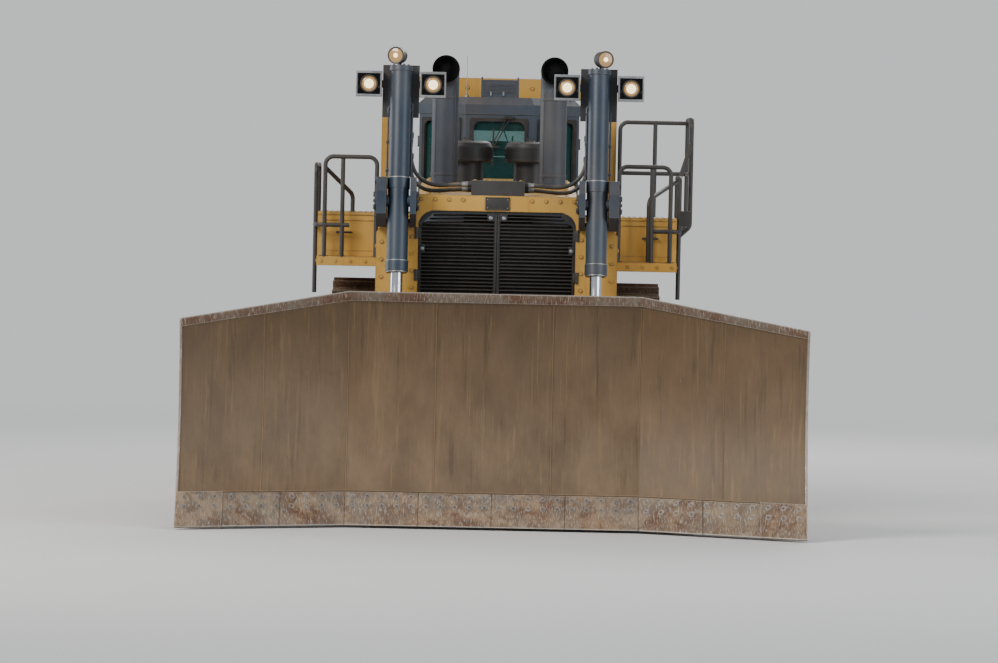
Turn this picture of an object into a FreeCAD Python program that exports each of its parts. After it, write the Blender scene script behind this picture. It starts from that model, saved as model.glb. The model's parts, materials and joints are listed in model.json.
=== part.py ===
import FreeCAD, Part
import math
import os
import Sketcher
from FreeCAD import Vector

# Large crawler dozer with a U-shaped blade and a single-shank ripper.
# Millimetres. Forward is -Y, the machine's left is +X, up is +Z, and the ground is Z 0.
# A place is given as x, ahead, high: ahead is counted forwards from the middle of the tracks.

SIZES = (
    # name, millimetres (a plain number for counts, slopes and degrees), what it is
    ("trackGauge", 2896, "between the middles of the two tracks"),
    ("shoeWide", 710, "width of a track shoe"),
    ("shoeThick", 30, "plate of a shoe"),
    ("shoeGap", 12, "slot between two shoes"),
    ("grouserTall", 80, "bar that stands on a shoe"),
    ("grouserThick", 16, "tip of that bar"),
    ("linkUnderPin", 95, "from a track pin in to the tread of the links"),
    ("linkOverPin", 105, "from a track pin out to the shoe"),
    ("linkInner", 80, "from the middle of the track to the inner face of a link rail"),
    ("linkOuter", 180, "from the middle of the track to the outer face of a link rail"),
    ("idlerRound", 430, "tread radius of an idler"),
    ("idlerAhead", 2222, "idler axle, ahead of and behind the middle of the track"),
    ("sprocketBehind", 700, "sprocket centre, behind the middle of the track"),
    ("sprocketHigh", 1700, "sprocket centre above the ground"),
    ("sprocketThick", 120, "toothed ring"),
    ("toothOverPin", 35, "tooth tip outside the pin circle"),
    ("rollerRound", 150, "track roller radius"),
    ("rollerPitch", 460, "between two rollers"),
    ("runGap", 0.3, "running clearance between round faces"),
    ("frameHalf", 190, "half the width of a track frame beam"),
    ("frameLow", 650, "underside of that beam"),
    ("frameHigh", 1030, "top of that beam"),
    ("frameReach", 1600, "half the length of that beam"),
    ("plateThick", 40, "idler forks and roller guards"),
    ("pivotHigh", 890, "pivot shaft of the track frames"),
    ("pivotRound", 140, "radius of that shaft"),
    ("caseHalf", 620, "half the width of the rear case"),
    ("caseLow", 680, "ground clearance"),
    ("caseHigh", 1900, "top of the rear case"),
    ("caseFront", -300, "front of the rear case, ahead"),
    ("caseBack", -2650, "back of the rear case, ahead"),
    ("railOut", 560, "outside of a main frame rail"),
    ("railIn", 380, "inside of a main frame rail"),
    ("railTop", 1500, "top of the main frame rails"),
    ("barAhead", 1500, "equalizer bar, ahead"),
    ("barHalf", 100, "half the depth of the equalizer bar"),
    ("towAhead", 3040, "pin hole of the tow eye, ahead"),
    ("towHigh", 1280, "middle of the tow eye, up"),
    ("towTall", 200, "tow eye, over its two ears"),
    ("towThick", 50, "one ear of the tow eye"),
    ("towRound", 40, "radius of the tow eye's pin hole"),
    ("driveRound", 330, "final drive housing radius"),
    ("hubRound", 340, "final drive cover radius"),
    ("hubReach", 300, "final drive cover, out from the middle of the track"),
    ("engineHalf", 450, "half the width of the engine"),
    ("engineBack", 100, "engine back, ahead"),
    ("engineFront", 2300, "engine front, ahead"),
    ("engineTop", 2900, "engine top"),
    ("guardBack", 2450, "radiator guard back, ahead"),
    ("guardFront", 3000, "radiator guard front, ahead"),
    ("guardHalf", 1265, "half the width of the radiator guard"),
    ("shoulderHigh", 3100, "shoulder of the radiator guard"),
    ("hoodHalf", 850, "half the width of the hood"),
    ("hoodFrontHigh", 3404, "top of the radiator guard and front of the hood"),
    ("hoodSlope", 0.056, "rise of the hood towards the cab, for each unit back"),
    ("hoodBack", -538, "back of the hood, ahead"),
    ("hoodThick", 30, "hood sheet and its stiffeners"),
    ("doorTop", 3250, "top of the engine side doors"),
    ("doorLow", 2300, "bottom of the engine side doors"),
    ("doorSplit", 8, "gap between two engine side doors"),
    ("doorRim", 60, "flat rim round the pressed field of a side door"),
    ("doorPress", 8, "depth of that field"),
    ("slotTall", 24, "cooling slot in a side door"),
    ("grilleHalf", 823, "half the width of the grille opening"),
    ("grilleLow", 1950, "bottom of the grille opening"),
    ("grilleHigh", 3238, "top of the grille opening"),
    ("grilleCorner", 130, "cut corner of the grille opening"),
    ("grilleDeep", 60, "depth of a grille panel"),
    ("louvreCount", 19, "louvres in a grille panel"),
    ("yokeIn", 850, "inner face of a lift yoke"),
    ("yokeOut", 1265, "outer face of a lift yoke"),
    ("yokeInThick", 62, "inner plate of a lift yoke"),
    ("yokeOutThick", 105, "outer plate of a lift yoke"),
    ("liftSide", 1036, "lift cylinder, out from the middle"),
    ("liftClear", 230, "lift cylinder trunnion, ahead of the radiator guard"),
    ("liftHigh", 3330, "lift cylinder trunnion, up"),
    ("liftTrunnion", 60, "radius of that trunnion"),
    ("barrelRound", 110, "lift barrel radius"),
    ("barrelAbove", 1420, "lift barrel above the trunnion"),
    ("barrelBelow", 740, "lift barrel below the trunnion"),
    ("liftRod", 62, "lift rod radius"),
    ("liftRodLong", 2400, "lift rod length"),
    ("liftEyeAhead", 3620, "lift eye on the blade, ahead"),
    ("liftEyeHigh", 1000, "lift eye on the blade, up"),
    ("liftEyeRound", 110, "lift eye radius"),
    ("lampOut", 335, "work lamp, to each side of its barrel"),
    ("lampHigh", 4550, "work lamp centre, up"),
    ("lampPlateThick", 30, "thickness of that plate and of the lamps' arm"),
    ("lampPlateHalf", 192, "half the width of the plate behind the barrel top"),
    ("lampPlateLow", 350, "bottom of that plate, under the lamp centre"),
    ("lampPlateHigh", 200, "top of that plate, over the lamp centre"),
    ("topLampOver", 300, "top lamp, over the lamp centre"),
    ("riserOver", 730, "top of the hose riser, over the trunnion"),
    ("lampBox", 270, "work lamp box"),
    ("stackSide", 580, "exhaust stack, out from the middle"),
    ("stackAhead", 1400, "exhaust stack, ahead"),
    ("stackRound", 143, "exhaust stack radius"),
    ("stackWall", 15, "exhaust stack wall"),
    ("stackHigh", 4740, "centre of the stack mouth, up"),
    ("stackBend", 200, "bend of the stack"),
    ("cleanerSide", 340, "air precleaner, out from the middle"),
    ("cleanerAhead", 700, "air precleaner, ahead"),
    ("cleanerRound", 270, "drum of the precleaner"),
    ("cleanerDrum", 230, "height of that drum"),
    ("cleanerNeck", 175, "neck under the drum"),
    ("cleanerHigh", 3980, "top of the precleaner"),
    ("coverHalf", 280, "half the width of the hose cover"),
    ("coverTall", 156, "hose cover above the hood"),
    ("floorLow", 2480, "underside of the cab platform"),
    ("floorHigh", 2600, "top of the cab platform"),
    ("floorInset", 13, "edge of the cab platform, in from the shoes"),
    ("floorBack", -2600, "back of the cab platform, ahead"),
    ("cabHalf", 890, "half the width of the cab"),
    ("cabFront", -550, "front of the cab, ahead"),
    ("cabBack", -2050, "back of the cab, ahead"),
    ("cabNose", 375, "half the width of the cab's front face"),
    ("cabCorner", 420, "depth of the cab's angled corners"),
    ("cabWall", 60, "cab wall"),
    ("cabEaves", 4280, "underside of the cab roof"),
    ("cabRoof", 4470, "top of the cab roof"),
    ("coolerHalf", 210, "half the width of the cooler on the cab roof"),
    ("coolerLong", 580, "length of that cooler"),
    ("coolerTall", 195, "top of that cooler, above the roof"),
    ("coolerBehind", 120, "front of that cooler, behind the front of the cab"),
    ("seatLift", 440, "underside of the seat cushion, above the cab floor"),
    ("sillHigh", 3540, "bottom of the windshield"),
    ("headHigh", 4220, "top of the windows"),
    ("glassThick", 14, "window glass"),
    ("doorBack", -1700, "hinge edge of a cab door, ahead"),
    ("doorFront", -1010, "latch edge of a cab door, ahead"),
    ("hingeOut", 14, "hinge pin of a cab door, out from the cab's side"),
    ("hingeRound", 12, "radius of a cab door's knuckle"),
    ("hingeBehind", 10, "hinge pin of a cab door, behind the doorway"),
    ("hingePin", 8, "radius of that pin"),
    ("hingeTall", 90, "knuckle of a cab door hinge"),
    ("hingeFit", 0.3, "play of that pin in its knuckle"),
    ("doorSill", 2700, "bottom of a cab door"),
    ("ropsClear", 50, "posts of the roll-over frame, out from the cab platform"),
    ("ropsPost", 200, "width of its posts"),
    ("ropsFront", -2100, "front of its posts, ahead"),
    ("ropsBack", -2450, "back of its posts, ahead"),
    ("ropsHigh", 4700, "top of its beam"),
    ("ropsBeam", 230, "height of its beam"),
    ("ropsGusset", 170, "gusset in its corners"),
    ("ropsChamfer", 60, "cut outer corner"),
    ("deckPast", 147, "outer edge of the decks, out from the shoes"),
    ("deckWide", 1000, "width of a deck"),
    ("deckThick", 100, "deck slab"),
    ("deckFront", 700, "front of the decks, ahead"),
    ("deckBack", -2080, "back of the decks, ahead"),
    ("deckStep", 220, "step in front of the deck boxes"),
    ("boxBack", -450, "back of the deck boxes, ahead"),
    ("lidOver", 12, "lid of a deck box, over its sides"),
    ("lidThick", 30, "lid of a deck box"),
    ("boxHigh", 3180, "top of the deck boxes"),
    ("railRound", 24, "guard rail tube radius"),
    ("hoopLeft", 3735, "top of the front rail on the machine's left"),
    ("hoopRight", 3780, "top of the front rail on the machine's right"),
    ("hoopInset", 362, "inner post of a front rail, out from the inner edge of its deck"),
    ("hoopPast", 79, "outer post of a front rail, in from the outer edge of its deck"),
    ("sideRail", 3620, "top of the rail beside the left deck box"),
    ("sideRailRight", 3690, "top of the rail beside the right deck box"),
    ("stepRail", 3040, "grab rail in front of the deck boxes"),
    ("doorRailPast", 180, "rail beside the left cab door, out from the edge of its deck"),
    ("doorRailHigh", 4270, "top of that rail"),
    ("doorRailMid", 3660, "middle of that rail"),
    ("hoseRound", 22, "radius of a hydraulic hose"),
    ("portRound", 30, "radius of a hose port"),
    ("portLong", 40, "length of a hose port"),
    ("tankHalf", 850, "half the width of the fuel tank"),
    ("tankBack", -3100, "back of the fuel tank, ahead"),
    ("tankLow", 2250, "bottom of the fuel tank"),
    ("tankHigh", 3250, "top of the fuel tank"),
    ("bracketSide", 440, "bracket under the fuel tank, out from the middle"),
    ("bracketThick", 60, "thickness of that bracket"),
    ("armClear", 67, "from the shoes out to a push arm"),
    ("armThick", 290, "width of a push arm"),
    ("armTall", 330, "height of a push arm"),
    ("armPivotAhead", -350, "push arm trunnion, ahead"),
    ("armPivotHigh", 800, "push arm trunnion, up"),
    ("armPin", 100, "push arm trunnion radius"),
    ("bladePinAhead", 3800, "pin between push arm and blade, ahead"),
    ("bladePinHigh", 560, "pin between push arm and blade, up"),
    ("bladePin", 80, "radius of that pin"),
    ("bladeHalf", 3179, "half the width of the blade"),
    ("bladeStraight", 1500, "half the straight middle of the blade"),
    ("bladeFace", 4537, "datum of the blade face, ahead"),
    ("wingForward", 893, "how far the wing tips stand ahead of the middle"),
    ("edgeReach", 120, "cutting edge tip ahead of the datum"),
    ("edgeRise", 330, "height of the cutting edge"),
    ("edgeRun", 250, "slant of the cutting edge"),
    ("edgeThick", 45, "cutting edge plate"),
    ("edgeHigh", 30, "cutting edge above the ground as parked"),
    ("bladeHigh", 2370, "height of the blade"),
    ("tipDrop", 290, "how much lower the wing tips are"),
    ("skinThick", 40, "mouldboard plate"),
    ("bellyDepth", 420, "deepest of the mouldboard curve, behind the datum"),
    ("bellyHigh", 1150, "height of that place"),
    ("crestDepth", 180, "top of the mouldboard, behind the datum"),
    ("beamDeep", 140, "top beam, back from the face"),
    ("beamTall", 280, "height of the top beam"),
    ("boxBehind", 687, "back of the lower box, behind the datum"),
    ("ribThick", 30, "stiffeners behind the mouldboard"),
    ("tiltAhead", 2250, "tail of the tilt cylinder, ahead"),
    ("tiltHigh", 1180, "tail of the tilt cylinder, up"),
    ("tiltEyeAhead", 4150, "eye of the tilt cylinder, ahead"),
    ("tiltEyeHigh", 1750, "eye of the tilt cylinder, up"),
    ("tiltRound", 105, "tilt barrel radius"),
    ("tiltRod", 50, "tilt rod radius"),
    ("tiltBarrel", 1500, "tilt barrel length"),
    ("rearPinAhead", -2900, "ripper pins on the machine, ahead"),
    ("lowPinHigh", 1150, "lower ripper pins, up"),
    ("highPinHigh", 1900, "upper ripper pins, up"),
    ("linkReach", 1750, "length of the ripper links"),
    ("linkFall", 60, "how far the links fall to the ripper beam as parked"),
    ("linkSide", 480, "lower ripper arm, out from the middle"),
    ("linkThick", 110, "lower ripper arm"),
    ("linkHigh", 240, "height of a lower ripper arm"),
    ("ripperPin", 60, "ripper pin radius"),
    ("topLinkSide", 700, "upper ripper cylinder, out from the middle"),
    ("topLinkRound", 95, "upper ripper cylinder radius"),
    ("ripperHalf", 820, "half the width of the ripper beam"),
    ("ripperDeep", 460, "depth of the ripper beam"),
    ("ripperTall", 860, "height of the ripper beam"),
    ("shankThick", 110, "width of the shank"),
    ("shankDeep", 360, "depth of the shank"),
    ("shankHigh", 2350, "top of the shank"),
    ("shankLow", 100, "tip of the shank above the ground as parked"),
    ("hoistSide", 280, "ripper lift cylinder, out from the middle"),
    ("hoistAhead", -2760, "tail of the ripper lift cylinder, ahead"),
    ("hoistHigh", 1960, "tail of the ripper lift cylinder, up"),
    ("hoistEyeAhead", -3560, "eye of the ripper lift cylinder, ahead"),
    ("hoistEyeHigh", 1080, "eye of the ripper lift cylinder, up"),
    ("hoistRound", 90, "ripper lift barrel radius"),
    ("hoistRod", 45, "ripper lift rod radius"),
    ("hoistBarrel", 745, "ripper lift barrel length"),
    ("hoistRodLong", 720, "ripper lift rod length"),
    ("pinPlate", 45, "lug plates round pins"),
    ("pinGap", 6, "side clearance between an eye and its lugs"),
)


def words(value):
    """The expression of a value, for a cell's reader."""
    return value.text if isinstance(value, Size) else repr(float(value))


class Size(float):
    """A number together with the sheet expression that it comes from."""

    def __new__(cls, value, text):
        number = super().__new__(cls, value)
        number.text = text
        return number

    def __add__(self, other):
        return Size(float(self) + float(other), f"({self.text} + {words(other)})")

    def __radd__(self, other):
        return Size(float(other) + float(self), f"({words(other)} + {self.text})")

    def __sub__(self, other):
        return Size(float(self) - float(other), f"({self.text} - {words(other)})")

    def __rsub__(self, other):
        return Size(float(other) - float(self), f"({words(other)} - {self.text})")

    def __mul__(self, other):
        return Size(float(self) * float(other), f"({self.text} * {words(other)})")

    __rmul__ = __mul__

    def __truediv__(self, other):
        return Size(float(self) / float(other), f"({self.text} / {words(other)})")

    def __neg__(self):
        return Size(-float(self), f"(-1 * {self.text})")


def root(value):
    """Square root that keeps its expression."""
    return Size(math.sqrt(float(value)), f"sqrt({words(value)})")


class Names:
    """Sizes by name."""


doc = FreeCAD.newDocument("dozer")
sheet = doc.addObject("Spreadsheet::Sheet", "Sizes")
s = Names()
for row, (alias, number, meaning) in enumerate(SIZES, 1):
    sheet.set(f"A{row}", alias)
    sheet.set(f"B{row}", str(number))
    sheet.setAlias(f"B{row}", alias)
    sheet.set(f"C{row}", meaning)
    setattr(s, alias, Size(number, "Sizes." + alias))
doc.recompute()

NODES = []

# Places that follow from others
s.liftAhead = s.guardFront + s.liftClear
shoesIn = s.trackGauge / 2 - s.shoeWide / 2
shoesOut = s.trackGauge / 2 + s.shoeWide / 2
s.armIn = shoesOut + s.armClear
s.armOut = s.armIn + s.armThick
s.tiltSide = s.armIn + s.armThick / 2
s.floorHalf = shoesIn - s.floorInset
s.deckOut = shoesOut + s.deckPast
s.deckIn = s.deckOut - s.deckWide
s.hoopIn = s.deckIn + s.hoopInset
s.hoopOut = s.deckOut - s.hoopPast
s.doorRailOut = s.deckOut + s.doorRailPast
s.ropsHalf = s.floorHalf + s.ropsClear + s.ropsPost

# The frame's origin lies under the middle of the whole machine
frontReach = s.bladeFace + s.wingForward + s.edgeReach
beamAhead = s.rearPinAhead - root(s.linkReach * s.linkReach - s.linkFall * s.linkFall)
beamInset = 130
rearReach = beamInset - s.ripperDeep + beamAhead
middle = (frontReach + rearReach) / 2


def y_of(ahead):
    """Y of a place that is so far ahead of the middle of the tracks."""
    return middle - ahead


def vector(place):
    """The point at x, ahead, high."""
    return Vector(float(place[0]), float(y_of(place[1])), float(place[2]))


def bind(piece, what, value):
    """Tie one property to the sheet."""
    piece.setExpression(what, words(value))


def block(name, across, along, up):
    """A block between pairs of x, ahead and high values."""
    piece = doc.addObject("Part::Box", name)
    bind(piece, "Length", across[1] - across[0])
    bind(piece, "Width", along[1] - along[0])
    bind(piece, "Height", up[1] - up[0])
    bind(piece, "Placement.Base.x", across[0])
    bind(piece, "Placement.Base.y", y_of(along[1]))
    bind(piece, "Placement.Base.z", up[0])
    return piece


def span(start, end):
    """Distance between two places, with its expression."""
    gaps = [b - a for a, b in zip(start, end)]
    total = gaps[0] * gaps[0] + gaps[1] * gaps[1] + gaps[2] * gaps[2]
    return root(total)


def rod(name, start, end, radius, far_radius=None):
    """A round bar, or a cone, between two places."""
    kind = "Part::Cylinder" if far_radius is None else "Part::Cone"
    piece = doc.addObject(kind, name)
    turn = FreeCAD.Rotation(Vector(0, 0, 1), vector(end) - vector(start))
    piece.Placement = FreeCAD.Placement(vector(start), turn)
    if far_radius is None:
        bind(piece, "Radius", radius)
    else:
        bind(piece, "Radius1", radius)
        bind(piece, "Radius2", far_radius)
    bind(piece, "Height", span(start, end))
    bind(piece, "Placement.Base.x", start[0])
    bind(piece, "Placement.Base.y", y_of(start[1]))
    bind(piece, "Placement.Base.z", start[2])
    return piece


def pushed(name, plane, start, depth, points):
    """A straight-sided outline, sketched on an origin plane and padded."""
    body = doc.addObject("PartDesign::Body", name + "_body")
    sketch = body.newObject("Sketcher::SketchObject", name + "_outline")
    face = next(f for f in body.Origin.OriginFeatures if f.Role == plane)
    sketch.AttachmentSupport = [(face, "")]
    sketch.MapMode = "FlatFace"
    count = len(points)
    corners = [Vector(float(a), float(b), 0) for a, b in points]
    lines = [Part.LineSegment(corners[i], corners[(i + 1) % count]) for i in range(count)]
    sketch.addGeometry(lines, False)
    rules = [Sketcher.Constraint("Coincident", i, 2, (i + 1) % count, 1) for i in range(count)]
    for i, corner in enumerate(corners):
        rules.append(Sketcher.Constraint("DistanceX", -1, 1, i, 1, corner.x))
        rules.append(Sketcher.Constraint("DistanceY", -1, 1, i, 1, corner.y))
    sketch.addConstraint(rules)
    for i, point in enumerate(points):
        for j in (0, 1):
            if isinstance(point[j], Size):
                sketch.setExpression(f"Constraints[{count + 2 * i + j}]", point[j].text)
    sketch.setExpression("AttachmentOffset.Base.z", words(start))
    pad = body.newObject("PartDesign::Pad", name + "_pad")
    pad.Profile = sketch
    pad.setExpression("Length", words(depth))
    return body


def side_plate(name, across, points):
    """An outline of (ahead, high) corners, as thick as the x pair says."""
    corners = [(y_of(a), b) for a, b in points]
    return pushed(name, "YZ_Plane", across[0], across[1] - across[0], corners)


def front_plate(name, along, points):
    """An outline of (x, high) corners, from one ahead value to another."""
    return pushed(name, "XZ_Plane", along[0] - middle, along[1] - along[0], points)


def flat_plate(name, up, points):
    """An outline of (x, ahead) corners, between two heights."""
    corners = [(a, y_of(b)) for a, b in points]
    return pushed(name, "XY_Plane", up[0], up[1] - up[0], corners)


def turned(name, place, axis, profile):
    """A profile of (radius, along) corners turned round an axis."""
    body = Part.Wire(Part.makePolygon([Vector(float(a), 0, float(b)) for a, b in profile + profile[:1]]))
    solid = Part.Face(body).revolve(Vector(0, 0, 0), Vector(0, 0, 1), 360)
    piece = doc.addObject("Part::Feature", name)
    piece.Shape = Part.Solid(solid) if solid.ShapeType == "Shell" else solid
    piece.Placement = FreeCAD.Placement(vector(place), FreeCAD.Rotation(Vector(0, 0, 1), axis))
    return piece


def join(name, *pieces):
    """One solid of pieces that meet."""
    whole = doc.addObject("Part::MultiFuse", name)
    whole.Shapes = list(pieces)
    return whole


def group(name, *pieces):
    """Solids that stay apart, in one object."""
    whole = doc.addObject("Part::Compound", name)
    whole.Links = list(pieces)
    return whole


def less(name, base, tool):
    """A piece with another taken out of it."""
    whole = doc.addObject("Part::Cut", name)
    whole.Base = base
    whole.Tool = tool
    return whole


def other_side(piece):
    """The same piece on the other side of the machine."""
    twin = doc.addObject("Part::Mirroring", piece.Name + "_right")
    twin.Source = piece
    twin.Normal = Vector(1, 0, 0)
    return twin


def both(name, piece):
    """A piece and its mirror image."""
    return group(name, piece, other_side(piece))


def node(label, piece):
    """Name a finished sub-part."""
    piece.Label = label
    NODES.append(piece)
    return piece


def pair(label, piece):
    """A sub-part on the left and its mirror image on the right."""
    node(label + "_left", piece)
    node(label + "_right", other_side(piece))


# Track


def belt(circles):
    """Closed line round circles, counterclockwise.

    Gives a list of straight runs and arcs with the normal at each end.
    """
    count = len(circles)
    normals = []
    for i in range(count):
        (a, b, ra), (c, d, rb) = circles[i], circles[(i + 1) % count]
        far = math.hypot(c - a, d - b)
        du, dz = (c - a) / far, (d - b) / far
        lean = (ra - rb) / far
        flat = math.sqrt(1 - lean * lean)
        normals.append((du * lean + dz * flat, dz * lean - du * flat))
    return normals


def belt_length(circles):
    """Length of that line."""
    normals = belt(circles)
    total = 0
    for i, (u, z, r) in enumerate(circles):
        before, after = normals[i - 1], normals[i]
        turn = math.atan2(after[1], after[0]) - math.atan2(before[1], before[0])
        total += r * (turn % (2 * math.pi))
        c, d, rb = circles[(i + 1) % len(circles)]
        start = (u + r * after[0], z + r * after[1])
        total += math.dist(start, (c + rb * after[0], d + rb * after[1]))
    return total


def belt_place(circles, way):
    """The point at a distance along that line."""
    normals = belt(circles)
    for i, (u, z, r) in enumerate(circles):
        before, after = normals[i - 1], normals[i]
        first = math.atan2(before[1], before[0])
        turn = (math.atan2(after[1], after[0]) - first) % (2 * math.pi)
        if way <= r * turn:
            angle = first + way / r
            return u + r * math.cos(angle), z + r * math.sin(angle)
        way -= r * turn
        c, d, rb = circles[(i + 1) % len(circles)]
        start = (u + r * after[0], z + r * after[1])
        end = (c + rb * after[0], d + rb * after[1])
        run = math.dist(start, end)
        if way <= run:
            part = way / run
            return start[0] + part * (end[0] - start[0]), start[1] + part * (end[1] - start[1])
        way -= run
    return belt_place(circles, 0)


SHOES = 40
SPROCKET_PINS = 11
idlerHigh = s.grouserTall + s.shoeThick + s.linkOverPin + s.linkUnderPin + s.idlerRound


def wheels(sprocket_radius, inwards):
    """The three wheels of a track, as seen from its side."""
    idler = float(s.idlerRound + s.linkUnderPin) - inwards
    high = float(idlerHigh)
    return [(float(s.idlerAhead), high, idler),
            (-float(s.sprocketBehind), float(s.sprocketHigh), sprocket_radius - inwards),
            (-float(s.idlerAhead), high, idler)]


pitch = 300.0
for turn in range(60):
    pitch = belt_length(wheels(SPROCKET_PINS * pitch / (2 * math.pi), 0)) / SHOES
sprocketPinRound = SPROCKET_PINS * pitch / (2 * math.pi)


def ring_face(corners):
    """Flat face of (ahead, high) corners at x 0."""
    points = [vector((0, a, b)) for a, b in corners]
    kept = [p for i, p in enumerate(points) if p.distanceToPoint(points[i - 1]) > 0.5]
    return Part.Face(Part.makePolygon(kept + kept[:1]))


def tread_face(circles):
    """Flat face inside the belt line, with true arcs."""
    normals = belt(circles)
    edges = []
    for i, (u, z, r) in enumerate(circles):
        before, after = normals[i - 1], normals[i]
        first = math.atan2(before[1], before[0])
        turn = (math.atan2(after[1], after[0]) - first) % (2 * math.pi)
        stops = [vector((0, u + r * math.cos(first + turn * part), z + r * math.sin(first + turn * part)))
                 for part in (0, 0.5, 1)]
        edges.append(Part.Arc(*stops).toShape())
        c, d, rb = circles[(i + 1) % len(circles)]
        edges.append(Part.makeLine(stops[2], vector((0, c + rb * after[0], d + rb * after[1]))))
    return Part.Face(Part.Wire(Part.__sortEdges__(edges)))


def track_solid():
    """One closed loop: shoes with their grousers, and the two link rails."""
    line = wheels(sprocketPinRound, 0)
    pins = [belt_place(line, i * pitch) for i in range(SHOES)]
    inner = float(s.linkOverPin)
    outer = inner + float(s.shoeThick)
    tip = outer + float(s.grouserTall)
    slot = float(s.shoeGap) / 2
    floor = inner + float(s.shoeThick) * 0.25
    bar = float(s.grouserThick) / 2
    outside, inside = [], []
    for i, (u, z) in enumerate(pins):
        c, d = pins[(i + 1) % SHOES]
        half = math.dist((u, z), (c, d)) / 2
        du, dz = (c - u) / (2 * half), (d - z) / (2 * half)
        place = -0.5 * half
        # Along the shoe, out from the pin line
        shoe = ((-half, floor), (slot - half, outer), (place - 2 * bar, outer), (place - bar, tip),
                (place + bar, tip), (place + 3 * bar, outer), (half - slot, outer), (half, floor))
        base = ((-half, inner), (half, inner))
        for source, target in ((shoe, outside), (base, inside)):
            for a, b in source:
                target.append(((u + c) / 2 + a * du + b * dz, (z + d) / 2 + a * dz - b * du))
    filled = ring_face(inside)
    plates = ring_face(outside).cut(filled)
    links = filled.cut(tread_face(wheels(sprocketPinRound, float(s.linkUnderPin))))
    gauge, wide = float(s.trackGauge) / 2, float(s.shoeWide)
    solids = [plates.extrude(Vector(wide, 0, 0)).translated(Vector(gauge - wide / 2, 0, 0))]
    deep = float(s.linkOuter - s.linkInner)
    for side in (float(s.linkInner), -float(s.linkOuter)):
        solids.append(links.extrude(Vector(deep, 0, 0)).translated(Vector(gauge + side, 0, 0)))
    return solids[0].fuse(solids[1:]).Solids[0]


def sprocket_solid():
    """Toothed ring: one pocket for each pin that it meets."""
    gauge = float(s.trackGauge) / 2
    centre_u, centre_z = -float(s.sprocketBehind), float(s.sprocketHigh)
    line = wheels(sprocketPinRound, 0)
    # A pin that lies on the sprocket sets where the pockets stand
    seat = min((belt_place(line, i * pitch) for i in range(SHOES)),
               key=lambda p: abs(math.dist(p, (centre_u, centre_z)) - sprocketPinRound))
    start = math.atan2(seat[1] - centre_z, seat[0] - centre_u)
    step = 2 * math.pi / SPROCKET_PINS
    tip = sprocketPinRound + float(s.toothOverPin)
    low = sprocketPinRound - 0.55 * float(s.linkUnderPin)
    corners = []
    for i in range(SPROCKET_PINS):
        # Share of a step, radius
        for share, radius in ((-0.12, low), (0.12, low), (0.36, tip), (0.64, tip)):
            angle = start + (i + share) * step
            corners.append((centre_u + radius * math.cos(angle), centre_z + radius * math.sin(angle)))
    thick = float(s.sprocketThick)
    ring = ring_face(corners).extrude(Vector(thick, 0, 0))
    return ring.translated(Vector(gauge - thick / 2, 0, 0))


def made(name, shape):
    """A sub-part whose form has no feature of its own."""
    piece = doc.addObject("Part::Feature", name)
    piece.Shape = shape
    return piece


trackMid = s.trackGauge / 2
sprocketAhead = -s.sprocketBehind
pair("track", made("track", track_solid()))
node("sprockets", both("sprockets", made("sprocket", sprocket_solid())))

idlers = []
for name, where in (("front", s.idlerAhead), ("rear", -s.idlerAhead)):
    tread = s.idlerRound - s.runGap
    flange = s.idlerRound + 35
    tyre = s.linkOuter - 2
    side = s.linkInner - 8
    # The wheel is dished between its boss and its rim
    boss, rim, web, slope = 180, tread - 80, 70, 25
    profile = [(0, tyre), (boss, tyre), (boss + slope, web), (rim - slope, web), (rim, tyre), (tread, tyre),
               (tread, side), (flange, side)]
    profile += [(radius, -along) for radius, along in reversed(profile)]
    wheel = turned("idler_" + name, (trackMid, where, idlerHigh), Vector(1, 0, 0), profile)
    hub = rod("idler_hub_" + name, (trackMid - s.frameHalf, where, idlerHigh),
              (trackMid + s.frameHalf, where, idlerHigh), 140)
    idlers.append(join("idler_" + name + "_wheel", wheel, hub))
node("idlers", both("idlers", group("idlers_left", *idlers)))

rollerHigh = idlerHigh - s.idlerRound + s.rollerRound + s.runGap
ROLLERS = 8
rollers = []
for i in range(ROLLERS):
    where = s.rollerPitch * (i - (ROLLERS - 1) / 2)
    rollers.append(rod(f"roller_{i}", (trackMid - s.frameHalf, where, rollerHigh),
                       (trackMid + s.frameHalf, where, rollerHigh), s.rollerRound))
node("track_rollers", both("track_rollers", group("rollers_left", *rollers)))

# Track frames: a beam, forks for the idlers and scalloped roller guards
reach, low, high = s.frameReach, s.frameLow, s.frameHigh
beam = side_plate("track_beam", (trackMid - s.frameHalf, trackMid + s.frameHalf),
                  [(-reach, low), (reach, low), (reach, high - 70), (reach - 130, high),
                   (130 - reach, high), (-reach, high - 70)])
plates = [beam]
guardLow = rollerHigh - 70
for side, start in (("out", trackMid + s.frameHalf), ("in", trackMid - s.frameHalf - s.plateThick)):
    across = (start, start + s.plateThick)
    for end, sign in (("front", 1), ("rear", -1)):
        hub = s.idlerAhead
        corners = [(reach - 350, high - 20), (reach - 350, low - 30), (hub - 300, low - 30),
                   (hub - 70, idlerHigh - 150), (hub + 80, idlerHigh - 150), (hub + 150, idlerHigh - 70),
                   (hub + 150, idlerHigh + 70), (hub + 80, idlerHigh + 150), (hub - 90, idlerHigh + 170),
                   (reach, high - 20)]
        corners = [(a * sign, b) for a, b in corners]
        plates.append(side_plate(f"fork_{end}_{side}", across, corners))
    scallops = []
    for i in range(ROLLERS):
        where = s.rollerPitch * (i - (ROLLERS - 1) / 2)
        # Round each roller the guard hangs down in a lobe
        scallops += [(where - 120, rollerHigh + 90), (where - 60, guardLow),
                     (where + 60, guardLow), (where + 120, rollerHigh + 90)]
    edge = s.rollerPitch * (ROLLERS - 1) / 2 + 150
    outline = [(-edge, rollerHigh + 90)] + scallops + [(edge, rollerHigh + 90), (edge, low + 90),
                                                       (-edge, low + 90)]
    plates.append(side_plate("roller_guard_" + side, across, outline))
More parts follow.
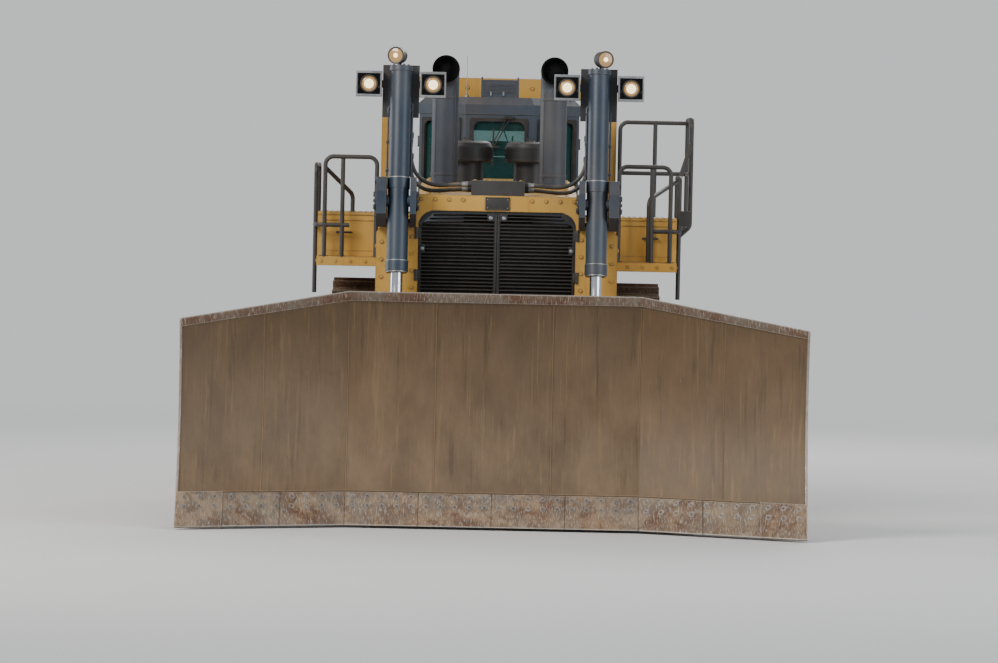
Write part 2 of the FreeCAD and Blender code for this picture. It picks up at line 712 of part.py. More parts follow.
boss = rod("arm_boss", (trackMid + s.frameHalf, s.armPivotAhead, s.armPivotHigh),
           (s.armIn - s.pinGap, s.armPivotAhead, s.armPivotHigh), s.armPin + 60)
stub = rod("arm_stub", (trackMid + s.frameHalf, s.armPivotAhead, s.armPivotHigh),
           (s.armOut + 30, s.armPivotAhead, s.armPivotHigh), s.armPin)
cap = rod("arm_cap", (s.armOut + s.pinGap, s.armPivotAhead, s.armPivotHigh),
          (s.armOut + 30, s.armPivotAhead, s.armPivotHigh), s.armPin + 40)
frame = join("track_frame", *plates, boss, stub, cap)
pair("track_frame", frame)

# Final drives: housing, and the domed cover outside the sprocket
middleOut = trackMid + s.sprocketThick / 2
housing = rod("drive_housing", (s.caseHalf, sprocketAhead, s.sprocketHigh),
              (trackMid - s.sprocketThick / 2, sprocketAhead, s.sprocketHigh), s.driveRound)
cover = rod("drive_cover", (middleOut, sprocketAhead, s.sprocketHigh),
            (trackMid + s.hubReach - 90, sprocketAhead, s.sprocketHigh), s.hubRound)
dome = rod("drive_dome", (trackMid + s.hubReach - 90, sprocketAhead, s.sprocketHigh),
           (trackMid + s.hubReach, sprocketAhead, s.sprocketHigh), s.hubRound, s.hubRound - 120)
outer = join("drive_outer", cover, dome)
node("final_drives", both("final_drives", group("drive_left", housing, outer)))

# Main frame, rear case and equalizer bar
rails = side_plate("rails_left", (s.railIn, s.railOut),
                   [(s.caseFront, s.caseLow), (900, s.caseLow), (1200, 960), (s.guardFront - 50, 960),
                    (s.guardFront - 50, s.railTop), (s.caseFront, s.railTop)])
barLow, saddleLow, saddleHalf = 700, 1000, 160
saddle = block("saddle", (-s.railIn, s.railIn), (s.barAhead - saddleHalf, s.barAhead + saddleHalf),
               (saddleLow, saddleLow + 400))
ears = [block("saddle_ear_" + end, (-180, 180), along, (barLow, saddleLow))
        for end, along in (("front", (s.barAhead + s.barHalf, s.barAhead + saddleHalf)),
                           ("rear", (s.barAhead - saddleHalf, s.barAhead - s.barHalf)))]
nose = block("frame_nose", (-s.railIn, s.railIn), (s.guardFront - 200, s.guardFront - 50),
             (960, s.railTop))
belly = block("belly_guard", (-s.railIn, s.railIn), (s.caseFront, 900), (s.caseLow, s.caseLow + 40))
tow_ears = [flat_plate(f"tow_ear_{end}", (bottom, bottom + s.towThick),
                       [(-130, s.guardFront - 50), (130, s.guardFront - 50), (90, s.towAhead + 60),
                        (40, s.towAhead + 90), (-40, s.towAhead + 90), (-90, s.towAhead + 60)])
            for end, bottom in (("low", s.towHigh - s.towTall / 2),
                                ("high", s.towHigh + s.towTall / 2 - s.towThick))]
tow_hole = rod("tow_hole", (0, s.towAhead, s.towHigh - 200), (0, s.towAhead, s.towHigh + 200), s.towRound)
frame_parts = [rails, other_side(rails), saddle, *ears, nose, belly, *tow_ears]
node("main_frame", less("main_frame", join("main_frame_full", *frame_parts), tow_hole))

back, front = s.caseBack, s.caseFront
case = side_plate("case_middle", (-s.caseHalf, s.caseHalf),
                  [(front, s.caseLow), (front, s.caseHigh), (back, s.caseHigh), (back, s.caseLow + 250),
                   (back + 250, s.caseLow)])
shaft = rod("pivot_shaft", (s.caseHalf, sprocketAhead, s.pivotHigh),
            (trackMid - s.frameHalf, sprocketAhead, s.pivotHigh), s.pivotRound)
lugs = []
for side, start in (("arm_in", s.linkSide - s.linkThick / 2 - s.pinGap - s.pinPlate),
                    ("arm_out", s.linkSide + s.linkThick / 2 + s.pinGap)):
    lugs.append(side_plate("low_lug_" + side, (start, start + s.pinPlate),
                           [(back, s.lowPinHigh - 250), (s.rearPinAhead - 40, s.lowPinHigh - 110),
                            (s.rearPinAhead - 110, s.lowPinHigh - 40),
                            (s.rearPinAhead - 110, s.lowPinHigh + 40),
                            (s.rearPinAhead - 40, s.lowPinHigh + 110), (back, s.lowPinHigh + 250)]))
arm_pin = rod("low_pin", (s.linkSide - 120, s.rearPinAhead, s.lowPinHigh),
              (s.linkSide + 120, s.rearPinAhead, s.lowPinHigh), s.ripperPin)
# The upper pins of the ripper stand in lugs on a tower behind the case
towerFoot = 1500
tower = side_plate("ripper_tower", (s.topLinkSide - 130, s.topLinkSide - 130 + s.pinPlate),
                   [(back, towerFoot), (s.rearPinAhead - 40, s.highPinHigh - 110),
                    (s.rearPinAhead - 110, s.highPinHigh - 40), (s.rearPinAhead - 110, s.highPinHigh + 40),
                    (s.rearPinAhead - 40, s.highPinHigh + 110), (back + 150, s.highPinHigh + 110),
                    (back + 150, towerFoot)])
tower_pin = rod("high_pin", (s.topLinkSide - 120, s.rearPinAhead, s.highPinHigh),
                (s.topLinkSide + 110, s.rearPinAhead, s.highPinHigh), s.ripperPin)
hoist_lugs = []
for side, start in (("in", s.hoistSide - 60 - s.pinGap - s.pinPlate), ("out", s.hoistSide + 60 + s.pinGap)):
    hoist_lugs.append(side_plate("hoist_lug_" + side, (start, start + s.pinPlate),
                                 [(back, s.hoistHigh - 200), (s.hoistAhead - 90, s.hoistHigh - 60),
                                  (s.hoistAhead - 90, s.hoistHigh + 60),
                                  (s.hoistAhead - 40, s.hoistHigh + 100),
                                  (s.hoistAhead + 40, s.hoistHigh + 100), (back + 200, s.caseHigh),
                                  (back + 200, s.hoistHigh - 200)]))
hoist_pin = rod("hoist_pin", (s.hoistSide - 100, s.hoistAhead, s.hoistHigh),
                (s.hoistSide + 100, s.hoistAhead, s.hoistHigh), s.ripperPin)
bracket = side_plate("tank_bracket", (s.bracketSide, s.bracketSide + s.bracketThick),
                     [(s.ropsBack - 10, s.caseHigh), (back + 10, s.caseHigh), (s.tankBack + 140, s.tankLow),
                      (s.ropsBack - 10, s.tankLow)])
left_side = [shaft, *lugs, arm_pin, tower, tower_pin, *hoist_lugs, hoist_pin, bracket]
node("rear_case", join("rear_case", case, *left_side, *[other_side(piece) for piece in left_side]))

barEnd = trackMid - s.frameHalf - s.plateThick
node("equalizer_bar", front_plate("equalizer_bar", (s.barAhead - s.barHalf, s.barAhead + s.barHalf),
                                  [(-barEnd, barLow + 60), (-250, barLow), (250, barLow),
                                   (barEnd, barLow + 60), (barEnd, barLow + 190), (250, barLow + 240),
                                   (-250, barLow + 240), (-barEnd, barLow + 190)]))

node("engine_block", block("engine_block", (-s.engineHalf, s.engineHalf),
                           (s.engineBack, s.engineFront), (s.railTop, s.engineTop)))

# Radiator guard with its opening, core and louvred panels
wide, top = s.guardHalf, s.hoodFrontHigh
shell = front_plate("guard_shell", (s.guardBack, s.guardFront),
                    [(165 - wide, s.railTop), (wide - 165, s.railTop), (wide, s.railTop + 200),
                     (wide, s.shoulderHigh - 100), (wide - 85, s.shoulderHigh),
                     (s.hoodHalf, s.shoulderHigh), (s.hoodHalf, top), (-s.hoodHalf, top),
                     (-s.hoodHalf, s.shoulderHigh), (85 - wide, s.shoulderHigh),
                     (-wide, s.shoulderHigh - 100), (-wide, s.railTop + 200)])
hole, cut_off = s.grilleHalf, s.grilleCorner
opening = front_plate("guard_opening", (s.guardBack - 10, s.guardFront + 10),
                      [(-hole, s.grilleLow), (hole, s.grilleLow), (hole, s.grilleHigh - cut_off),
                       (hole - cut_off, s.grilleHigh), (cut_off - hole, s.grilleHigh),
                       (-hole, s.grilleHigh - cut_off)])
node("radiator_guard", less("radiator_guard", shell, opening))
node("radiator_core", block("radiator_core", (-hole, hole), (s.guardBack + 60, s.guardBack + 240),
                            (s.grilleLow, s.grilleHigh - cut_off)))

doorFace = s.guardFront - 20
edge = 46
panel = front_plate("grille_frame", (doorFace - s.grilleDeep, doorFace),
                    [(2, s.grilleLow), (hole, s.grilleLow), (hole, s.grilleHigh - cut_off),
                     (hole - cut_off, s.grilleHigh), (2, s.grilleHigh)])
inside = front_plate("grille_inside", (doorFace - s.grilleDeep - 5, doorFace + 5),
                     [(2 + edge, s.grilleLow + edge), (hole - edge, s.grilleLow + edge),
                      (hole - edge, s.grilleHigh - cut_off - edge / 2),
                      (hole - cut_off - edge / 2, s.grilleHigh - edge), (2 + edge, s.grilleHigh - edge)])
LOUVRES = int(s.louvreCount)
step = (s.grilleHigh - s.grilleLow - 2 * edge) / LOUVRES
slats = []
for i in range(LOUVRES):
    foot = s.grilleLow + edge + step * (i + 0.2)
    # The top louvres end at the cut corner
    slack = max(0.0, float(foot + step - (s.grilleHigh - cut_off - edge / 2)))
    slats.append(side_plate(f"louvre_{i}", (2 + edge, hole - edge - slack),
                            [(doorFace - s.grilleDeep + 8, foot + step * 0.45), (doorFace - 8, foot),
                             (doorFace - 8, foot + 10),
                             (doorFace - s.grilleDeep + 8, foot + step * 0.45 + 10)]))
left_panel = join("grille_left", less("grille_rim", panel, inside), *slats)
node("grille_panels", both("grille_panels", left_panel))

# Hood: a tray that rises towards the cab, with flat seats for the stacks and precleaners


def hood_top(ahead):
    """Height of the hood's sheet at a place."""
    return s.hoodFrontHigh + (s.guardBack - ahead) * s.hoodSlope


def hood_solid():
    """Bent sheet lofted between its front and back sections."""
    sections = []
    for ahead in (s.guardBack, s.hoodBack):
        high = float(hood_top(ahead))
        half, thick = float(s.hoodHalf), float(s.hoodThick)
        foot = float(s.doorTop)
        right = [(half, foot), (half, high - 70), (half - 90, high)]
        left = [(half - 90 - 0.4 * thick, high - thick), (half - thick, high - 70 - 0.4 * thick),
                (half - thick, foot)]
        corners = [(-a, b) for a, b in right] + [(a, b) for a, b in reversed(right)]
        corners += [(a, b) for a, b in reversed(left)] + [(-a, b) for a, b in left]
        corners = [vector((a, ahead, b)) for a, b in corners]
        sections.append(Part.makePolygon(corners + corners[:1]))
    return Part.makeLoft(sections, True, True)


hood_parts = [made("hood_sheet", hood_solid())]
SEATS = (
    # name, out from the middle, ahead, radius
    ("stack", s.stackSide, s.stackAhead, s.stackRound + 30),
    ("cleaner", s.cleanerSide, s.cleanerAhead, s.cleanerNeck + 15),
)
seatHigh = {}
for name, side, where, radius in SEATS:
    seatHigh[name] = hood_top(where) + 25
    seat = rod("seat_" + name, (side, where, hood_top(where) - s.hoodThick - 10),
               (side, where, seatHigh[name]), radius)
    hood_parts += [seat, other_side(seat)]
node("hood", join("hood", *hood_parts))
DOORS = (
    # name, cooling slots
    ("rear", 0),
    ("middle", 9),
    ("front", 9),
)
doorLong = (s.guardBack - s.hoodBack) / len(DOORS)
slotRise = (s.doorTop - s.doorLow) / 12
doors = []
for i, (name, slots) in enumerate(DOORS):
    start, end = s.hoodBack + doorLong * i + s.doorSplit / 2, s.hoodBack + doorLong * (i + 1) - s.doorSplit / 2
    sheet_metal = block("side_door_" + name, (s.hoodHalf - s.hoodThick, s.hoodHalf), (start, end),
                        (s.doorLow, s.doorTop))
    field = block("door_field_" + name, (s.hoodHalf - s.doorPress, s.hoodHalf + 5),
                  (start + s.doorRim, end - s.doorRim), (s.doorLow + s.doorRim, s.doorTop - s.doorRim))
    holes = [field]
    for j in range(int(slots)):
        foot = s.doorLow + slotRise * (j + 1.6)
        holes.append(block(f"door_slot_{name}_{j}", (s.hoodHalf - s.hoodThick - 5, s.hoodHalf),
                           (start + 2.5 * s.doorRim, end - 2.5 * s.doorRim), (foot, foot + s.slotTall)))
    doors.append(less("door_" + name, sheet_metal, join("door_holes_" + name, *holes) if slots else field))
node("hood_doors", both("hood_doors", group("doors_left", *doors)))

# Hose cover on the hood, with two ports at each end
HOSES = {
    # route of each left hose as x, ahead, high, from the cover out and up to the riser
    "upper": ((320, 2820, 3515), (430, 2820, 3515), (560, 2822, 3500), (683, 2820, 3502), (794, 2816, 3546),
              (877, 2808, 3631), (915, 2796, 3742), (928, 2785, 3850), (928, 2785, 3950)),
    "lower": ((320, 2700, 3465), (430, 2700, 3465), (580, 2703, 3445), (730, 2706, 3442), (820, 2709, 3479),
              (888, 2712, 3547), (925, 2716, 3636), (925, 2716, 3730)),
}
ports = []
for name, route in HOSES.items():
    across, ahead, high = route[0]
    ports.append(rod("cover_port_" + name, (s.coverHalf - 10, ahead, high), (across, ahead, high),
                     s.portRound))
cover = block("cover_box", (-s.coverHalf, s.coverHalf), (s.guardBack, s.guardFront - 60),
              (top, top + s.coverTall))
node("hose_cover", join("hose_cover", cover, *ports, *[other_side(port) for port in ports]))

# Exhaust stacks: tube, bend and a mouth that opens forwards


def stack_solid():
    """A tube that rises, bends forwards and ends in an open mouth."""
    base = vector((s.stackSide, s.stackAhead, seatHigh["stack"]))
    bend, radius = float(s.stackBend), float(s.stackRound)
    mouth_high = float(s.stackHigh)
    elbow = Vector(base.x, base.y, mouth_high - bend)
    centre = elbow + Vector(0, -bend, 0)
    half = math.sqrt(0.5)
    middle_point = centre + Vector(0, bend * half, bend * half)
    turn_end = centre + Vector(0, 0, bend)
    mouth = turn_end + Vector(0, -60, 0)
    path = Part.Wire([Part.makeLine(base, elbow), Part.Arc(elbow, middle_point, turn_end).toShape(),
                      Part.makeLine(turn_end, mouth)])
    ring = Part.Wire(Part.makeCircle(radius, base, Vector(0, 0, 1)))
    tube = path.makePipeShell([ring], True, False)
    bore = Part.makeCylinder(radius - float(s.stackWall), 90, mouth, Vector(0, 1, 0))
    rim = Part.makeCylinder(radius + 14, 40, base, Vector(0, 0, 1))
    return tube.cut(bore).fuse(rim).Solids[0]


node("exhaust_stacks", both("exhaust_stacks", made("stack", stack_solid())))
tall = s.cleanerHigh - seatHigh["cleaner"]
neck, drum, drumLow = s.cleanerNeck, s.cleanerRound, tall - s.cleanerDrum
profile = [(0, 0), (neck, 0), (neck, drumLow), (drum - 15, drumLow), (drum, drumLow + 15),
           (drum, tall - 60), (drum - 18, tall - 20), (drum - 60, tall), (0, tall)]
cleaner = turned("precleaner", (s.cleanerSide, s.cleanerAhead, seatHigh["cleaner"]), Vector(0, 0, 1),
                 profile)
node("precleaners", both("precleaners", cleaner))

# Lift yokes on the radiator guard
pin_ahead, pin_high = s.liftAhead, s.liftHigh
yoke = []
for side, across in (("in", (s.yokeIn, s.yokeIn + s.yokeInThick)),
                     ("out", (s.yokeOut - s.yokeOutThick, s.yokeOut))):
    yoke.append(side_plate("yoke_" + side, across,
                           [(s.guardBack + 40, s.shoulderHigh), (s.guardFront, s.shoulderHigh),
                            (s.guardFront, s.shoulderHigh - 45), (pin_ahead - 80, s.shoulderHigh - 45),
                            (pin_ahead + 150, pin_high - 130), (pin_ahead + 150, pin_high + 110),
                            (pin_ahead + 60, pin_high + 250), (pin_ahead - 150, pin_high + 250),
                            (s.guardBack + 40, s.shoulderHigh + 150)]))
tie = block("yoke_tie", (s.yokeIn, s.yokeOut), (s.guardBack + 100, s.guardFront - 100),
            (s.shoulderHigh, s.shoulderHigh + 40))
riserBack, riserFront = s.guardFront - 250, s.guardFront - 210
riser = block("hose_riser", (s.liftSide - 45, s.liftSide + 45), (riserBack, riserFront),
              (s.shoulderHigh + 40, pin_high + s.riserOver))
bore = rod("yoke_bore", (s.yokeIn, pin_ahead, pin_high), (s.yokeOut, pin_ahead, pin_high),
           s.liftTrunnion + 0.05)
blocks = []
for name, route in HOSES.items():
    across, ahead, high = route[-1]
    port_top = high + s.portLong
    blocks.append(rod("riser_port_" + name, (across, ahead, high), (across, ahead, port_top), s.portRound))
    # The lower block stands behind the riser, so the upper hose passes it
    reach = (riserBack, ahead + s.portRound) if name == "upper" else (ahead - s.portRound, riserBack + 2)
    blocks.append(block("riser_block_" + name, (across - s.portRound - 4, s.liftSide), reach,
                        (port_top, port_top + 60)))
caps = [rod("yoke_cap_in", (s.yokeIn - 16, pin_ahead, pin_high), (s.yokeIn, pin_ahead, pin_high),
            s.liftTrunnion + 45),
        rod("yoke_cap_out", (s.yokeOut, pin_ahead, pin_high), (s.yokeOut + 16, pin_ahead, pin_high),
            s.liftTrunnion + 45)]
yoke_left = join("yoke_left", less("yoke_bored", join("yoke_plates", *yoke, tie, riser, *blocks), bore),
                 *caps)
node("lift_yokes", both("lift_yokes", yoke_left))

# Cab platform, cab, roof, glass, doors
floor_plate = block("floor_plate", (-s.floorHalf, s.floorHalf), (s.floorBack, s.hoodBack - 12),
                    (s.floorLow, s.floorHigh))
stands = [block(f"floor_stand_{end}", (400, 560), (where - 150, where + 150), (s.caseHigh, s.floorLow))
          for end, where in (("front", -900), ("rear", -1900))]
node("cab_platform", join("cab_platform", floor_plate, *stands, *[other_side(p) for p in stands]))


def cab_plan(inset, front_inset=None):
    """Outline of the cab from above, so far inside its outer face."""
    angle = math.atan2(float(s.cabCorner), float(s.cabHalf - s.cabNose))
    slip = inset * math.tan(angle / 2)
    shrink = inset * math.tan((math.pi / 2 - angle) / 2)
    half, nose = s.cabHalf - inset, s.cabNose - slip
    front, corner = s.cabFront - inset, s.cabFront - s.cabCorner - shrink
    back = s.cabBack + inset
    return [(nose, front), (-nose, front), (-half, corner), (-half, back), (half, back), (half, corner)]


def strip(name, side, near, far, up, inset, thick):
    """A slab that follows one face of the cab's plan: front, corner or back.

    near and far are shares of that face's length.
    """
    outer, inner = cab_plan(inset), cab_plan(inset + thick)
    ends = {"front": (1, 0), "corner": (0, 5), "back": (4, 3)}[side]
    corners = []
    for plan, shares in ((outer, (near, far)), (inner, (far, near))):
        (a, b), (c, d) = plan[ends[0]], plan[ends[1]]
        for share in shares:
            corners.append((a + (c - a) * share, b + (d - b) * share))
    return flat_plate(name, up, corners)


outer_cab = flat_plate("cab_outer", (s.floorHigh, s.cabEaves), cab_plan(0))
inner_cab = flat_plate("cab_inner", (s.floorHigh + s.cabWall, s.cabEaves + 10), cab_plan(s.cabWall))
wall = s.cabWall
WINDOWS = (
    # name, face of the plan, near share, far share, bottom, top
    ("windshield", "front", 0.1, 0.9, s.sillHigh, s.headHigh),
    ("corner_window", "corner", 0.12, 0.9, s.sillHigh - 300, s.headHigh),
    ("rear_window", "back", 0.12, 0.88, s.sillHigh - 150, s.headHigh),
)
cuts, panes = [], []
for name, side, near, far, low, high in WINDOWS:
    cut_piece = strip(name + "_cut", side, near, far, (low, high), -20, wall + 40)
    pane = strip(name, side, near, far, (low, high), wall / 2, s.glassThick)
    cuts.append(cut_piece)
    panes.append(pane)
    if side == "corner":
        cuts.append(other_side(cut_piece))
        panes.append(other_side(pane))
doorway = block("doorway", (s.cabHalf - wall - 20, s.cabHalf + 20), (s.doorBack, s.doorFront),
                (s.doorSill, s.headHigh))
cuts += [doorway, other_side(doorway)]
hollow = less("cab_hollow", outer_cab, inner_cab)
bare_shell = less("cab_bare", hollow, group("cab_cuts", *cuts))
# Door hinges: a pin between two ears on the cab, and a knuckle on the door
hingeAt = (s.cabHalf + s.hingeOut, s.doorBack - s.hingeBehind)
hinge_fixed, hinge_moving = [], []
for end, high in (("low", s.doorSill + 250), ("high", s.headHigh - 250)):
    foot_z, top_z = high - s.hingeTall / 2, high + s.hingeTall / 2
    for where, z0 in (("under", foot_z - 16), ("over", top_z + 1)):
        hinge_fixed.append(block(f"hinge_ear_{end}_{where}", (s.cabHalf - 20, hingeAt[0] + 14),
                                 (hingeAt[1] - 60, s.doorBack - 2), (z0, z0 + 15)))
        hinge_fixed.append(block(f"hinge_tip_{end}_{where}", (s.cabHalf + 2, hingeAt[0] + 14),
                                 (s.doorBack - 2, hingeAt[1] + 14), (z0, z0 + 15)))
    hinge_fixed.append(rod(f"hinge_pin_{end}", (hingeAt[0], hingeAt[1], foot_z - 16),
                           (hingeAt[0], hingeAt[1], top_z + 16), s.hingePin))
    leaf = block(f"hinge_leaf_{end}", (s.cabHalf, hingeAt[0]), (s.doorBack + 8, s.doorBack + 90),
                 (foot_z, top_z))
    bridge = block(f"hinge_bridge_{end}", (s.cabHalf + 3, hingeAt[0]), (hingeAt[1], s.doorBack + 12),
                   (foot_z, top_z))
    knuckle = rod(f"hinge_knuckle_{end}", (hingeAt[0], hingeAt[1], foot_z), (hingeAt[0], hingeAt[1], top_z),
                  s.hingeRound)
    bored = rod(f"hinge_bore_{end}", (hingeAt[0], hingeAt[1], foot_z - 5),
                (hingeAt[0], hingeAt[1], top_z + 5), s.hingePin + s.hingeFit)
    solid = join(f"hinge_solid_{end}", leaf, bridge, knuckle)
    hinge_moving.append(less(f"hinge_strap_{end}", solid, bored))
node("cab_shell", join("cab_shell", bare_shell, *hinge_fixed, *[other_side(p) for p in hinge_fixed]))
node("cab_glass", group("cab_glass", *panes))


def roof_solid():
    """Roof shell, lofted up from the eaves to a smaller top."""
    sections = []
    for inset, high in ((-15, s.cabEaves), (-15, s.cabRoof - 80), (70, s.cabRoof)):
        corners = [vector((a, b, high)) for a, b in cab_plan(inset)]
        sections.append(Part.makePolygon(corners + corners[:1]))
    return Part.makeLoft(sections, True, True)


coolerHigh, coolerFront = s.cabRoof + s.coolerTall, s.cabFront - s.coolerBehind
cooler = block("cab_cooler", (-s.coolerHalf, s.coolerHalf), (coolerFront - s.coolerLong, coolerFront),
               (s.cabRoof - 20, coolerHigh))
vent = block("cooler_vent", (50 - s.coolerHalf, s.coolerHalf - 50), (coolerFront - 5, coolerFront + 10),
             (s.cabRoof + 50, coolerHigh - 35))
node("cab_roof", join("cab_roof", made("cab_roof_shell", roof_solid()), cooler, vent))

doorGap = 6
doorAcross = (s.cabHalf - wall + 10, s.cabHalf)
door_slab = block("door_slab", doorAcross, (s.doorBack + doorGap, s.doorFront - doorGap),
                  (s.doorSill + doorGap, s.headHigh - doorGap))
door_hole = block("door_hole", (doorAcross[0] - 10, doorAcross[1] + 10),
                  (s.doorBack + 90, s.doorFront - 90), (s.doorSill + 420, s.headHigh - 90))
door_handle = block("door_handle", (s.cabHalf, s.cabHalf + 35), (s.doorFront - 70, s.doorFront - 40),
                    (s.doorSill + 300, s.doorSill + 480))
pair("cab_door", join("cab_door", less("door_frame", door_slab, door_hole), door_handle, *hinge_moving))
pane = block("door_pane", (s.cabHalf - wall / 2, s.cabHalf - wall / 2 + s.glassThick),
             (s.doorBack + 90, s.doorFront - 90), (s.doorSill + 420, s.headHigh - 90))
pair("door_glass", pane)

# Seat on its suspension, and the consoles beside it
seatAhead = -1500
seatHalf = 260
cabFloor = s.floorHigh + wall
cushionLow = cabFloor + s.seatLift
cushion = side_plate("seat_cushion", (-seatHalf, seatHalf),
                     [(seatAhead - 250, cushionLow), (seatAhead + 230, cushionLow),
                      (seatAhead + 265, cushionLow + 50),
                      (seatAhead + 235, cushionLow + 125), (seatAhead + 120, cushionLow + 145),
                      (seatAhead - 250, cushionLow + 115)])
seat_back = side_plate("seat_back", (20 - seatHalf, seatHalf - 20),
                       [(seatAhead - 150, cushionLow + 80), (seatAhead - 250, cushionLow + 80),
                        (seatAhead - 275, cushionLow + 130),
                        (seatAhead - 390, cushionLow + 680), (seatAhead - 350, cushionLow + 730),
                        (seatAhead - 290, cushionLow + 700),
                        (seatAhead - 230, cushionLow + 400), (seatAhead - 155, cushionLow + 230)])
head_rest = side_plate("head_rest", (-140, 140),
                       [(seatAhead - 385, cushionLow + 690), (seatAhead - 410, cushionLow + 860),
                        (seatAhead - 375, cushionLow + 900),
                        (seatAhead - 310, cushionLow + 885), (seatAhead - 300, cushionLow + 720)])
arm_rest = block("arm_rest", (seatHalf, seatHalf + 70), (seatAhead - 300, seatAhead + 110),
                 (cushionLow + 300, cushionLow + 355))
arm_post = block("arm_post", (seatHalf - 30, seatHalf), (seatAhead - 300, seatAhead - 220),
                 (cushionLow + 300, cushionLow + 355))
base = block("seat_base", (60 - seatHalf, seatHalf - 60), (seatAhead - 200, seatAhead + 200),
             (cabFloor, cushionLow))
node("seat", join("seat", cushion, seat_back, head_rest, arm_rest, arm_post, other_side(arm_rest),
                  other_side(arm_post), base))
console = side_plate("console", (seatHalf + 40, seatHalf + 300),
                     [(seatAhead - 250, cabFloor), (seatAhead + 350, cabFloor),
                      (seatAhead + 400, cushionLow + 100),
                      (seatAhead + 300, cushionLow + 190), (seatAhead - 250, cushionLow + 230)])
lever = rod("lever", (430, seatAhead + 240, cushionLow + 180), (430, seatAhead + 270, cushionLow + 300), 16)
knob = rod("lever_knob", (430, seatAhead + 268, cushionLow + 290),
           (430, seatAhead + 285, cushionLow + 370), 32)
console_left = join("console_left", console, lever, knob)
dash = side_plate("dash", (-300, 300), [(s.cabFront - wall - 260, cabFloor),
                                        (s.cabFront - wall - 5, cabFloor),
                                        (s.cabFront - wall - 5, cushionLow + 380),
                                        (s.cabFront - wall - 180, cushionLow + 300)])
node("cab_consoles", group("cab_consoles", console_left, other_side(console_left), dash))

# Roll-over frame behind the cab
postIn, beamFoot = s.ropsHalf - s.ropsPost, s.ropsHigh - s.ropsBeam
chamfer, gusset, postFoot = s.ropsChamfer, s.ropsGusset, s.caseHigh + 200
frame_plate = front_plate("rops_plate", (s.ropsBack, s.ropsFront),
                          [(-s.ropsHalf, s.caseHigh), (s.ropsHalf, s.caseHigh),
                           (s.ropsHalf, s.ropsHigh - chamfer), (s.ropsHalf - chamfer, s.ropsHigh),
                           (chamfer - s.ropsHalf, s.ropsHigh), (-s.ropsHalf, s.ropsHigh - chamfer)])
rops_opening = front_plate("rops_opening", (s.ropsBack - 10, s.ropsFront + 10),
                           [(-postIn, postFoot), (postIn, postFoot), (postIn, beamFoot - gusset),
                            (postIn - gusset, beamFoot), (gusset - postIn, beamFoot),
                            (-postIn, beamFoot - gusset)])
node("rops_frame", less("rops_frame", frame_plate, rops_opening))

# Decks and boxes over the tracks
stepFront = s.deckFront + s.deckStep
deckTop = s.floorHigh + s.deckThick
slab = flat_plate("deck_slab", (s.floorHigh, deckTop),
                  [(s.deckIn, s.deckBack), (s.deckOut, s.deckBack), (s.deckOut, stepFront),
                   (s.deckIn + 250, stepFront), (s.deckIn, s.deckFront)])
locker = block("deck_locker", (s.deckIn, s.deckOut), (s.boxBack, s.deckFront), (deckTop, s.boxHigh))
field = block("locker_field", (s.deckIn + 300, s.deckOut - 70), (s.deckFront - 12, s.deckFront + 5),
              (deckTop + 60, s.boxHigh - s.lidThick - 60))
lid = block("locker_lid", (s.deckIn, s.deckOut), (s.boxBack - s.lidOver, s.deckFront + s.lidOver),
            (s.boxHigh - s.lidThick, s.boxHigh))
pair("deck", join("deck", slab, less("locker_pressed", locker, field), lid))

tank_shell = side_plate("tank_shell", (-s.tankHalf, s.tankHalf),
                        [(s.floorBack, s.tankLow), (s.floorBack, s.tankHigh), (s.tankBack + 60, s.tankHigh),
                         (s.tankBack, s.tankHigh - 60), (s.tankBack, s.tankLow + 60),
                         (s.tankBack + 60, s.tankLow)])
filler = rod("tank_filler", (-500, s.tankBack + 250, s.tankHigh - 10),
             (-500, s.tankBack + 250, s.tankHigh + 55), 80)
node("fuel_tank", join("fuel_tank", tank_shell, filler))


def tube_solid(points, radius, bend=90.0):
    """Bent tube through places, with round corners as large as bend or as its runs allow."""
    places = [vector(p) for p in points]
    edges, last = [], places[0]
    for i in range(1, len(places) - 1):
        corner = places[i]
        back, on = (places[i - 1] - corner).normalize(), (places[i + 1] - corner).normalize()
        half = back.getAngle(on) / 2
        room = 0.45 * min(corner.distanceToPoint(places[i - 1]), corner.distanceToPoint(places[i + 1]))
        cut_back = room if bend is None else min(bend / math.tan(half), room)
        if bend is None:
            print(f"hose radius {cut_back * math.tan(half):.0f}")
        start, end = corner + back * cut_back, corner + on * cut_back
        away = (back + on).normalize()
        reach_in = cut_back / math.cos(half) - cut_back * math.tan(half)
        edges.append(Part.makeLine(last, start))
        edges.append(Part.Arc(start, corner + away * reach_in, end).toShape())
        last = end
    edges.append(Part.makeLine(last, places[-1]))
    path = Part.Wire(edges)
    ring = Part.Wire(Part.makeCircle(radius, places[0], places[1] - places[0]))
    return path.makePipeShell([ring], True, False)


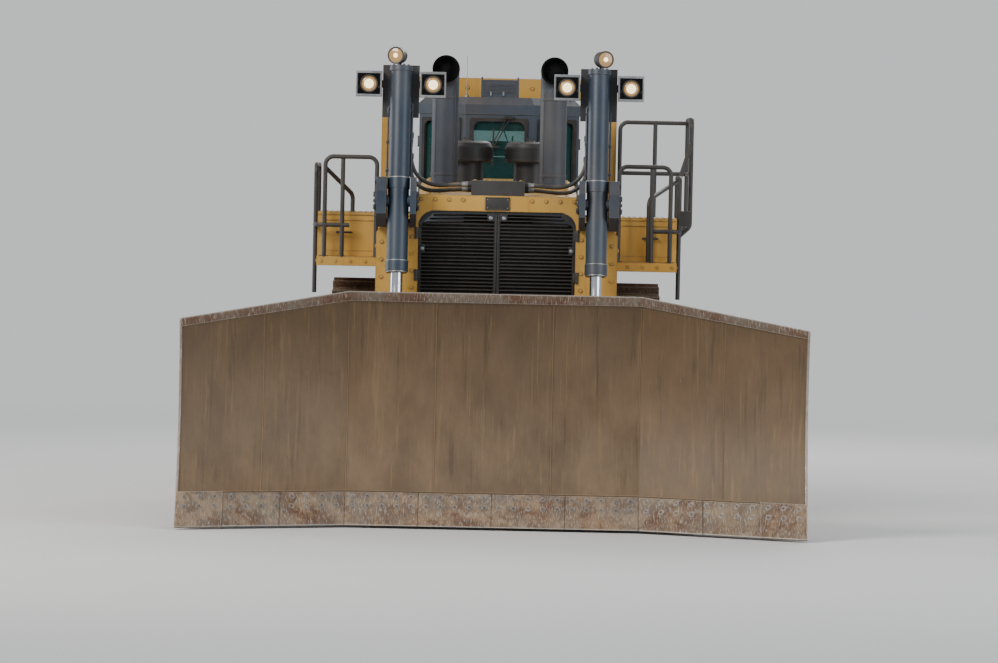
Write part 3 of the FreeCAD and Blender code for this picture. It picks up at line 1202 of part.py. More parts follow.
tube = s.railRound
postAhead = stepFront - 40
boxSide = s.deckFront - 40
doorRailFront, doorRailBack = s.boxBack - 80, s.deckBack + 40
beside, edge, past = s.deckOut + tube, s.deckOut - 60, s.doorRailOut
sideFoot, boxFoot = s.floorHigh - 300, s.floorHigh + 20
doorRailKink, doorRailBow = deckTop + 160, deckTop + 380
doorRailTop, doorRailCross = s.doorRailHigh, s.doorRailHigh - 1.5 * tube
ropsSide = s.ropsHalf + 40
leftPost, rightPost = s.deckOut - 283, 270 - s.deckOut
slopeLeft, slopeRight = s.deckOut - 310, 370 - s.deckOut
slopeFoot, slopeBack = s.deckFront + 60, s.deckFront - 250
RAILS = {
    # corners of each tube as x, ahead, high
    "left": (
        ((s.hoopIn, postAhead, deckTop), (s.hoopIn, postAhead, s.hoopLeft),
         (s.hoopOut, postAhead, s.hoopLeft), (s.hoopOut, postAhead, deckTop)),
        ((leftPost, postAhead, deckTop), (leftPost, postAhead, s.hoopLeft - tube)),
        ((beside, boxSide, sideFoot), (beside, boxSide, s.sideRail), (beside, s.boxBack + 50, s.sideRail),
         (beside, s.boxBack + 50, boxFoot)),
        ((beside, boxSide, s.stepRail), (beside, postAhead, s.stepRail),
         (s.deckOut - 260, postAhead, s.stepRail)),
        ((past, doorRailFront, s.doorRailHigh - 270), (s.deckOut + 40, slopeBack - 550, s.sideRail - 20),
         (slopeLeft, slopeFoot, s.boxHigh + 200), (slopeLeft, slopeFoot, deckTop)),
        ((edge, doorRailFront, deckTop), (edge, doorRailFront, doorRailKink),
         (past, doorRailFront, doorRailBow), (past, doorRailFront, doorRailTop),
         (past, doorRailBack, doorRailTop), (past, doorRailBack, doorRailBow),
         (edge, doorRailBack, doorRailKink), (edge, doorRailBack, deckTop)),
        ((past, doorRailFront, s.doorRailMid), (past, doorRailBack, s.doorRailMid)),
        ((past, doorRailBack, doorRailCross), (ropsSide, doorRailBack, doorRailCross),
         (ropsSide, doorRailBack, deckTop)),
        ((past, doorRailBack, s.doorRailMid), (ropsSide, doorRailBack, s.doorRailMid)),
        ((s.deckOut - 183, doorRailBack, doorRailCross), (s.deckOut - 183, doorRailBack, deckTop)),
    ),
    "right": (
        ((-s.hoopIn, postAhead, deckTop), (-s.hoopIn, postAhead, s.hoopRight),
         (-s.hoopOut, postAhead, s.hoopRight), (-s.hoopOut, postAhead, deckTop)),
        ((rightPost, postAhead, deckTop), (rightPost, postAhead, s.hoopRight - tube)),
        ((-beside, boxSide, sideFoot), (-beside, boxSide, s.sideRailRight),
         (-beside, s.boxBack + 50, s.sideRailRight), (-beside, s.boxBack + 50, boxFoot)),
        ((-beside, boxSide, s.stepRail), (-beside, postAhead, s.stepRail),
         (350 - s.deckOut, postAhead, s.stepRail)),
        ((-s.hoopOut, postAhead - 20, s.hoopRight - 120), (slopeRight, slopeBack, s.boxHigh + 190),
         (slopeRight, slopeBack, s.boxHigh)),
    ),
}
for side, tubes in RAILS.items():
    solids = [made(f"rail_{side}_{i}", tube_solid(points, float(tube))) for i, points in enumerate(tubes)]
    if side == "left":
        # A small marker box on the outer post
        solids.append(block("marker_box", (beside, past - 20), (boxSide - 20, boxSide + 30),
                            (s.stepRail + 55, s.stepRail + 225)))
    node("guard_rails_" + side, join("guard_rails_" + side, *solids))

# Hydraulic hoses from the cover to the risers
for name, route in HOSES.items():
    hose = made("hose_" + name, tube_solid(route, float(s.hoseRound), None))
    for part, piece in (("left", hose), ("right", other_side(hose))):
        node(f"hose_{part}_{name}", piece)

# Push arms
pivot = (s.armPivotAhead, s.armPivotHigh)
tip = (s.bladePinAhead, s.bladePinHigh)
half = s.armTall / 2
arm = side_plate("arm_beam", (s.armIn, s.armOut),
                 [(pivot[0] - 190, pivot[1] - 80), (pivot[0] - 80, pivot[1] - 190),
                  (pivot[0] + 150, pivot[1] - 190),
                  (pivot[0] + 500, pivot[1] - half - 20), (tip[0] - 300, tip[1] - half),
                  (tip[0] + 60, tip[1] - 150), (tip[0] + 150, tip[1] - 60), (tip[0] + 150, tip[1] + 60),
                  (tip[0] + 60, tip[1] + 150), (tip[0] - 300, tip[1] + half),
                  (pivot[0] + 500, pivot[1] + half),
                  (pivot[0] + 150, pivot[1] + 190), (pivot[0] - 80, pivot[1] + 190),
                  (pivot[0] - 190, pivot[1] + 80)])
holes = [rod("arm_hole_rear", (s.armIn - 10, *pivot), (s.armOut + 10, *pivot), s.armPin + 0.05),
         rod("arm_hole_front", (s.armIn - 10, *tip), (s.armOut + 10, *tip), s.bladePin + 0.05)]
tiltHalf = 70
tilt_lugs = []
for side, start in (("in", s.tiltSide - tiltHalf - s.pinGap - s.pinPlate),
                    ("out", s.tiltSide + tiltHalf + s.pinGap)):
    tilt_lugs.append(side_plate("tilt_lug_" + side, (start, start + s.pinPlate),
                           [(s.tiltAhead - 260, 820), (s.tiltAhead + 300, 800),
                            (s.tiltAhead + 90, s.tiltHigh - 20),
                            (s.tiltAhead + 50, s.tiltHigh + 90), (s.tiltAhead - 50, s.tiltHigh + 90),
                            (s.tiltAhead - 90, s.tiltHigh - 20)]))
tail_pin = rod("tilt_tail_pin", (s.tiltSide - 140, s.tiltAhead, s.tiltHigh),
               (s.tiltSide + 140, s.tiltAhead, s.tiltHigh), 50)
web = block("tilt_web", (s.tiltSide - tiltHalf - s.pinGap - s.pinPlate,
                         s.tiltSide + tiltHalf + s.pinGap + s.pinPlate),
            (s.tiltAhead - 240, s.tiltAhead + 260), (780, 840))
pair("push_arm", join("push_arm", less("arm_bored", arm, group("arm_holes", *holes)), *tilt_lugs,
                      tail_pin, web))

# Blade: one section, lofted along the middle and the two forward-swept wings


def arc_through(a, b, c):
    """Centre and radius of the circle through three (ahead, high) points."""
    (x1, y1), (x2, y2), (x3, y3) = a, b, c
    d = 2 * (x1 * (y2 - y3) + x2 * (y3 - y1) + x3 * (y1 - y2))
    ux = ((x1 * x1 + y1 * y1) * (y2 - y3) + (x2 * x2 + y2 * y2) * (y3 - y1) + (x3 * x3 + y3 * y3) * (y1 - y2)) / d
    uy = ((x1 * x1 + y1 * y1) * (x3 - x2) + (x2 * x2 + y2 * y2) * (x1 - x3) + (x3 * x3 + y3 * y3) * (x2 - x1)) / d
    return ux, uy, math.dist((ux, uy), a)


edge_len = root(s.edgeRun * s.edgeRun + s.edgeRise * s.edgeRise)
base_high = s.edgeHigh
edge_tip = (s.edgeReach, base_high)
edge_top = (s.edgeReach - s.edgeRun, base_high + s.edgeRise)
inward = (s.edgeThick * s.edgeRise / edge_len, s.edgeThick * s.edgeRun / edge_len)
edge_back = (edge_top[0] - inward[0], edge_top[1] - inward[1])
slant = s.edgeRun / s.edgeRise
edge_foot = (edge_back[0] + (edge_back[1] - base_high) * slant, base_high)


face_start = (float(edge_top[0]), float(edge_top[1]))
face_belly = (-float(s.bellyDepth), float(s.bellyHigh))
face_crest = (-float(s.crestDepth), float(s.bladeHigh + base_high))
face_u, face_z, face_round = arc_through(face_start, face_belly, face_crest)


def on_face(high, behind=0.0):
    """The mouldboard's face, or a place so far behind it, at a height."""
    grown = face_round + behind
    return face_u - math.sqrt(grown * grown - (high - face_z) ** 2), high


def sweep(x):
    """Share of a wing's sweep at one x: none on the straight middle, all at the tip."""
    return max(0.0, abs(x) - float(s.bladeStraight)) / float(s.bladeHalf - s.bladeStraight)


def blade_point(x, point):
    """A point of the blade's section, carried to its x."""
    return vector((x, float(s.bladeFace + s.wingForward * sweep(x)) + point[0], point[1]))


def blade_section(x):
    """Closed outline of the blade's body at one x."""
    thick = float(s.skinThick)
    top = face_crest[1] - sweep(x) * float(s.tipDrop)
    face_top = on_face(top)
    beam_foot = top - float(s.beamTall)
    box_top = face_belly[1]
    back = -float(s.boxBehind)
    floor_high = float(base_high) + 150
    foot = (float(edge_back[0]) + (float(edge_back[1]) - floor_high) * float(slant), floor_high)
    front_arc = [face_start, on_face((face_start[1] + top) / 2), face_top]
    back_arc = [on_face(beam_foot, thick), on_face((beam_foot + box_top) / 2, thick),
                on_face(box_top, thick)]
    beam_back = face_top[0] - float(s.beamDeep)
    corners = [face_top, (beam_back, top), (beam_back, beam_foot + 60), back_arc[0]]
    lower = [back_arc[2], (back, box_top - 80), (back, floor_high + 120), (back + 150, floor_high), foot,
             (float(edge_back[0]), float(edge_back[1])), face_start]
    edges = [Part.Arc(*[blade_point(x, p) for p in front_arc]).toShape()]
    edges += [Part.makeLine(blade_point(x, a), blade_point(x, b)) for a, b in zip(corners, corners[1:])]
    edges.append(Part.Arc(*[blade_point(x, p) for p in back_arc]).toShape())
    edges += [Part.makeLine(blade_point(x, a), blade_point(x, b)) for a, b in zip(lower, lower[1:])]
    return Part.Wire(edges)


def blade_rib(x):
    """Stiffener between the top beam and the lower box, behind the mouldboard."""
    bite = float(s.skinThick) / 2
    top = face_crest[1] - sweep(x) * float(s.tipDrop)
    high, low = top - float(s.beamTall) + 100, face_belly[1] - 100
    front_arc = [on_face(low, bite), on_face((low + high) / 2, bite), on_face(high, bite)]
    beam_back = on_face(top)[0] - float(s.beamDeep) + 15
    behind = [front_arc[2], (beam_back, high), (30 - float(s.boxBehind), low), front_arc[0]]
    edges = [Part.Arc(*[blade_point(x, p) for p in front_arc]).toShape()]
    edges += [Part.makeLine(blade_point(x, a), blade_point(x, b)) for a, b in zip(behind, behind[1:])]
    return Part.Face(Part.Wire(edges)).extrude(Vector(float(s.ribThick), 0, 0))


def across_blade(section):
    """Straight-sided loft of a section along the blade."""
    half, straight = float(s.bladeHalf), float(s.bladeStraight)
    return Part.makeLoft([section(x) for x in (-half, -straight, straight, half)], True, True)


def edge_section(x):
    """Section of the cutting edge at one x."""
    corners = [blade_point(x, (float(a), float(b))) for a, b in (edge_tip, edge_top, edge_back, edge_foot)]
    return Part.makePolygon(corners + corners[:1])


blade_body = made("blade_shell", across_blade(blade_section))
node("cutting_edge", made("cutting_edge", across_blade(edge_section)))


def swept_ahead(x):
    """How far the wings stand ahead at an x beyond the straight middle."""
    return s.wingForward * (x - s.bladeStraight) / (s.bladeHalf - s.bladeStraight)


boxBack = s.bladeFace - s.boxBehind
lugs = []
eye = (s.liftEyeAhead, s.liftEyeHigh)
for side, start in (("in", s.liftSide - 75 - s.pinGap - s.pinPlate), ("out", s.liftSide + 75 + s.pinGap)):
    lugs.append(side_plate("lift_lug_" + side, (start, start + s.pinPlate),
                           [(boxBack + 20, eye[1] - 200), (eye[0] - 20, eye[1] - 130),
                            (eye[0] - 120, eye[1] - 60),
                            (eye[0] - 120, eye[1] + 60), (eye[0] - 20, eye[1] + 130),
                            (boxBack + 20, eye[1] + 130)]))
lugs.append(rod("lift_cap_out", (s.liftSide + 75 + s.pinGap + s.pinPlate, *eye),
                (s.liftSide + 75 + s.pinGap + s.pinPlate + 20, *eye), 75))
lugs.append(rod("lift_cap_in", (s.liftSide - 75 - s.pinGap - s.pinPlate - 20, *eye),
                (s.liftSide - 75 - s.pinGap - s.pinPlate, *eye), 75))
pin = tip
for side, start in (("in", s.armIn - s.pinGap - s.pinPlate), ("out", s.armOut + s.pinGap)):
    root_ahead = boxBack + swept_ahead(start) + 60
    lugs.append(side_plate("arm_lug_" + side, (start, start + s.pinPlate),
                           [(root_ahead, 330), (pin[0] - 40, pin[1] - 140), (pin[0] - 130, pin[1] - 60),
                            (pin[0] - 130, pin[1] + 60), (pin[0] - 40, pin[1] + 140), (root_ahead, 900)]))
lugs.append(rod("blade_pin", (s.armIn - s.pinGap - s.pinPlate, *pin),
                (s.armOut + s.pinGap + s.pinPlate, *pin),
                s.bladePin))
skin_back = s.bladeFace - s.bellyDepth - s.skinThick
for side, start in (("in", s.tiltSide - 55 - s.pinGap - s.pinPlate), ("out", s.tiltSide + 55 + s.pinGap)):
    root_ahead = skin_back + swept_ahead(start) + 30
    upper = (s.tiltEyeAhead, s.tiltEyeHigh)
    lugs.append(side_plate("tilt_eye_lug_" + side, (start, start + s.pinPlate),
                           [(root_ahead, upper[1] - 200), (upper[0] - 30, upper[1] - 90),
                            (upper[0] - 90, upper[1] - 40),
                            (upper[0] - 90, upper[1] + 40), (upper[0] - 30, upper[1] + 90),
                            (root_ahead, upper[1] + 160)]))
RIBS = (300, 800, 1330, 2550, s.bladeHalf - s.ribThick)
lugs += [made(f"blade_rib_{i}", blade_rib(float(x))) for i, x in enumerate(RIBS)]
blade_parts = [blade_body] + lugs + [other_side(piece) for piece in lugs]
node("blade_body", join("blade_body", *blade_parts))

# Cylinders


def along(start, end, way):
    """The place at a distance from start towards end."""
    far = span(start, end)
    return tuple(a + (b - a) * way / far for a, b in zip(start, end))


trunnion = (s.liftSide, s.liftAhead, s.liftHigh)
eye = (s.liftSide, s.liftEyeAhead, s.liftEyeHigh)
away = span(trunnion, eye)
tube_piece = rod("lift_tube", along(trunnion, eye, -s.barrelAbove), along(trunnion, eye, s.barrelBelow),
                 s.barrelRound)
collar = rod("lift_collar", along(trunnion, eye, -240), along(trunnion, eye, -130), s.barrelRound + 8)
gland = rod("lift_gland", along(trunnion, eye, s.barrelBelow - 100), along(trunnion, eye, s.barrelBelow),
            s.barrelRound + 8)
head = rod("lift_head", along(trunnion, eye, -s.barrelAbove), along(trunnion, eye, 50 - s.barrelAbove),
           s.barrelRound + 12)
journal = rod("lift_journal", (s.yokeIn, *trunnion[1:]), (s.yokeOut, *trunnion[1:]), s.liftTrunnion)
bore = rod("lift_bore", along(trunnion, eye, 50 - s.barrelAbove),
           along(trunnion, eye, s.barrelBelow + 10), s.liftRod + 0.1)
barrel_left = less("lift_barrel", join("lift_barrel_full", tube_piece, collar, gland, head, journal), bore)
node("lift_barrels", both("lift_barrels", barrel_left))
shank = rod("lift_shaft", eye, along(trunnion, eye, away - s.liftRodLong), s.liftRod)
ring = rod("lift_eye", (s.liftSide - 75, *eye[1:]), (s.liftSide + 75, *eye[1:]), s.liftEyeRound)
node("lift_rods", both("lift_rods", join("lift_rod", shank, ring)))

# Work lamps on brackets at the top of the lift barrels
lamp_at = along(trunnion, eye, (s.liftHigh - s.lampHigh) * away / (s.liftHigh - s.liftEyeHigh))
plate_back = lamp_at[1] - s.barrelRound - s.lampPlateThick
lean = (s.liftEyeAhead - s.liftAhead) / (s.liftHigh - s.liftEyeHigh)
barrelBack = s.barrelRound + 12 + s.runGap


def behind_barrel(high, back):
    """A place so far behind the leaning barrel's axis, as ahead and high."""
    return lamp_at[1] - (high - s.lampHigh) * lean - back * (away / (s.liftHigh - s.liftEyeHigh)), high


plate_low, plate_high = s.lampHigh - s.lampPlateLow, s.lampHigh + s.lampPlateHigh
lamp_parts = [side_plate("lamp_plate", (s.liftSide - s.lampPlateHalf, s.liftSide + s.lampPlateHalf),
                         [behind_barrel(plate_low, barrelBack), behind_barrel(plate_high, barrelBack),
                          behind_barrel(plate_high, barrelBack + s.lampPlateThick),
                          behind_barrel(plate_low, barrelBack + s.lampPlateThick)])]
for side, sign in (("in", -1), ("out", 1)):
    centre = s.liftSide + s.lampOut * sign
    box = block("lamp_box_" + side, (centre - s.lampBox / 2, centre + s.lampBox / 2),
                (plate_back - 30, plate_back + 150),
                (s.lampHigh - s.lampBox / 2, s.lampHigh + s.lampBox / 2))
    room = block("lamp_room_" + side, (centre - s.lampBox / 2 + 20, centre + s.lampBox / 2 - 20),
                 (plate_back + 20, plate_back + 160),
                 (s.lampHigh - s.lampBox / 2 + 20, s.lampHigh + s.lampBox / 2 - 20))
    lens = rod("lamp_lens_" + side, (centre, plate_back, s.lampHigh),
               (centre, plate_back + 120, s.lampHigh), 82)
    lamp_parts.append(join("lamp_" + side, less("lamp_case_" + side, box, room), lens))
arm_piece = block("lamp_arm", (s.liftSide - s.lampOut, s.liftSide + s.lampOut),
                  (plate_back - 30, plate_back),
                  (s.lampHigh - 40, s.lampHigh + 40))
topLampHigh = s.lampHigh + s.topLampOver
top_lamp = rod("top_lamp", (s.liftSide + 20, plate_back, topLampHigh),
               (s.liftSide + 60, plate_back + 130, topLampHigh), 85)
top_stalk = block("top_stalk", (s.liftSide, s.liftSide + 40), (plate_back - 70, plate_back - 25),
                  (plate_high - 100, topLampHigh + 20))
top_foot = block("top_foot", (s.liftSide, s.liftSide + 40), (plate_back - 70, plate_back + 20),
                 (topLampHigh - 20, topLampHigh + 20))
node("cylinder_lamps", both("cylinder_lamps", join("lamps_left", *lamp_parts, arm_piece, top_lamp,
                                                   top_stalk,
                                            top_foot)))


def cylinder(name, tail, eye, barrel, shaft, hole):
    """Barrel with a bored tail ring, and rod with an eye.

    barrel holds radius, length and half width of its ring, shaft holds
    radius, length and half width of its eye, and hole is the tail pin.
    """
    side = tail[0]
    away = span(tail, eye)
    rounds = [rod(name + "_tube", along(tail, eye, 130), along(tail, eye, barrel[1]), barrel[0]),
              rod(name + "_neck", along(tail, eye, 60), along(tail, eye, 140), barrel[0] * 0.6),
              rod(name + "_ring", (side - barrel[2], *tail[1:]), (side + barrel[2], *tail[1:]), hole + 35)]
    gaps = [rod(name + "_bore", along(tail, eye, away - shaft[1] - shaft[3]),
                along(tail, eye, barrel[1] + 10), shaft[0] + 0.1),
            rod(name + "_hole", (side - 120, *tail[1:]), (side + 120, *tail[1:]), hole + 0.05)]
    outer_half = less(name + "_barrel", join(name + "_full", *rounds), group(name + "_gaps", *gaps))
    inner_half = join(name + "_rod",
                      rod(name + "_shaft", along(tail, eye, away - shaft[1]), eye, shaft[0]),
                      rod(name + "_eye", (side - shaft[2], *eye[1:]), (side + shaft[2], *eye[1:]),
                          hole + 25))
    return outer_half, inner_half


tail = (s.tiltSide, s.tiltAhead, s.tiltHigh)
eye = (s.tiltSide, s.tiltEyeAhead, s.tiltEyeHigh)
barrel_part, rod_part = cylinder("tilt", tail, eye, (s.tiltRound, s.tiltBarrel, tiltHalf),
                                 (s.tiltRod, 1180, 55, 130), 50)
node("tilt_barrels", both("tilt_barrels", barrel_part))
node("tilt_rods", both("tilt_rods", rod_part))

# Ripper: lower arms, upper cylinders, beam with its shank, lift cylinders
low_back = (beamAhead, s.lowPinHigh - s.linkFall)
high_back = (beamAhead, s.highPinHigh - s.linkFall)
near = (s.rearPinAhead, s.lowPinHigh)
tall = s.linkHigh / 2
arm = side_plate("ripper_arm", (s.linkSide - s.linkThick / 2, s.linkSide + s.linkThick / 2),
                 [(near[0] + 50, near[1] + 95), (near[0] + 100, near[1] + 40),
                  (near[0] + 100, near[1] - 40),
                  (near[0] + 50, near[1] - 95), (near[0] - 400, near[1] - tall - 10),
                  (low_back[0] + 300, low_back[1] - tall), (low_back[0] - 40, low_back[1] - 90),
                  (low_back[0] - 90, low_back[1] - 40), (low_back[0] - 90, low_back[1] + 40),
                  (low_back[0] - 40, low_back[1] + 90), (low_back[0] + 300, low_back[1] + tall),
                  (near[0] - 400, near[1] + tall - 10)])
arm_holes = [rod("ripper_hole_near", (s.linkSide - 100, *near), (s.linkSide + 100, *near),
                 s.ripperPin + 0.05),
             rod("ripper_hole_far", (s.linkSide - 100, *low_back), (s.linkSide + 100, *low_back),
                 s.ripperPin + 0.05)]
hoist_eye = (s.hoistEyeAhead, s.hoistEyeHigh)
# A cross tube ties the arms ahead of the eyes, clear of the rods as they swing
crossRound = 60
crossAt = (s.hoistEyeAhead + 370, s.hoistEyeHigh - 20)
cross = rod("ripper_cross", (-s.linkSide, *crossAt), (s.linkSide, *crossAt), crossRound)
ears = []
for side, start in (("in", s.hoistSide - 60 - s.pinGap - s.pinPlate), ("out", s.hoistSide + 60 + s.pinGap)):
    ears.append(side_plate("hoist_ear_" + side, (start, start + s.pinPlate),
                           [(crossAt[0] + 20, crossAt[1] - crossRound + 8), (crossAt[0] + 45, crossAt[1]),
                            (crossAt[0] + 20, crossAt[1] + crossRound - 8),
                            (hoist_eye[0] + 40, hoist_eye[1] + 80),
                            (hoist_eye[0] - 40, hoist_eye[1] + 80), (hoist_eye[0] - 85, hoist_eye[1] + 35),
                            (hoist_eye[0] - 85, hoist_eye[1] - 35), (hoist_eye[0] - 40, hoist_eye[1] - 80),
                            (hoist_eye[0] + 40, hoist_eye[1] - 80)]))
arm_left = less("ripper_arm_left", arm, group("ripper_arm_holes", *arm_holes))
ripper_arms = [arm_left, other_side(arm_left), cross, *ears, *[other_side(piece) for piece in ears]]
node("ripper_arms", join("ripper_arms", *ripper_arms))

# The beam stands behind its pins, and holds the shank in a slot
beam_front = beamAhead - 110
beam_rear = beamAhead + beamInset - s.ripperDeep
beam_low = s.lowPinHigh - s.linkFall - 60
beam_top = beam_low + s.ripperTall
body = side_plate("ripper_block", (-s.ripperHalf, s.ripperHalf),
                  [(beam_front, beam_low + 60), (beam_front - 60, beam_low), (beam_rear, beam_low),
                   (beam_rear, beam_top - 80), (beam_rear + 80, beam_top), (beam_front - 40, beam_top),
                   (beam_front, beam_top - 40)])
shank_back = beam_rear + 80
beam_ears = []
for name, side, half, place in (("low", s.linkSide, s.linkThick / 2, low_back),
                                ("high", s.topLinkSide, 60, high_back)):
    for which, start in (("in", side - half - s.pinGap - s.pinPlate), ("out", side + half + s.pinGap)):
        beam_ears.append(side_plate(f"beam_ear_{name}_{which}", (start, start + s.pinPlate),
                                    [(beam_front - 20, place[1] - 55), (place[0] - 40, place[1] - 90),
                                     (place[0] + 40, place[1] - 90), (place[0] + 90, place[1] - 40),
                                     (place[0] + 90, place[1] + 40), (place[0] + 40, place[1] + 90),
                                     (beam_front - 20, place[1] + 100)]))
    beam_ears.append(rod(f"beam_pin_{name}", (side - half - 50, *place), (side + half + 50, *place),
                         s.ripperPin))
beam_whole = join("ripper_beam_full", body, *beam_ears, *[other_side(piece) for piece in beam_ears])
shankFront = shank_back + s.shankDeep - 60
slot = block("shank_slot", (-s.shankThick / 2, s.shankThick / 2), (shank_back, shankFront),
             (beam_low - 10, beam_top + 10))
node("ripper_beam", less("ripper_beam", beam_whole, slot))
low = s.shankLow
ripper_tip = side_plate("ripper_tip", (-s.shankThick / 2 - 22, s.shankThick / 2 + 22),
                        [(shankFront + 420, low), (shankFront + 130, low + 26),
                         (shankFront + 90, low + 130),
                         (shankFront + 215, low + 215), (shankFront + 270, low + 175)])
shank_plate = side_plate("shank_plate", (-s.shankThick / 2, s.shankThick / 2),
                         [(shank_back, s.shankHigh), (shankFront, s.shankHigh), (shankFront, 900),
                          (shankFront + 22, 740), (shankFront + 75, 580), (shankFront + 155, 430),
                          (shankFront + 260, 290), (shankFront + 420, low), (shankFront + 120, low + 30),
                          (shank_back + 190, 270), (shank_back + 90, 420), (shank_back + 30, 600),
                          (shank_back + 5, 760), (shank_back, 900)])
node("ripper_shank", join("ripper_shank", shank_plate, ripper_tip))

tail = (s.topLinkSide, s.rearPinAhead, s.highPinHigh)
eye = (s.topLinkSide, *high_back)
barrel_part, rod_part = cylinder("top_link", tail, eye, (s.topLinkRound, 1150, 60), (50, 900, 60, 60),
                                 s.ripperPin)
hole = rod("top_link_eye_hole", (s.topLinkSide - 100, *high_back), (s.topLinkSide + 100, *high_back),
           s.ripperPin + 0.05)
node("ripper_top_links", both("ripper_top_links", join("top_link_set", barrel_part,
                                                       less("top_link_bored", rod_part, hole))))

tail = (s.hoistSide, s.hoistAhead, s.hoistHigh)
eye = (s.hoistSide, s.hoistEyeAhead, s.hoistEyeHigh)
barrel_part, rod_part = cylinder("hoist", tail, eye, (s.hoistRound, s.hoistBarrel, 60),
                                 (s.hoistRod, s.hoistRodLong, 60, 330), s.ripperPin)
node("hoist_barrels", both("hoist_barrels", barrel_part))
node("hoist_rods", both("hoist_rods", rod_part))

lamp = block("rear_lamp", (s.ropsHalf - 450, s.ropsHalf - 270), (s.ropsBack - 90, s.ropsBack),
                  (s.ropsHigh - 180, s.ropsHigh - 50))
node("rear_lamps", both("rear_lamps", lamp))


def check_and_write():
    """Stop at any failed object or shape, then write each sub-part."""
    doc.recompute()
    for piece in doc.Objects:
        if "Invalid" in piece.State or "Error" in piece.State:
            raise SystemExit(f"{piece.Name} failed: {piece.State}")
    os.makedirs("parts", exist_ok=True)
    for piece in NODES:
        if piece.Shape.isNull() or not piece.Shape.isValid():
            raise SystemExit(f"{piece.Label} has no valid shape")
    for piece in NODES:
        piece.Shape.exportStep(f"parts/{piece.Label}.step")
        bounds = piece.Shape.BoundBox
        print(f"{piece.Label:20s} {len(piece.Shape.Solids):3d} solids {len(piece.Shape.Faces):4d} faces",
              " ".join(f"{v:8.1f}" for v in (bounds.XMin, bounds.XMax, bounds.YMin, bounds.YMax,
                                             bounds.ZMin,
                                             bounds.ZMax)))


check_and_write()
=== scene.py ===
import json
import logging
import math
from dataclasses import dataclass
from enum import Enum
from typing import Any, Iterable, Sequence

import bmesh
import bpy
from mathutils import Euler, Matrix, Vector


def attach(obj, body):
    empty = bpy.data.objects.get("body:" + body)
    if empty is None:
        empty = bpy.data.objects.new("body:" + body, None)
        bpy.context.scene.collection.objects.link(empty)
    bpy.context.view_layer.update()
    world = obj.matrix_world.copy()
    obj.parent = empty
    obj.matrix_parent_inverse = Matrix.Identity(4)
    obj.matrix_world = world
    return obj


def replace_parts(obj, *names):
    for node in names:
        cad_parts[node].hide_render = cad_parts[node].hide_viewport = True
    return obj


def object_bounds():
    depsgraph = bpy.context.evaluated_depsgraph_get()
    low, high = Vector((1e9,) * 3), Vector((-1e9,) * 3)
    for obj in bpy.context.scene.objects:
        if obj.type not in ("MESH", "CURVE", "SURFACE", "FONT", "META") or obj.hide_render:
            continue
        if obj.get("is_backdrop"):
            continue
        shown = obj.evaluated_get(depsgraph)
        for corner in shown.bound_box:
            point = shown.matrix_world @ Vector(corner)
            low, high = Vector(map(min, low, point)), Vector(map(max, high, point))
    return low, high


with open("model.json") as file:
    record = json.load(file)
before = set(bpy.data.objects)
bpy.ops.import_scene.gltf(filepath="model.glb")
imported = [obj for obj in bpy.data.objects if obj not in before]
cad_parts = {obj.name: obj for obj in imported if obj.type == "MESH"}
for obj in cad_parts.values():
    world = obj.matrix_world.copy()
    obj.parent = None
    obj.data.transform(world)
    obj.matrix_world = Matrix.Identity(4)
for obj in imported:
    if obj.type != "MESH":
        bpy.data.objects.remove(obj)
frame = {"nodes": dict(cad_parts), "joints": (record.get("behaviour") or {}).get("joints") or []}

# Looks of a large crawler dozer. Metres. Forward is -Y, the machine's left is +X, up is +Z.

log = logging.getLogger("dozer")
Colour = tuple[float, float, float]
Place = tuple[float, float, float]
Flat = tuple[float, float]
Socket = bpy.types.NodeSocket

# Left and right of the machine, and the ways that its sides face
SIDES = (1, -1)
LEFT: Place = (1, 0, 0)
RIGHT: Place = (-1, 0, 0)
FRONT: Place = (0, -1, 0)
BACK: Place = (0, 1, 0)
UP: Place = (0, 0, 1)
DOWN: Place = (0, 0, -1)

# First place, last place, count and facing
BoltRow = tuple[Vector, Vector, int, Sequence[float]]
# Centre, facing, radius and count
BoltRing = tuple[Vector, Sequence[float], float, int]


class Body(str, Enum):
    """The rigid bodies that pieces ride on."""

    ROOT = "root"
    ARMS = "push_arms"
    BLADE = "blade"
    LIFT_BARRELS = "lift_barrels"
    TILT_BARRELS = "tilt_barrels"
    RIPPER = "ripper"
    TOP_LINKS = "ripper_top_links"
    HOIST_BARRELS = "hoist_barrels"


class Slot(str, Enum):
    """The record's material slots."""

    YELLOW = "yellow_paint"
    BLACK = "black_paint"
    CYLINDER = "cylinder_paint"
    STEEL = "bare_steel"
    TRACK = "track_steel"
    BLADE = "blade_steel"
    GLASS = "window_glass"
    FABRIC = "seat_fabric"
    PLASTIC = "cab_plastic"
    LAMP = "lamp_metal"
    EXHAUST = "exhaust_metal"
    HOSE = "hose_rubber"


class Axis(Enum):
    """Directions along which outlines are pushed."""

    ACROSS = 0
    ALONG = 1
    UP = 2


def joint_place(name: str) -> Vector:
    """The pivot of one joint of the frame, by the joint's name."""
    return Vector(next(j["pos_m"] for j in frame["joints"] if j["name"] == name))


# The push arm trunnion stands this far behind the middle of the tracks
TRUNNION_BEHIND = 0.35
TRACK_MIDDLE = joint_place("blade_lift").y - TRUNNION_BEHIND


def at(across: float, ahead: float, high: float) -> Vector:
    """A place given as across, ahead of the middle of the tracks, and high."""
    return Vector((across, TRACK_MIDDLE - ahead, high))


def circle(steps: int) -> list[float]:
    """The angles of a full turn in equal steps."""
    return [2 * math.pi * k / steps for k in range(steps)]


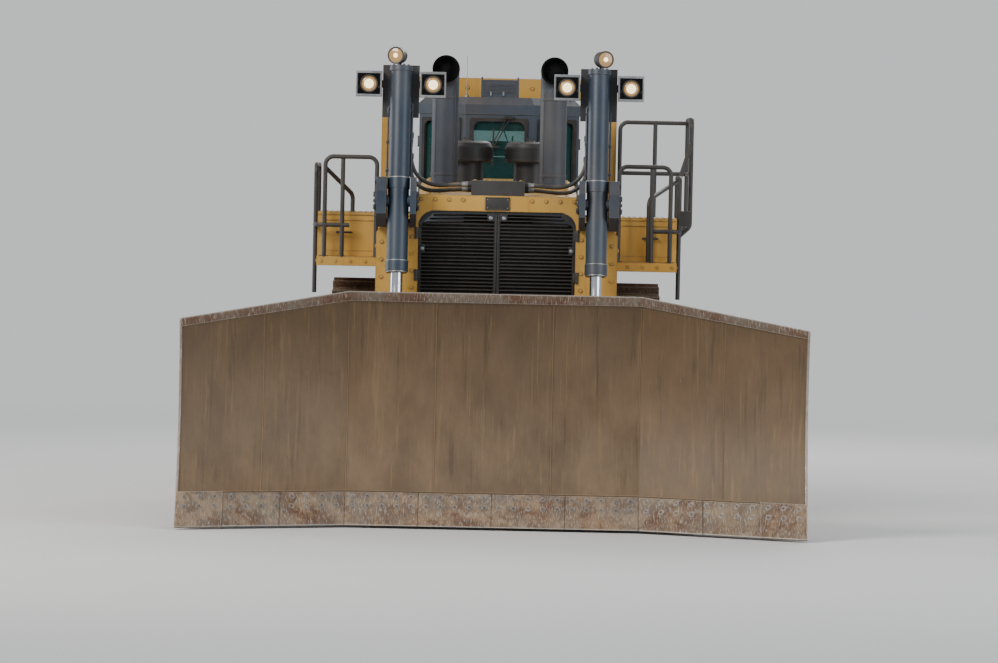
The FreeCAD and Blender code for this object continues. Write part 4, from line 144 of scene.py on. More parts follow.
def both_sides(items: Sequence[tuple]) -> list[tuple]:
    """Rows, rings or places on both sides of the machine.

    Args:
        items: Those of the machine's left, as tuples of vectors and numbers.

    Returns:
        The left ones, and then their mirror images.
    """
    def turned(value: Any, sign: int) -> Any:
        """A place or direction with its first number turned, and any other value as it is."""
        if isinstance(value, (Vector, tuple)):
            return type(value)((sign * value[0] or 0.0, *value[1:]))
        return value

    return [tuple(turned(value, sign) for value in item) for sign in SIDES for item in items]


def rims(half: float, wide: float) -> tuple[Flat, Flat]:
    """The two edge strips of a face that reaches half to either side, as start and end of each."""
    return (-half, wide - half), (half - wide, half)


def collar(inner: float, outer: float, low: float, high: float) -> tuple[Flat, ...]:
    """The turned profile of a plain ring, as corners of radius and distance along its axis."""
    return (inner, low), (outer, low), (outer, high), (inner, high)


# Materials


class Shader:
    """One material's nodes, added a node at a time."""

    def __init__(self, name: str) -> None:
        """Start an empty material that reads Object coordinates."""
        self.material = bpy.data.materials.new(name)
        self.material.use_nodes = True
        self.tree = self.material.node_tree
        self.tree.nodes.clear()
        self.out = self.add("ShaderNodeOutputMaterial")
        self.coords = self.add("ShaderNodeTexCoord").outputs["Object"]

    def add(self, kind: str, feeds: dict[Any, Any] | None = None, **settings: Any) -> bpy.types.Node:
        """Add a node.

        Args:
            kind: Blender's name for the node.
            feeds: Sockets or plain values for its inputs, by name or number.
            settings: Attributes of the node itself.

        Returns:
            The new node.
        """
        return add_node(self.tree, kind, feeds, settings)

    def noise(self, scale: float, detail: float = 4, rough: float = 0.55, stretch: Place = (1, 1, 1),
              bend: float = 0) -> Socket:
        """Cloudy values round 0.5.

        Args:
            scale: Clouds to a metre.
            detail: How many finer layers they have.
            rough: How strong those layers are.
            stretch: Factors along the three axes, where a small one draws the clouds out.
            bend: How far the pattern is warped.

        Returns:
            The values.
        """
        source = self.coords
        if stretch != (1, 1, 1):
            source = self.add("ShaderNodeMapping", {"Vector": source, "Scale": stretch}).outputs[0]
        node = self.add("ShaderNodeTexNoise", {"Vector": source, "Scale": scale, "Detail": detail,
                                               "Roughness": rough, "Distortion": bend})
        return node.outputs["Fac"]

    def ramp(self, source: Socket, low: float, high: float) -> Socket:
        """A soft step from 0 at low to 1 at high."""
        node = self.add("ShaderNodeMapRange", {"Value": source, "From Min": low, "From Max": high},
                        interpolation_type="SMOOTHSTEP")
        return node.outputs["Result"]

    def times(self, first: Any, second: Any) -> Socket:
        """The product of two values."""
        return self.add("ShaderNodeMath", {0: first, 1: second}, operation="MULTIPLY").outputs[0]

    def plus(self, first: Any, second: Any) -> Socket:
        """The sum of two values, held between 0 and 1."""
        return self.add("ShaderNodeMath", {0: first, 1: second}, operation="ADD", use_clamp=True).outputs[0]

    def minus(self, first: Any, second: Any) -> Socket:
        """The first value less the second, held between 0 and 1."""
        node = self.add("ShaderNodeMath", {0: first, 1: second}, operation="SUBTRACT", use_clamp=True)
        return node.outputs[0]

    def mix(self, share: Any, first: Any, second: Any) -> Socket:
        """A colour between two others.

        Args:
            share: How much of the second colour there is.
            first: A socket or three numbers.
            second: A socket or three numbers.

        Returns:
            The colour.
        """
        first, second = ((*c, 1) if isinstance(c, tuple) else c for c in (first, second))
        return self.add("ShaderNodeMix", {0: share, 6: first, 7: second}, data_type="RGBA").outputs[2]

    def upward(self) -> Socket:
        """How far a surface faces up, from 0 to 1."""
        normal = self.add("ShaderNodeNewGeometry").outputs["Normal"]
        return self.ramp(self.add("ShaderNodeSeparateXYZ", {0: normal}).outputs["Z"], 0.15, 0.95)

    def lowness(self, low: float, high: float) -> Socket:
        """How near the ground a place is: 1 under low and 0 over high."""
        parts = self.add("ShaderNodeSeparateXYZ", {0: self.coords})
        return self.ramp(parts.outputs["Z"], high, low)

    def edges(self, radius: float) -> Socket:
        """Where a surface turns a sharp corner within a radius."""
        rounded = self.add("ShaderNodeBevel", {"Radius": radius}, samples=3)
        normal = self.add("ShaderNodeNewGeometry").outputs["Normal"]
        match = self.add("ShaderNodeVectorMath", {0: rounded.outputs[0], 1: normal}, operation="DOT_PRODUCT")
        return self.ramp(match.outputs["Value"], 0.985, 0.86)

    def surface(self, colour: Any, rough: Any, metal: Any = 0.0, height: Any = None, relief: float = 0.2,
                reach: float = 0.002, **extra: Any) -> bpy.types.Material:
        """Finish the material with one shader.

        Args:
            colour: Base colour, as a socket or three numbers.
            rough: Roughness.
            metal: Metallic share.
            height: Socket that gives the bump its height.
            relief: Strength of the bump.
            reach: Depth of the bump in metres.
            extra: Plain values for the shader's other sockets.

        Returns:
            The finished material.
        """
        colour = (*colour, 1) if isinstance(colour, tuple) else colour
        plain = {key.replace("_", " "): value for key, value in extra.items()}
        shader = self.add("ShaderNodeBsdfPrincipled", {"Base Color": colour, "Roughness": rough,
                                                       "Metallic": metal, **plain})
        if height is not None:
            bump = self.add("ShaderNodeBump", {"Height": height, "Strength": relief, "Distance": reach})
            self.tree.links.new(bump.outputs[0], shader.inputs["Normal"])
        return self.finished(shader)

    def finished(self, shader: bpy.types.Node) -> bpy.types.Material:
        """The material with its last shader joined to the output."""
        self.tree.links.new(shader.outputs[0], self.out.inputs["Surface"])
        return self.material


def add_node(tree: bpy.types.NodeTree, kind: str, feeds: dict[Any, Any] | None = None,
             settings: dict[str, Any] | None = None) -> bpy.types.Node:
    """Add a node to a tree of any kind.

    Args:
        tree: The tree.
        kind: Blender's name for the node.
        feeds: Sockets or plain values for its inputs, by name or number.
        settings: Attributes of the node itself.

    Returns:
        The new node.
    """
    node = tree.nodes.new(kind)
    for key, value in (settings or {}).items():
        setattr(node, key, value)
    for key, value in (feeds or {}).items():
        if isinstance(value, Socket):
            tree.links.new(value, node.inputs[key])
        else:
            node.inputs[key].default_value = value
    return node


def shade(colour: Colour, factor: float) -> Colour:
    """A colour made darker or lighter by a factor."""
    return tuple(factor * c for c in colour)


DUST: Colour = (0.36, 0.255, 0.15)
RUST: Colour = (0.115, 0.048, 0.022)
PRIMER: Colour = (0.055, 0.045, 0.038)
GRIME: Colour = (0.075, 0.052, 0.030)
MUD: Colour = (0.155, 0.100, 0.055)
BARE_IRON: Colour = (0.13, 0.10, 0.07)


@dataclass(frozen=True)
class WeatheredPaint:
    """Enamel that has stood outdoors: faded, dusty, chipped at its edges and streaked."""

    name: str
    slot: Slot
    colour: Colour
    faded: Colour
    chipped: Colour = PRIMER
    chips: float = 0.5
    dust: float = 0.5
    gloss: float = 0.42
    mud_line: float = 1.9
    mud_top: float = 1.5

    def material(self) -> bpy.types.Material:
        """Build the enamel's material."""
        made = Shader(self.name)
        base = made.mix(made.ramp(made.noise(1.1, 5, 0.6), 0.3, 0.72), self.colour, self.faded)
        streaks = made.ramp(made.noise(3.2, 6, 0.62, (3.2, 3.2, 0.22)), 0.56, 0.82)
        base = made.mix(made.times(streaks, 0.5), base, shade(self.colour, 0.40))
        grime = made.ramp(made.noise(1.7, 8, 0.7, (1, 1, 0.6)), 0.52, 0.74)
        base = made.mix(made.times(grime, 0.28), base, GRIME)
        speck = made.noise(26, 8, 0.72)
        worn = made.times(made.edges(0.018), made.ramp(made.noise(7, 7, 0.74), 0.34, 0.54))
        flakes = made.ramp(speck, 0.735 - 0.06 * self.chips, 0.765 - 0.06 * self.chips)
        bare = made.times(made.plus(worn, flakes), self.chips)
        base = made.mix(bare, base, self.chipped)
        settled = made.plus(made.times(made.upward(), 0.62), made.lowness(0.15, self.mud_line))
        drift = made.ramp(made.noise(2.3, 9, 0.72), 0.22, 0.66)
        film = made.times(made.ramp(made.noise(0.8, 8, 0.68), 0.28, 0.75), 0.34)
        cover = made.times(made.plus(made.times(settled, drift), film), self.dust)
        base = made.mix(cover, base, DUST)
        mud = made.times(made.ramp(made.noise(4.3, 10, 0.74), 0.46, 0.62), made.lowness(0.1, self.mud_top))
        base = made.mix(made.times(mud, 0.85 * self.dust), base, MUD)
        rough = made.plus(made.times(cover, 0.5), made.times(speck, 0.16))
        rough = made.plus(rough, self.gloss - 0.08)
        relief = made.plus(made.times(made.noise(60, 4, 0.6), 0.45), made.times(made.minus(1.0, bare), 0.5))
        return made.surface(base, rough, 0.0, relief, 0.35, 0.0015)


@dataclass(frozen=True)
class WorkedSteel:
    """Bare steel, rusted where nothing rubs and bright where earth or rock polishes it."""

    name: str
    slot: Slot
    bright: Colour
    dull: Colour
    shine: float = 0.35
    earth: float = 0.6
    grain: Place = (1, 1, 1)
    mud_line: float = 2.6

    def material(self) -> bpy.types.Material:
        """Build the steel's material."""
        made = Shader(self.name)
        patches = made.ramp(made.noise(2.4, 7, 0.66), 0.32, 0.7)
        scratches = made.ramp(made.noise(30, 3, 0.5, self.grain), 0.5, 0.75)
        polished = made.plus(made.times(made.edges(0.02), 0.9), made.times(scratches, self.shine))
        base = made.mix(polished, made.mix(patches, self.dull, RUST), self.bright)
        low = made.plus(made.times(made.upward(), 0.55), made.times(made.lowness(0.1, self.mud_line), 0.55))
        caked = made.ramp(made.noise(5, 9, 0.72), 0.4, 0.62)
        cover = made.times(made.times(low, caked), self.earth)
        base = made.mix(cover, base, DUST)
        rough = made.minus(made.plus(0.72, made.times(cover, 0.25)), made.times(polished, 0.38))
        metal = made.minus(0.75, made.plus(cover, made.times(patches, 0.45)))
        relief = made.plus(made.times(made.noise(34, 7, 0.7), 0.5), made.times(cover, 0.5))
        return made.surface(base, rough, metal, relief, 0.6, 0.003)


@dataclass(frozen=True)
class BladeFace:
    """Mouldboard plate: paint gone to brown scale, combed upwards by the soil that rolls on it."""

    name: str
    slot: Slot
    paint: Colour
    scale: Colour
    bright: Colour
    dust_line: float = 3.4

    def material(self) -> bpy.types.Material:
        """Build the blade's material."""
        made = Shader(self.name)
        combed = made.noise(5.5, 9, 0.72, (5, 0.5, 0.22))
        patches = made.ramp(made.noise(0.8, 7, 0.62, bend=0.5), 0.25, 0.75)
        base = made.mix(patches, self.scale, shade(self.scale, 0.62))
        base = made.mix(made.times(made.ramp(combed, 0.50, 0.74), 0.65), base, self.bright)
        deep = made.times(made.ramp(made.noise(4.2, 7, 0.66, (4, 0.5, 0.2)), 0.54, 0.72), 0.65)
        base = made.mix(deep, base, shade(self.scale, 0.30))
        # The back of the blade keeps its paint
        normal = made.add("ShaderNodeNewGeometry").outputs["Normal"]
        kept = made.ramp(made.add("ShaderNodeSeparateXYZ", {0: normal}).outputs["Y"], 0.05, 0.35)
        painted = made.mix(made.ramp(made.noise(3, 8, 0.7), 0.42, 0.62), self.paint, shade(self.paint, 0.5))
        base = made.mix(made.times(kept, 0.9), base, painted)
        caked = made.ramp(made.noise(1.3, 9, 0.66, (1.5, 1, 0.7)), 0.25, 0.85)
        settled = made.plus(made.times(made.upward(), 0.5), made.lowness(0.0, self.dust_line))
        cover = made.times(caked, made.times(settled, 0.38))
        base = made.mix(cover, base, DUST)
        base = made.mix(made.times(made.edges(0.02), 0.6), base, self.bright)
        rough = made.plus(0.52, made.times(cover, 0.4))
        metal = made.times(made.minus(made.ramp(combed, 0.45, 0.75), kept), 0.5)
        relief = made.plus(made.times(combed, 0.5), made.times(cover, 0.5))
        return made.surface(base, rough, metal, relief, 0.7, 0.004)


@dataclass(frozen=True)
class PlainFinish:
    """A moulded or machined surface with fine grain and a little dust."""

    name: str
    slot: Slot
    colour: Colour
    rough: float
    metal: float = 0.0
    grain: float = 60
    relief: float = 0.25
    dust: float = 0.25
    glint: float = 0.5

    def material(self) -> bpy.types.Material:
        """Build the material."""
        made = Shader(self.name)
        lighter = tuple(min(1.0, 1.35 * c + 0.01) for c in self.colour)
        tone = made.mix(made.ramp(made.noise(6, 5, 0.6), 0.35, 0.7), self.colour, lighter)
        cover = made.times(made.ramp(made.noise(3.1, 8, 0.66), 0.42, 0.7),
                           made.times(made.plus(made.upward(), 0.25), self.dust))
        fine = made.noise(self.grain, 5, 0.6)
        rough = made.plus(made.times(fine, 0.18), made.plus(self.rough - 0.09, made.times(cover, 0.4)))
        return made.surface(made.mix(cover, tone, DUST), rough, self.metal, fine, self.relief, 0.001,
                            Specular_IOR_Level=self.glint)


@dataclass(frozen=True)
class HardChrome:
    """Ground and plated rod with a film of oil and fine rings of dust."""

    name: str
    slot: Slot
    plated: Colour = (0.72, 0.73, 0.74)
    oiled: Colour = (0.30, 0.26, 0.20)

    def material(self) -> bpy.types.Material:
        """Build the material."""
        made = Shader(self.name)
        film = made.ramp(made.noise(4, 6, 0.6), 0.45, 0.75)
        base = made.mix(made.times(film, 0.35), self.plated, self.oiled)
        rough = made.plus(0.1, made.times(film, 0.25))
        return made.surface(base, rough, 1.0, made.noise(220, 2, 0.5), 0.06, 0.0005)


@dataclass(frozen=True)
class WindowGlass:
    """Tinted safety glass, part clear and part glossy, with a thin film of dust."""

    name: str
    slot: Slot
    tint: Colour
    depth: Colour

    def material(self) -> bpy.types.Material:
        """Build the material."""
        made = Shader(self.name)
        clear = made.add("ShaderNodeBsdfTransparent", {"Color": (*self.tint, 1)})
        film = made.ramp(made.noise(1.1, 3, 0.5), 0.50, 0.95)
        tone = made.mix(made.times(film, 0.4), self.depth, DUST)
        gloss = made.add("ShaderNodeBsdfPrincipled", {"Roughness": 0.08, "IOR": 1.5, "Base Color": tone})
        edge = made.add("ShaderNodeLayerWeight", {"Blend": 0.35}).outputs["Fresnel"]
        share = made.plus(made.times(edge, 0.9), made.plus(0.16, made.times(film, 0.14)))
        return made.finished(made.add("ShaderNodeMixShader", {0: share, 1: clear.outputs[0],
                                                              2: gloss.outputs[0]}))


@dataclass(frozen=True)
class LitLens:
    """Ribbed lamp lens with a warm bulb behind it."""

    name: str
    slot: Slot
    colour: Colour
    glow: Colour
    power: float

    def material(self) -> bpy.types.Material:
        """Build the material."""
        made = Shader(self.name)
        ribs = made.noise(55, 1, 0.4, (1, 0.1, 6))
        return made.surface(made.mix(ribs, self.colour, shade(self.colour, 0.75)),
                            0.12, 0.0, ribs, 0.4, 0.001, Coat_Weight=0.6,
                            Emission_Color=(*self.glow, 1), Emission_Strength=self.power)


@dataclass(frozen=True)
class WovenSeat:
    """Coarse woven seat cloth: two crossed sets of threads, dusty on top."""

    name: str
    slot: Slot
    colour: Colour
    thread: float = 0.004

    def material(self) -> bpy.types.Material:
        """Build the material."""
        made = Shader(self.name)
        sets = [made.add("ShaderNodeTexWave", {"Vector": made.coords, "Scale": 1 / self.thread / 6.3,
                                               "Distortion": 0.6, "Detail": 2.0}, bands_direction=direction)
                for direction in ("X", "Z")]
        weave = made.times(sets[0].outputs["Fac"], sets[1].outputs["Fac"])
        base = made.mix(weave, shade(self.colour, 0.6), shade(self.colour, 1.5))
        base = made.mix(made.times(made.ramp(made.noise(7, 6, 0.6), 0.45, 0.8), 0.35), base, DUST)
        return made.surface(base, 0.85, 0.0, weave, 0.6, 0.0012, Sheen_Weight=0.4)


class Finish(Enum):
    """Every finish on the machine."""

    YELLOW = WeatheredPaint("yellow enamel", Slot.YELLOW, (0.50, 0.255, 0.026), (0.57, 0.335, 0.066),
                            chips=0.75, dust=0.52)
    DARK = WeatheredPaint("blue-black enamel", Slot.CYLINDER, (0.011, 0.025, 0.046), (0.024, 0.045, 0.072),
                          (0.16, 0.13, 0.10), chips=0.35, dust=0.27, gloss=0.40)
    BLACK = WeatheredPaint("black enamel", Slot.BLACK, (0.012, 0.013, 0.015), (0.035, 0.036, 0.038),
                           BARE_IRON, chips=0.3, dust=0.20, gloss=0.45)
    GRILLE = WeatheredPaint("grille enamel", Slot.BLACK, (0.008, 0.010, 0.013), (0.022, 0.024, 0.029),
                            BARE_IRON, chips=0.3, dust=0.09, gloss=0.45)
    EXHAUST = WeatheredPaint("stack enamel", Slot.EXHAUST, (0.019, 0.030, 0.048), (0.042, 0.057, 0.076),
                             RUST, chips=0.5, dust=0.32, gloss=0.5)
    # Near-black and without glint: Soot on the stacks' walls, and painted shade where it closes their bores
    SOOT_AND_PAINTED_SHADE = PlainFinish("soot_and_painted_shade", Slot.EXHAUST, (0.002, 0.002, 0.002), 0.95, dust=0.0, glint=0.05)
    TRACK = WorkedSteel("track steel", Slot.TRACK, (0.42, 0.38, 0.33), (0.10, 0.082, 0.066), 0.3, 0.85)
    EDGE = WorkedSteel("cutting edge steel", Slot.BLADE, (0.55, 0.52, 0.47), (0.22, 0.18, 0.14), 0.55, 0.55,
                       (4, 1, 0.3))
    SHANK = WorkedSteel("shank steel", Slot.STEEL, (0.50, 0.46, 0.41), (0.14, 0.11, 0.085), 0.45, 0.5,
                        (1, 1, 0.25))
    BOLT = WorkedSteel("bolt steel", Slot.STEEL, (0.40, 0.38, 0.35), (0.12, 0.10, 0.08), 0.5, 0.3)
    MOULDBOARD = BladeFace("blade plate", Slot.BLADE, (0.50, 0.26, 0.04), (0.118, 0.069, 0.031),
                           (0.26, 0.172, 0.090))
    CHROME = HardChrome("chromed rod", Slot.STEEL)
    GLASS = WindowGlass("window glass", Slot.GLASS, (0.72, 0.83, 0.82), (0.03, 0.13, 0.125))
    RUBBER = PlainFinish("hose rubber", Slot.HOSE, (0.020, 0.021, 0.023), 0.46, grain=180, relief=0.2,
                         dust=0.55)
    SEAL = PlainFinish("window seal", Slot.PLASTIC, (0.008, 0.008, 0.009), 0.8, grain=120, dust=0.3)
    PLASTIC = PlainFinish("cab plastic", Slot.PLASTIC, (0.030, 0.031, 0.033), 0.65, grain=320, relief=0.35,
                          dust=0.3)
    LAMP_METAL = PlainFinish("lamp bracket grey", Slot.LAMP, (0.23, 0.24, 0.25), 0.42, metal=0.7, grain=90,
                             dust=0.35)
    LENS = LitLens("work lamp lens", Slot.LAMP, (0.85, 0.78, 0.60), (1.0, 0.74, 0.36), 2.4)
    LENS_RIM = LitLens("work lamp reflector", Slot.LAMP, (0.36, 0.22, 0.09), (1.0, 0.52, 0.16), 0.22)
    REAR_LENS = LitLens("rear lamp lens", Slot.LAMP, (0.75, 0.72, 0.62), (1.0, 0.85, 0.6), 0.6)
    SEAT = WovenSeat("seat cloth", Slot.FABRIC, (0.035, 0.036, 0.040))

    @property
    def made(self) -> bpy.types.Material:
        """This finish's material, built the first time it is asked for."""
        found = bpy.data.materials.get(self.value.name)
        return found or self.value.material()


# Meshes

# A turned profile that starts on its axis gets this radius there, so that its ring stays whole
AXIS_RADIUS = 1e-4


class Shape:
    """A mesh being put together, in the machine's frame."""

    def __init__(self) -> None:
        """Start an empty mesh."""
        self.mesh = bmesh.new()

    def hull(self, rings: Sequence[Sequence[Vector]], closed: bool = False, caps: bool = True) -> "Shape":
        """Skin rings of equal count.

        Args:
            rings: Corner points of each ring.
            closed: Whether the last ring joins the first.
            caps: Whether the end rings are filled.

        Returns:
            This shape.
        """
        made = [[self.mesh.verts.new(p) for p in ring] for ring in rings]
        count = len(made[0])
        pairs = list(zip(made, made[1:])) + ([(made[-1], made[0])] if closed else [])
        for a, b in pairs:
            for i in range(count):
                j = (i + 1) % count
                self.mesh.faces.new((a[i], a[j], b[j], b[i]))
        if caps and not closed:
            self.mesh.faces.new(list(reversed(made[0])))
            self.mesh.faces.new(made[-1])
        return self

    def plate(self, outline: Sequence[Flat], axis: Axis, low: float, high: float) -> "Shape":
        """Push an outline along an axis.

        Args:
            outline: Corners in the two other axes, in their order.
            axis: The axis it is pushed along.
            low: Where it starts on that axis.
            high: Where it ends.

        Returns:
            This shape.
        """
        split = axis.value
        return self.hull([[Vector((*corner[:split], level, *corner[split:])) for corner in outline]
                          for level in (low, high)])

    def box(self, low: Sequence[float], high: Sequence[float]) -> "Shape":
        """An upright block between two corners."""
        (x0, y0, z0), (x1, y1, z1) = [[f(a, b) for a, b in zip(low, high)] for f in (min, max)]
        return self.plate(((x0, y0), (x1, y0), (x1, y1), (x0, y1)), Axis.UP, z0, z1)

    def block(self, across: Flat, ahead: Flat, high: Flat) -> "Shape":
        """An upright block by its two ends across, ahead and high."""
        return self.box(*(at(*corner) for corner in zip(across, ahead, high)))

    def bar(self, start: Vector, end: Vector, wide: float, deep: float, up: Place = UP) -> "Shape":
        """A rectangular bar between two places.

        Args:
            start: Middle of its first end.
            end: Middle of its other end.
            wide: Its size square to up.
            deep: Its size in the direction nearest to up.
            up: A direction that says which way it stands.

        Returns:
            This shape.
        """
        way = (end - start).normalized()
        side = way.cross(Vector(up))
        side = side.normalized() if side.length > 1e-6 else Vector(LEFT)
        rise = side.cross(way)
        offsets = [side * (wide / 2 * a) + rise * (deep / 2 * b)
                   for a, b in ((-1, -1), (1, -1), (1, 1), (-1, 1))]
        return self.hull([[middle + offset for offset in offsets] for middle in (start, end)])

    def tube(self, points: Sequence[Vector], radius: float, sides: int = 12) -> "Shape":
        """A round bar along points, with each ring square to its bend.

        Args:
            points: The places that it runs through.
            radius: Its radius.
            sides: Corners of each ring.

        Returns:
            This shape.
        """
        ways = [(after - before).normalized() for before, after in zip(points, points[1:])]
        rings, guide = [], None
        for i, point in enumerate(points):
            before = ways[max(0, i - 1)]
            way = (before + ways[min(i, len(ways) - 1)]).normalized()
            guide = guide or Vector(UP if abs(way.z) < 0.9 else LEFT)
            side = way.cross(guide).normalized()
            guide = side.cross(way)
            reach = radius if i in (0, len(ways)) else radius / max(0.5, way.dot(before))
            rings.append([point + (side * math.cos(t) + guide * math.sin(t)) * reach for t in circle(sides)])
        return self.hull(rings)

    def lathe(self, centre: Vector, axis: Sequence[float], profile: Sequence[Flat],
              steps: int = 40) -> "Shape":
        """Turn a profile round an axis.

        Args:
            centre: Where the axis starts.
            axis: Its direction.
            profile: Corners as radius and distance along the axis.
            steps: Corners of each ring.

        Returns:
            This shape.
        """
        turn = Vector(UP).rotation_difference(Vector(axis)).to_matrix()
        rings = []
        for radius, along in profile:
            reach = max(radius, AXIS_RADIUS)
            rings.append([centre + turn @ Vector((reach * math.cos(t), reach * math.sin(t), along))
                          for t in circle(steps)])
        return self.hull(rings)

    def mirrored(self) -> "Shape":
        """Add the same shape on the other side of the machine."""
        whole = self.mesh.verts[:] + self.mesh.edges[:] + self.mesh.faces[:]
        copied = bmesh.ops.duplicate(self.mesh, geom=whole)["geom"]
        for corner in copied:
            if isinstance(corner, bmesh.types.BMVert):
                corner.co.x = -corner.co.x
        bmesh.ops.reverse_faces(self.mesh, faces=[f for f in copied if isinstance(f, bmesh.types.BMFace)])
        return self

    def data(self, bevel: float = 0.0) -> bpy.types.Mesh:
        """The finished mesh with its faces outwards, and its sharp edges rounded to a width."""
        bmesh.ops.remove_doubles(self.mesh, verts=self.mesh.verts[:], dist=1e-5)
        bmesh.ops.recalc_face_normals(self.mesh, faces=self.mesh.faces[:])
        if bevel:
            sharp = [e for e in self.mesh.edges if len(e.link_faces) == 2 and e.calc_face_angle(0) > 0.6]
            bmesh.ops.bevel(self.mesh, geom=sharp, offset=bevel, segments=2, profile=0.6, affect="EDGES",
                            clamp_overlap=True)
        made = bpy.data.meshes.new("shape")
        self.mesh.to_mesh(made)
        self.mesh.free()
        made.polygons.foreach_set("use_smooth", [True] * len(made.polygons))
        made.set_sharp_from_angle(angle=math.radians(32))
        return made

    def place(self, name: str, finish: Finish, bevel: float = 0.0, **where: Any) -> bpy.types.Object:
        """Put the shape on the machine.

        Args:
            name: The piece's name.
            finish: Its finish.
            bevel: Width of the rounding on sharp edges.
            where: Body and slot of the piece, where they aren't the usual ones.

        Returns:
            The piece's object.
        """
        return piece(name, self.data(bevel), finish, **where)


def linked(name: str, data: bpy.types.ID | None) -> bpy.types.Object:
    """A new object in the scene, at the origin."""
    found = bpy.data.objects.new(name, data)
    bpy.context.scene.collection.objects.link(found)
    return found


def piece(name: str, mesh: bpy.types.Mesh, finish: Finish, body: Body = Body.ROOT,
          slot: Slot | None = None) -> bpy.types.Object:
    """Put a finished mesh on the machine.

    Args:
        name: The piece's name.
        mesh: Its mesh, in the machine's frame.
        finish: Its finish, the only one that the mesh keeps.
        body: The body it moves with.
        slot: The record's slot, where it isn't the finish's own; not used.

    Returns:
        The piece's object.
    """
    mesh.name = name
    mesh.materials.clear()
    mesh.materials.append(finish.made)
    mesh.polygons.foreach_set("material_index", [0] * len(mesh.polygons))
    found = linked(name, mesh)
    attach(found, body.value)
    return found


# Geometry Nodes


class Tree:
    """A Geometry Nodes tree with named inputs, built a node at a time."""

    def __init__(self, name: str, **inputs: str) -> None:
        """Start a tree.

        Args:
            name: The tree's name.
            inputs: Kind of each named input, such as Float or Vector.
        """
        self.group = bpy.data.node_groups.new(name, "GeometryNodeTree")
        face = self.group.interface
        face.new_socket("Geometry", in_out="OUTPUT", socket_type="NodeSocketGeometry")
        self.keys = {label: face.new_socket(label, in_out="INPUT", socket_type="NodeSocket" + kind).identifier
                     for label, kind in inputs.items()}
        self.given = self.add("NodeGroupInput").outputs

    def add(self, kind: str, feeds: dict[Any, Any] | None = None, **settings: Any) -> bpy.types.Node:
        """Add a node with its settings, and feed its inputs with sockets or plain values."""
        return add_node(self.group, kind, feeds, settings)

    def close(self, geometry: Socket) -> "Tree":
        """End the tree in real geometry."""
        real = self.add("GeometryNodeRealizeInstances", {"Geometry": geometry})
        self.add("NodeGroupOutput", {0: real.outputs[0]})
        return self

    def times(self, first: Any, second: Any) -> Socket:
        """The product of two values."""
        return self.add("ShaderNodeMath", {0: first, 1: second}, operation="MULTIPLY").outputs[0]

    def facing(self) -> Socket:
        """The turn that points a bolt the way it faces."""
        return self.add("FunctionNodeAlignRotationToVector", {"Vector": self.given["Facing"]},
                        axis="Z").outputs[0]

    def head(self) -> Socket:
        """A hexagon bolt head on its washer, standing on the origin."""
        across, tall = self.given["Across"], self.given["Tall"]
        joined = self.add("GeometryNodeJoinGeometry")
        for sides, wide, deep in ((6, self.times(across, 0.5), tall),
                                  (14, self.times(across, 0.72), self.times(tall, 0.3))):
            drum = self.add("GeometryNodeMeshCylinder", {"Vertices": sides, "Radius": wide, "Depth": deep})
            lift = self.add("ShaderNodeCombineXYZ", {"Z": self.times(deep, 0.5)}).outputs[0]
            part = self.add("GeometryNodeTransform", {"Geometry": drum.outputs[0], "Translation": lift})
            self.group.links.new(part.outputs[0], joined.inputs[0])
        return joined.outputs[0]

    def run(self, base: bpy.types.Mesh | None, values: dict[str, Any]) -> bpy.types.Mesh:
        """Run the tree once.

        Args:
            base: Mesh that the tree starts from, where it has a Geometry input.
            values: A value for each named input.

        Returns:
            A plain mesh.
        """
        holder = linked("holder", base or bpy.data.meshes.new("empty"))
        modifier = holder.modifiers.new("nodes", "NODES")
        modifier.node_group = self.group
        for label, value in values.items():
            modifier[self.keys[label]] = value
        graph = bpy.context.evaluated_depsgraph_get()
        made = bpy.data.meshes.new_from_object(holder.evaluated_get(graph), depsgraph=graph)
        holder.modifiers.remove(modifier)
        bpy.data.objects.remove(holder)
        return made


def bolt_row_tree() -> Tree:
    """Bolts in a straight row, by a first place and a step."""
    tree = Tree("bolt row", Start="Vector", Step="Vector", Count="Int", Facing="Vector", Across="Float",
                Tall="Float")
    line = tree.add("GeometryNodeMeshLine", {"Count": tree.given["Count"], "Offset": tree.given["Step"],
                                             "Start Location": tree.given["Start"]})
    row = tree.add("GeometryNodeInstanceOnPoints", {"Points": line.outputs[0], "Instance": tree.head(),
                                                    "Rotation": tree.facing()})
    return tree.close(row.outputs[0])


def bolt_ring_tree() -> Tree:
    """Bolts on a circle, by its centre, facing and radius."""
    tree = Tree("bolt ring", Centre="Vector", Facing="Vector", Radius="Float", Count="Int", Across="Float",
                Tall="Float")
    round_line = tree.add("GeometryNodeMeshCircle", {"Vertices": tree.given["Count"],
                                                     "Radius": tree.given["Radius"]})
    ring = tree.add("GeometryNodeInstanceOnPoints", {"Points": round_line.outputs[0],
                                                     "Instance": tree.head()})
    placed = tree.add("GeometryNodeTransform", {"Geometry": ring.outputs[0], "Rotation": tree.facing(),
                                                "Translation": tree.given["Centre"]})
    return tree.close(placed.outputs[0])


def copies_tree() -> Tree:
    """One small mesh at each point of another, turned by that point's own turn."""
    tree = Tree("copies", Geometry="Geometry", Part="Object")
    part = tree.add("GeometryNodeObjectInfo", {"Object": tree.given["Part"]}, transform_space="ORIGINAL")
    turn = tree.add("GeometryNodeInputNamedAttribute", {"Name": "turn"}, data_type="FLOAT_VECTOR")
    euler = tree.add("FunctionNodeEulerToRotation", {"Euler": turn.outputs[0]})
    copies = tree.add("GeometryNodeInstanceOnPoints", {"Points": tree.given["Geometry"],
                                                       "Instance": part.outputs["Geometry"],
                                                       "Rotation": euler.outputs[0]})
    return tree.close(copies.outputs[0])


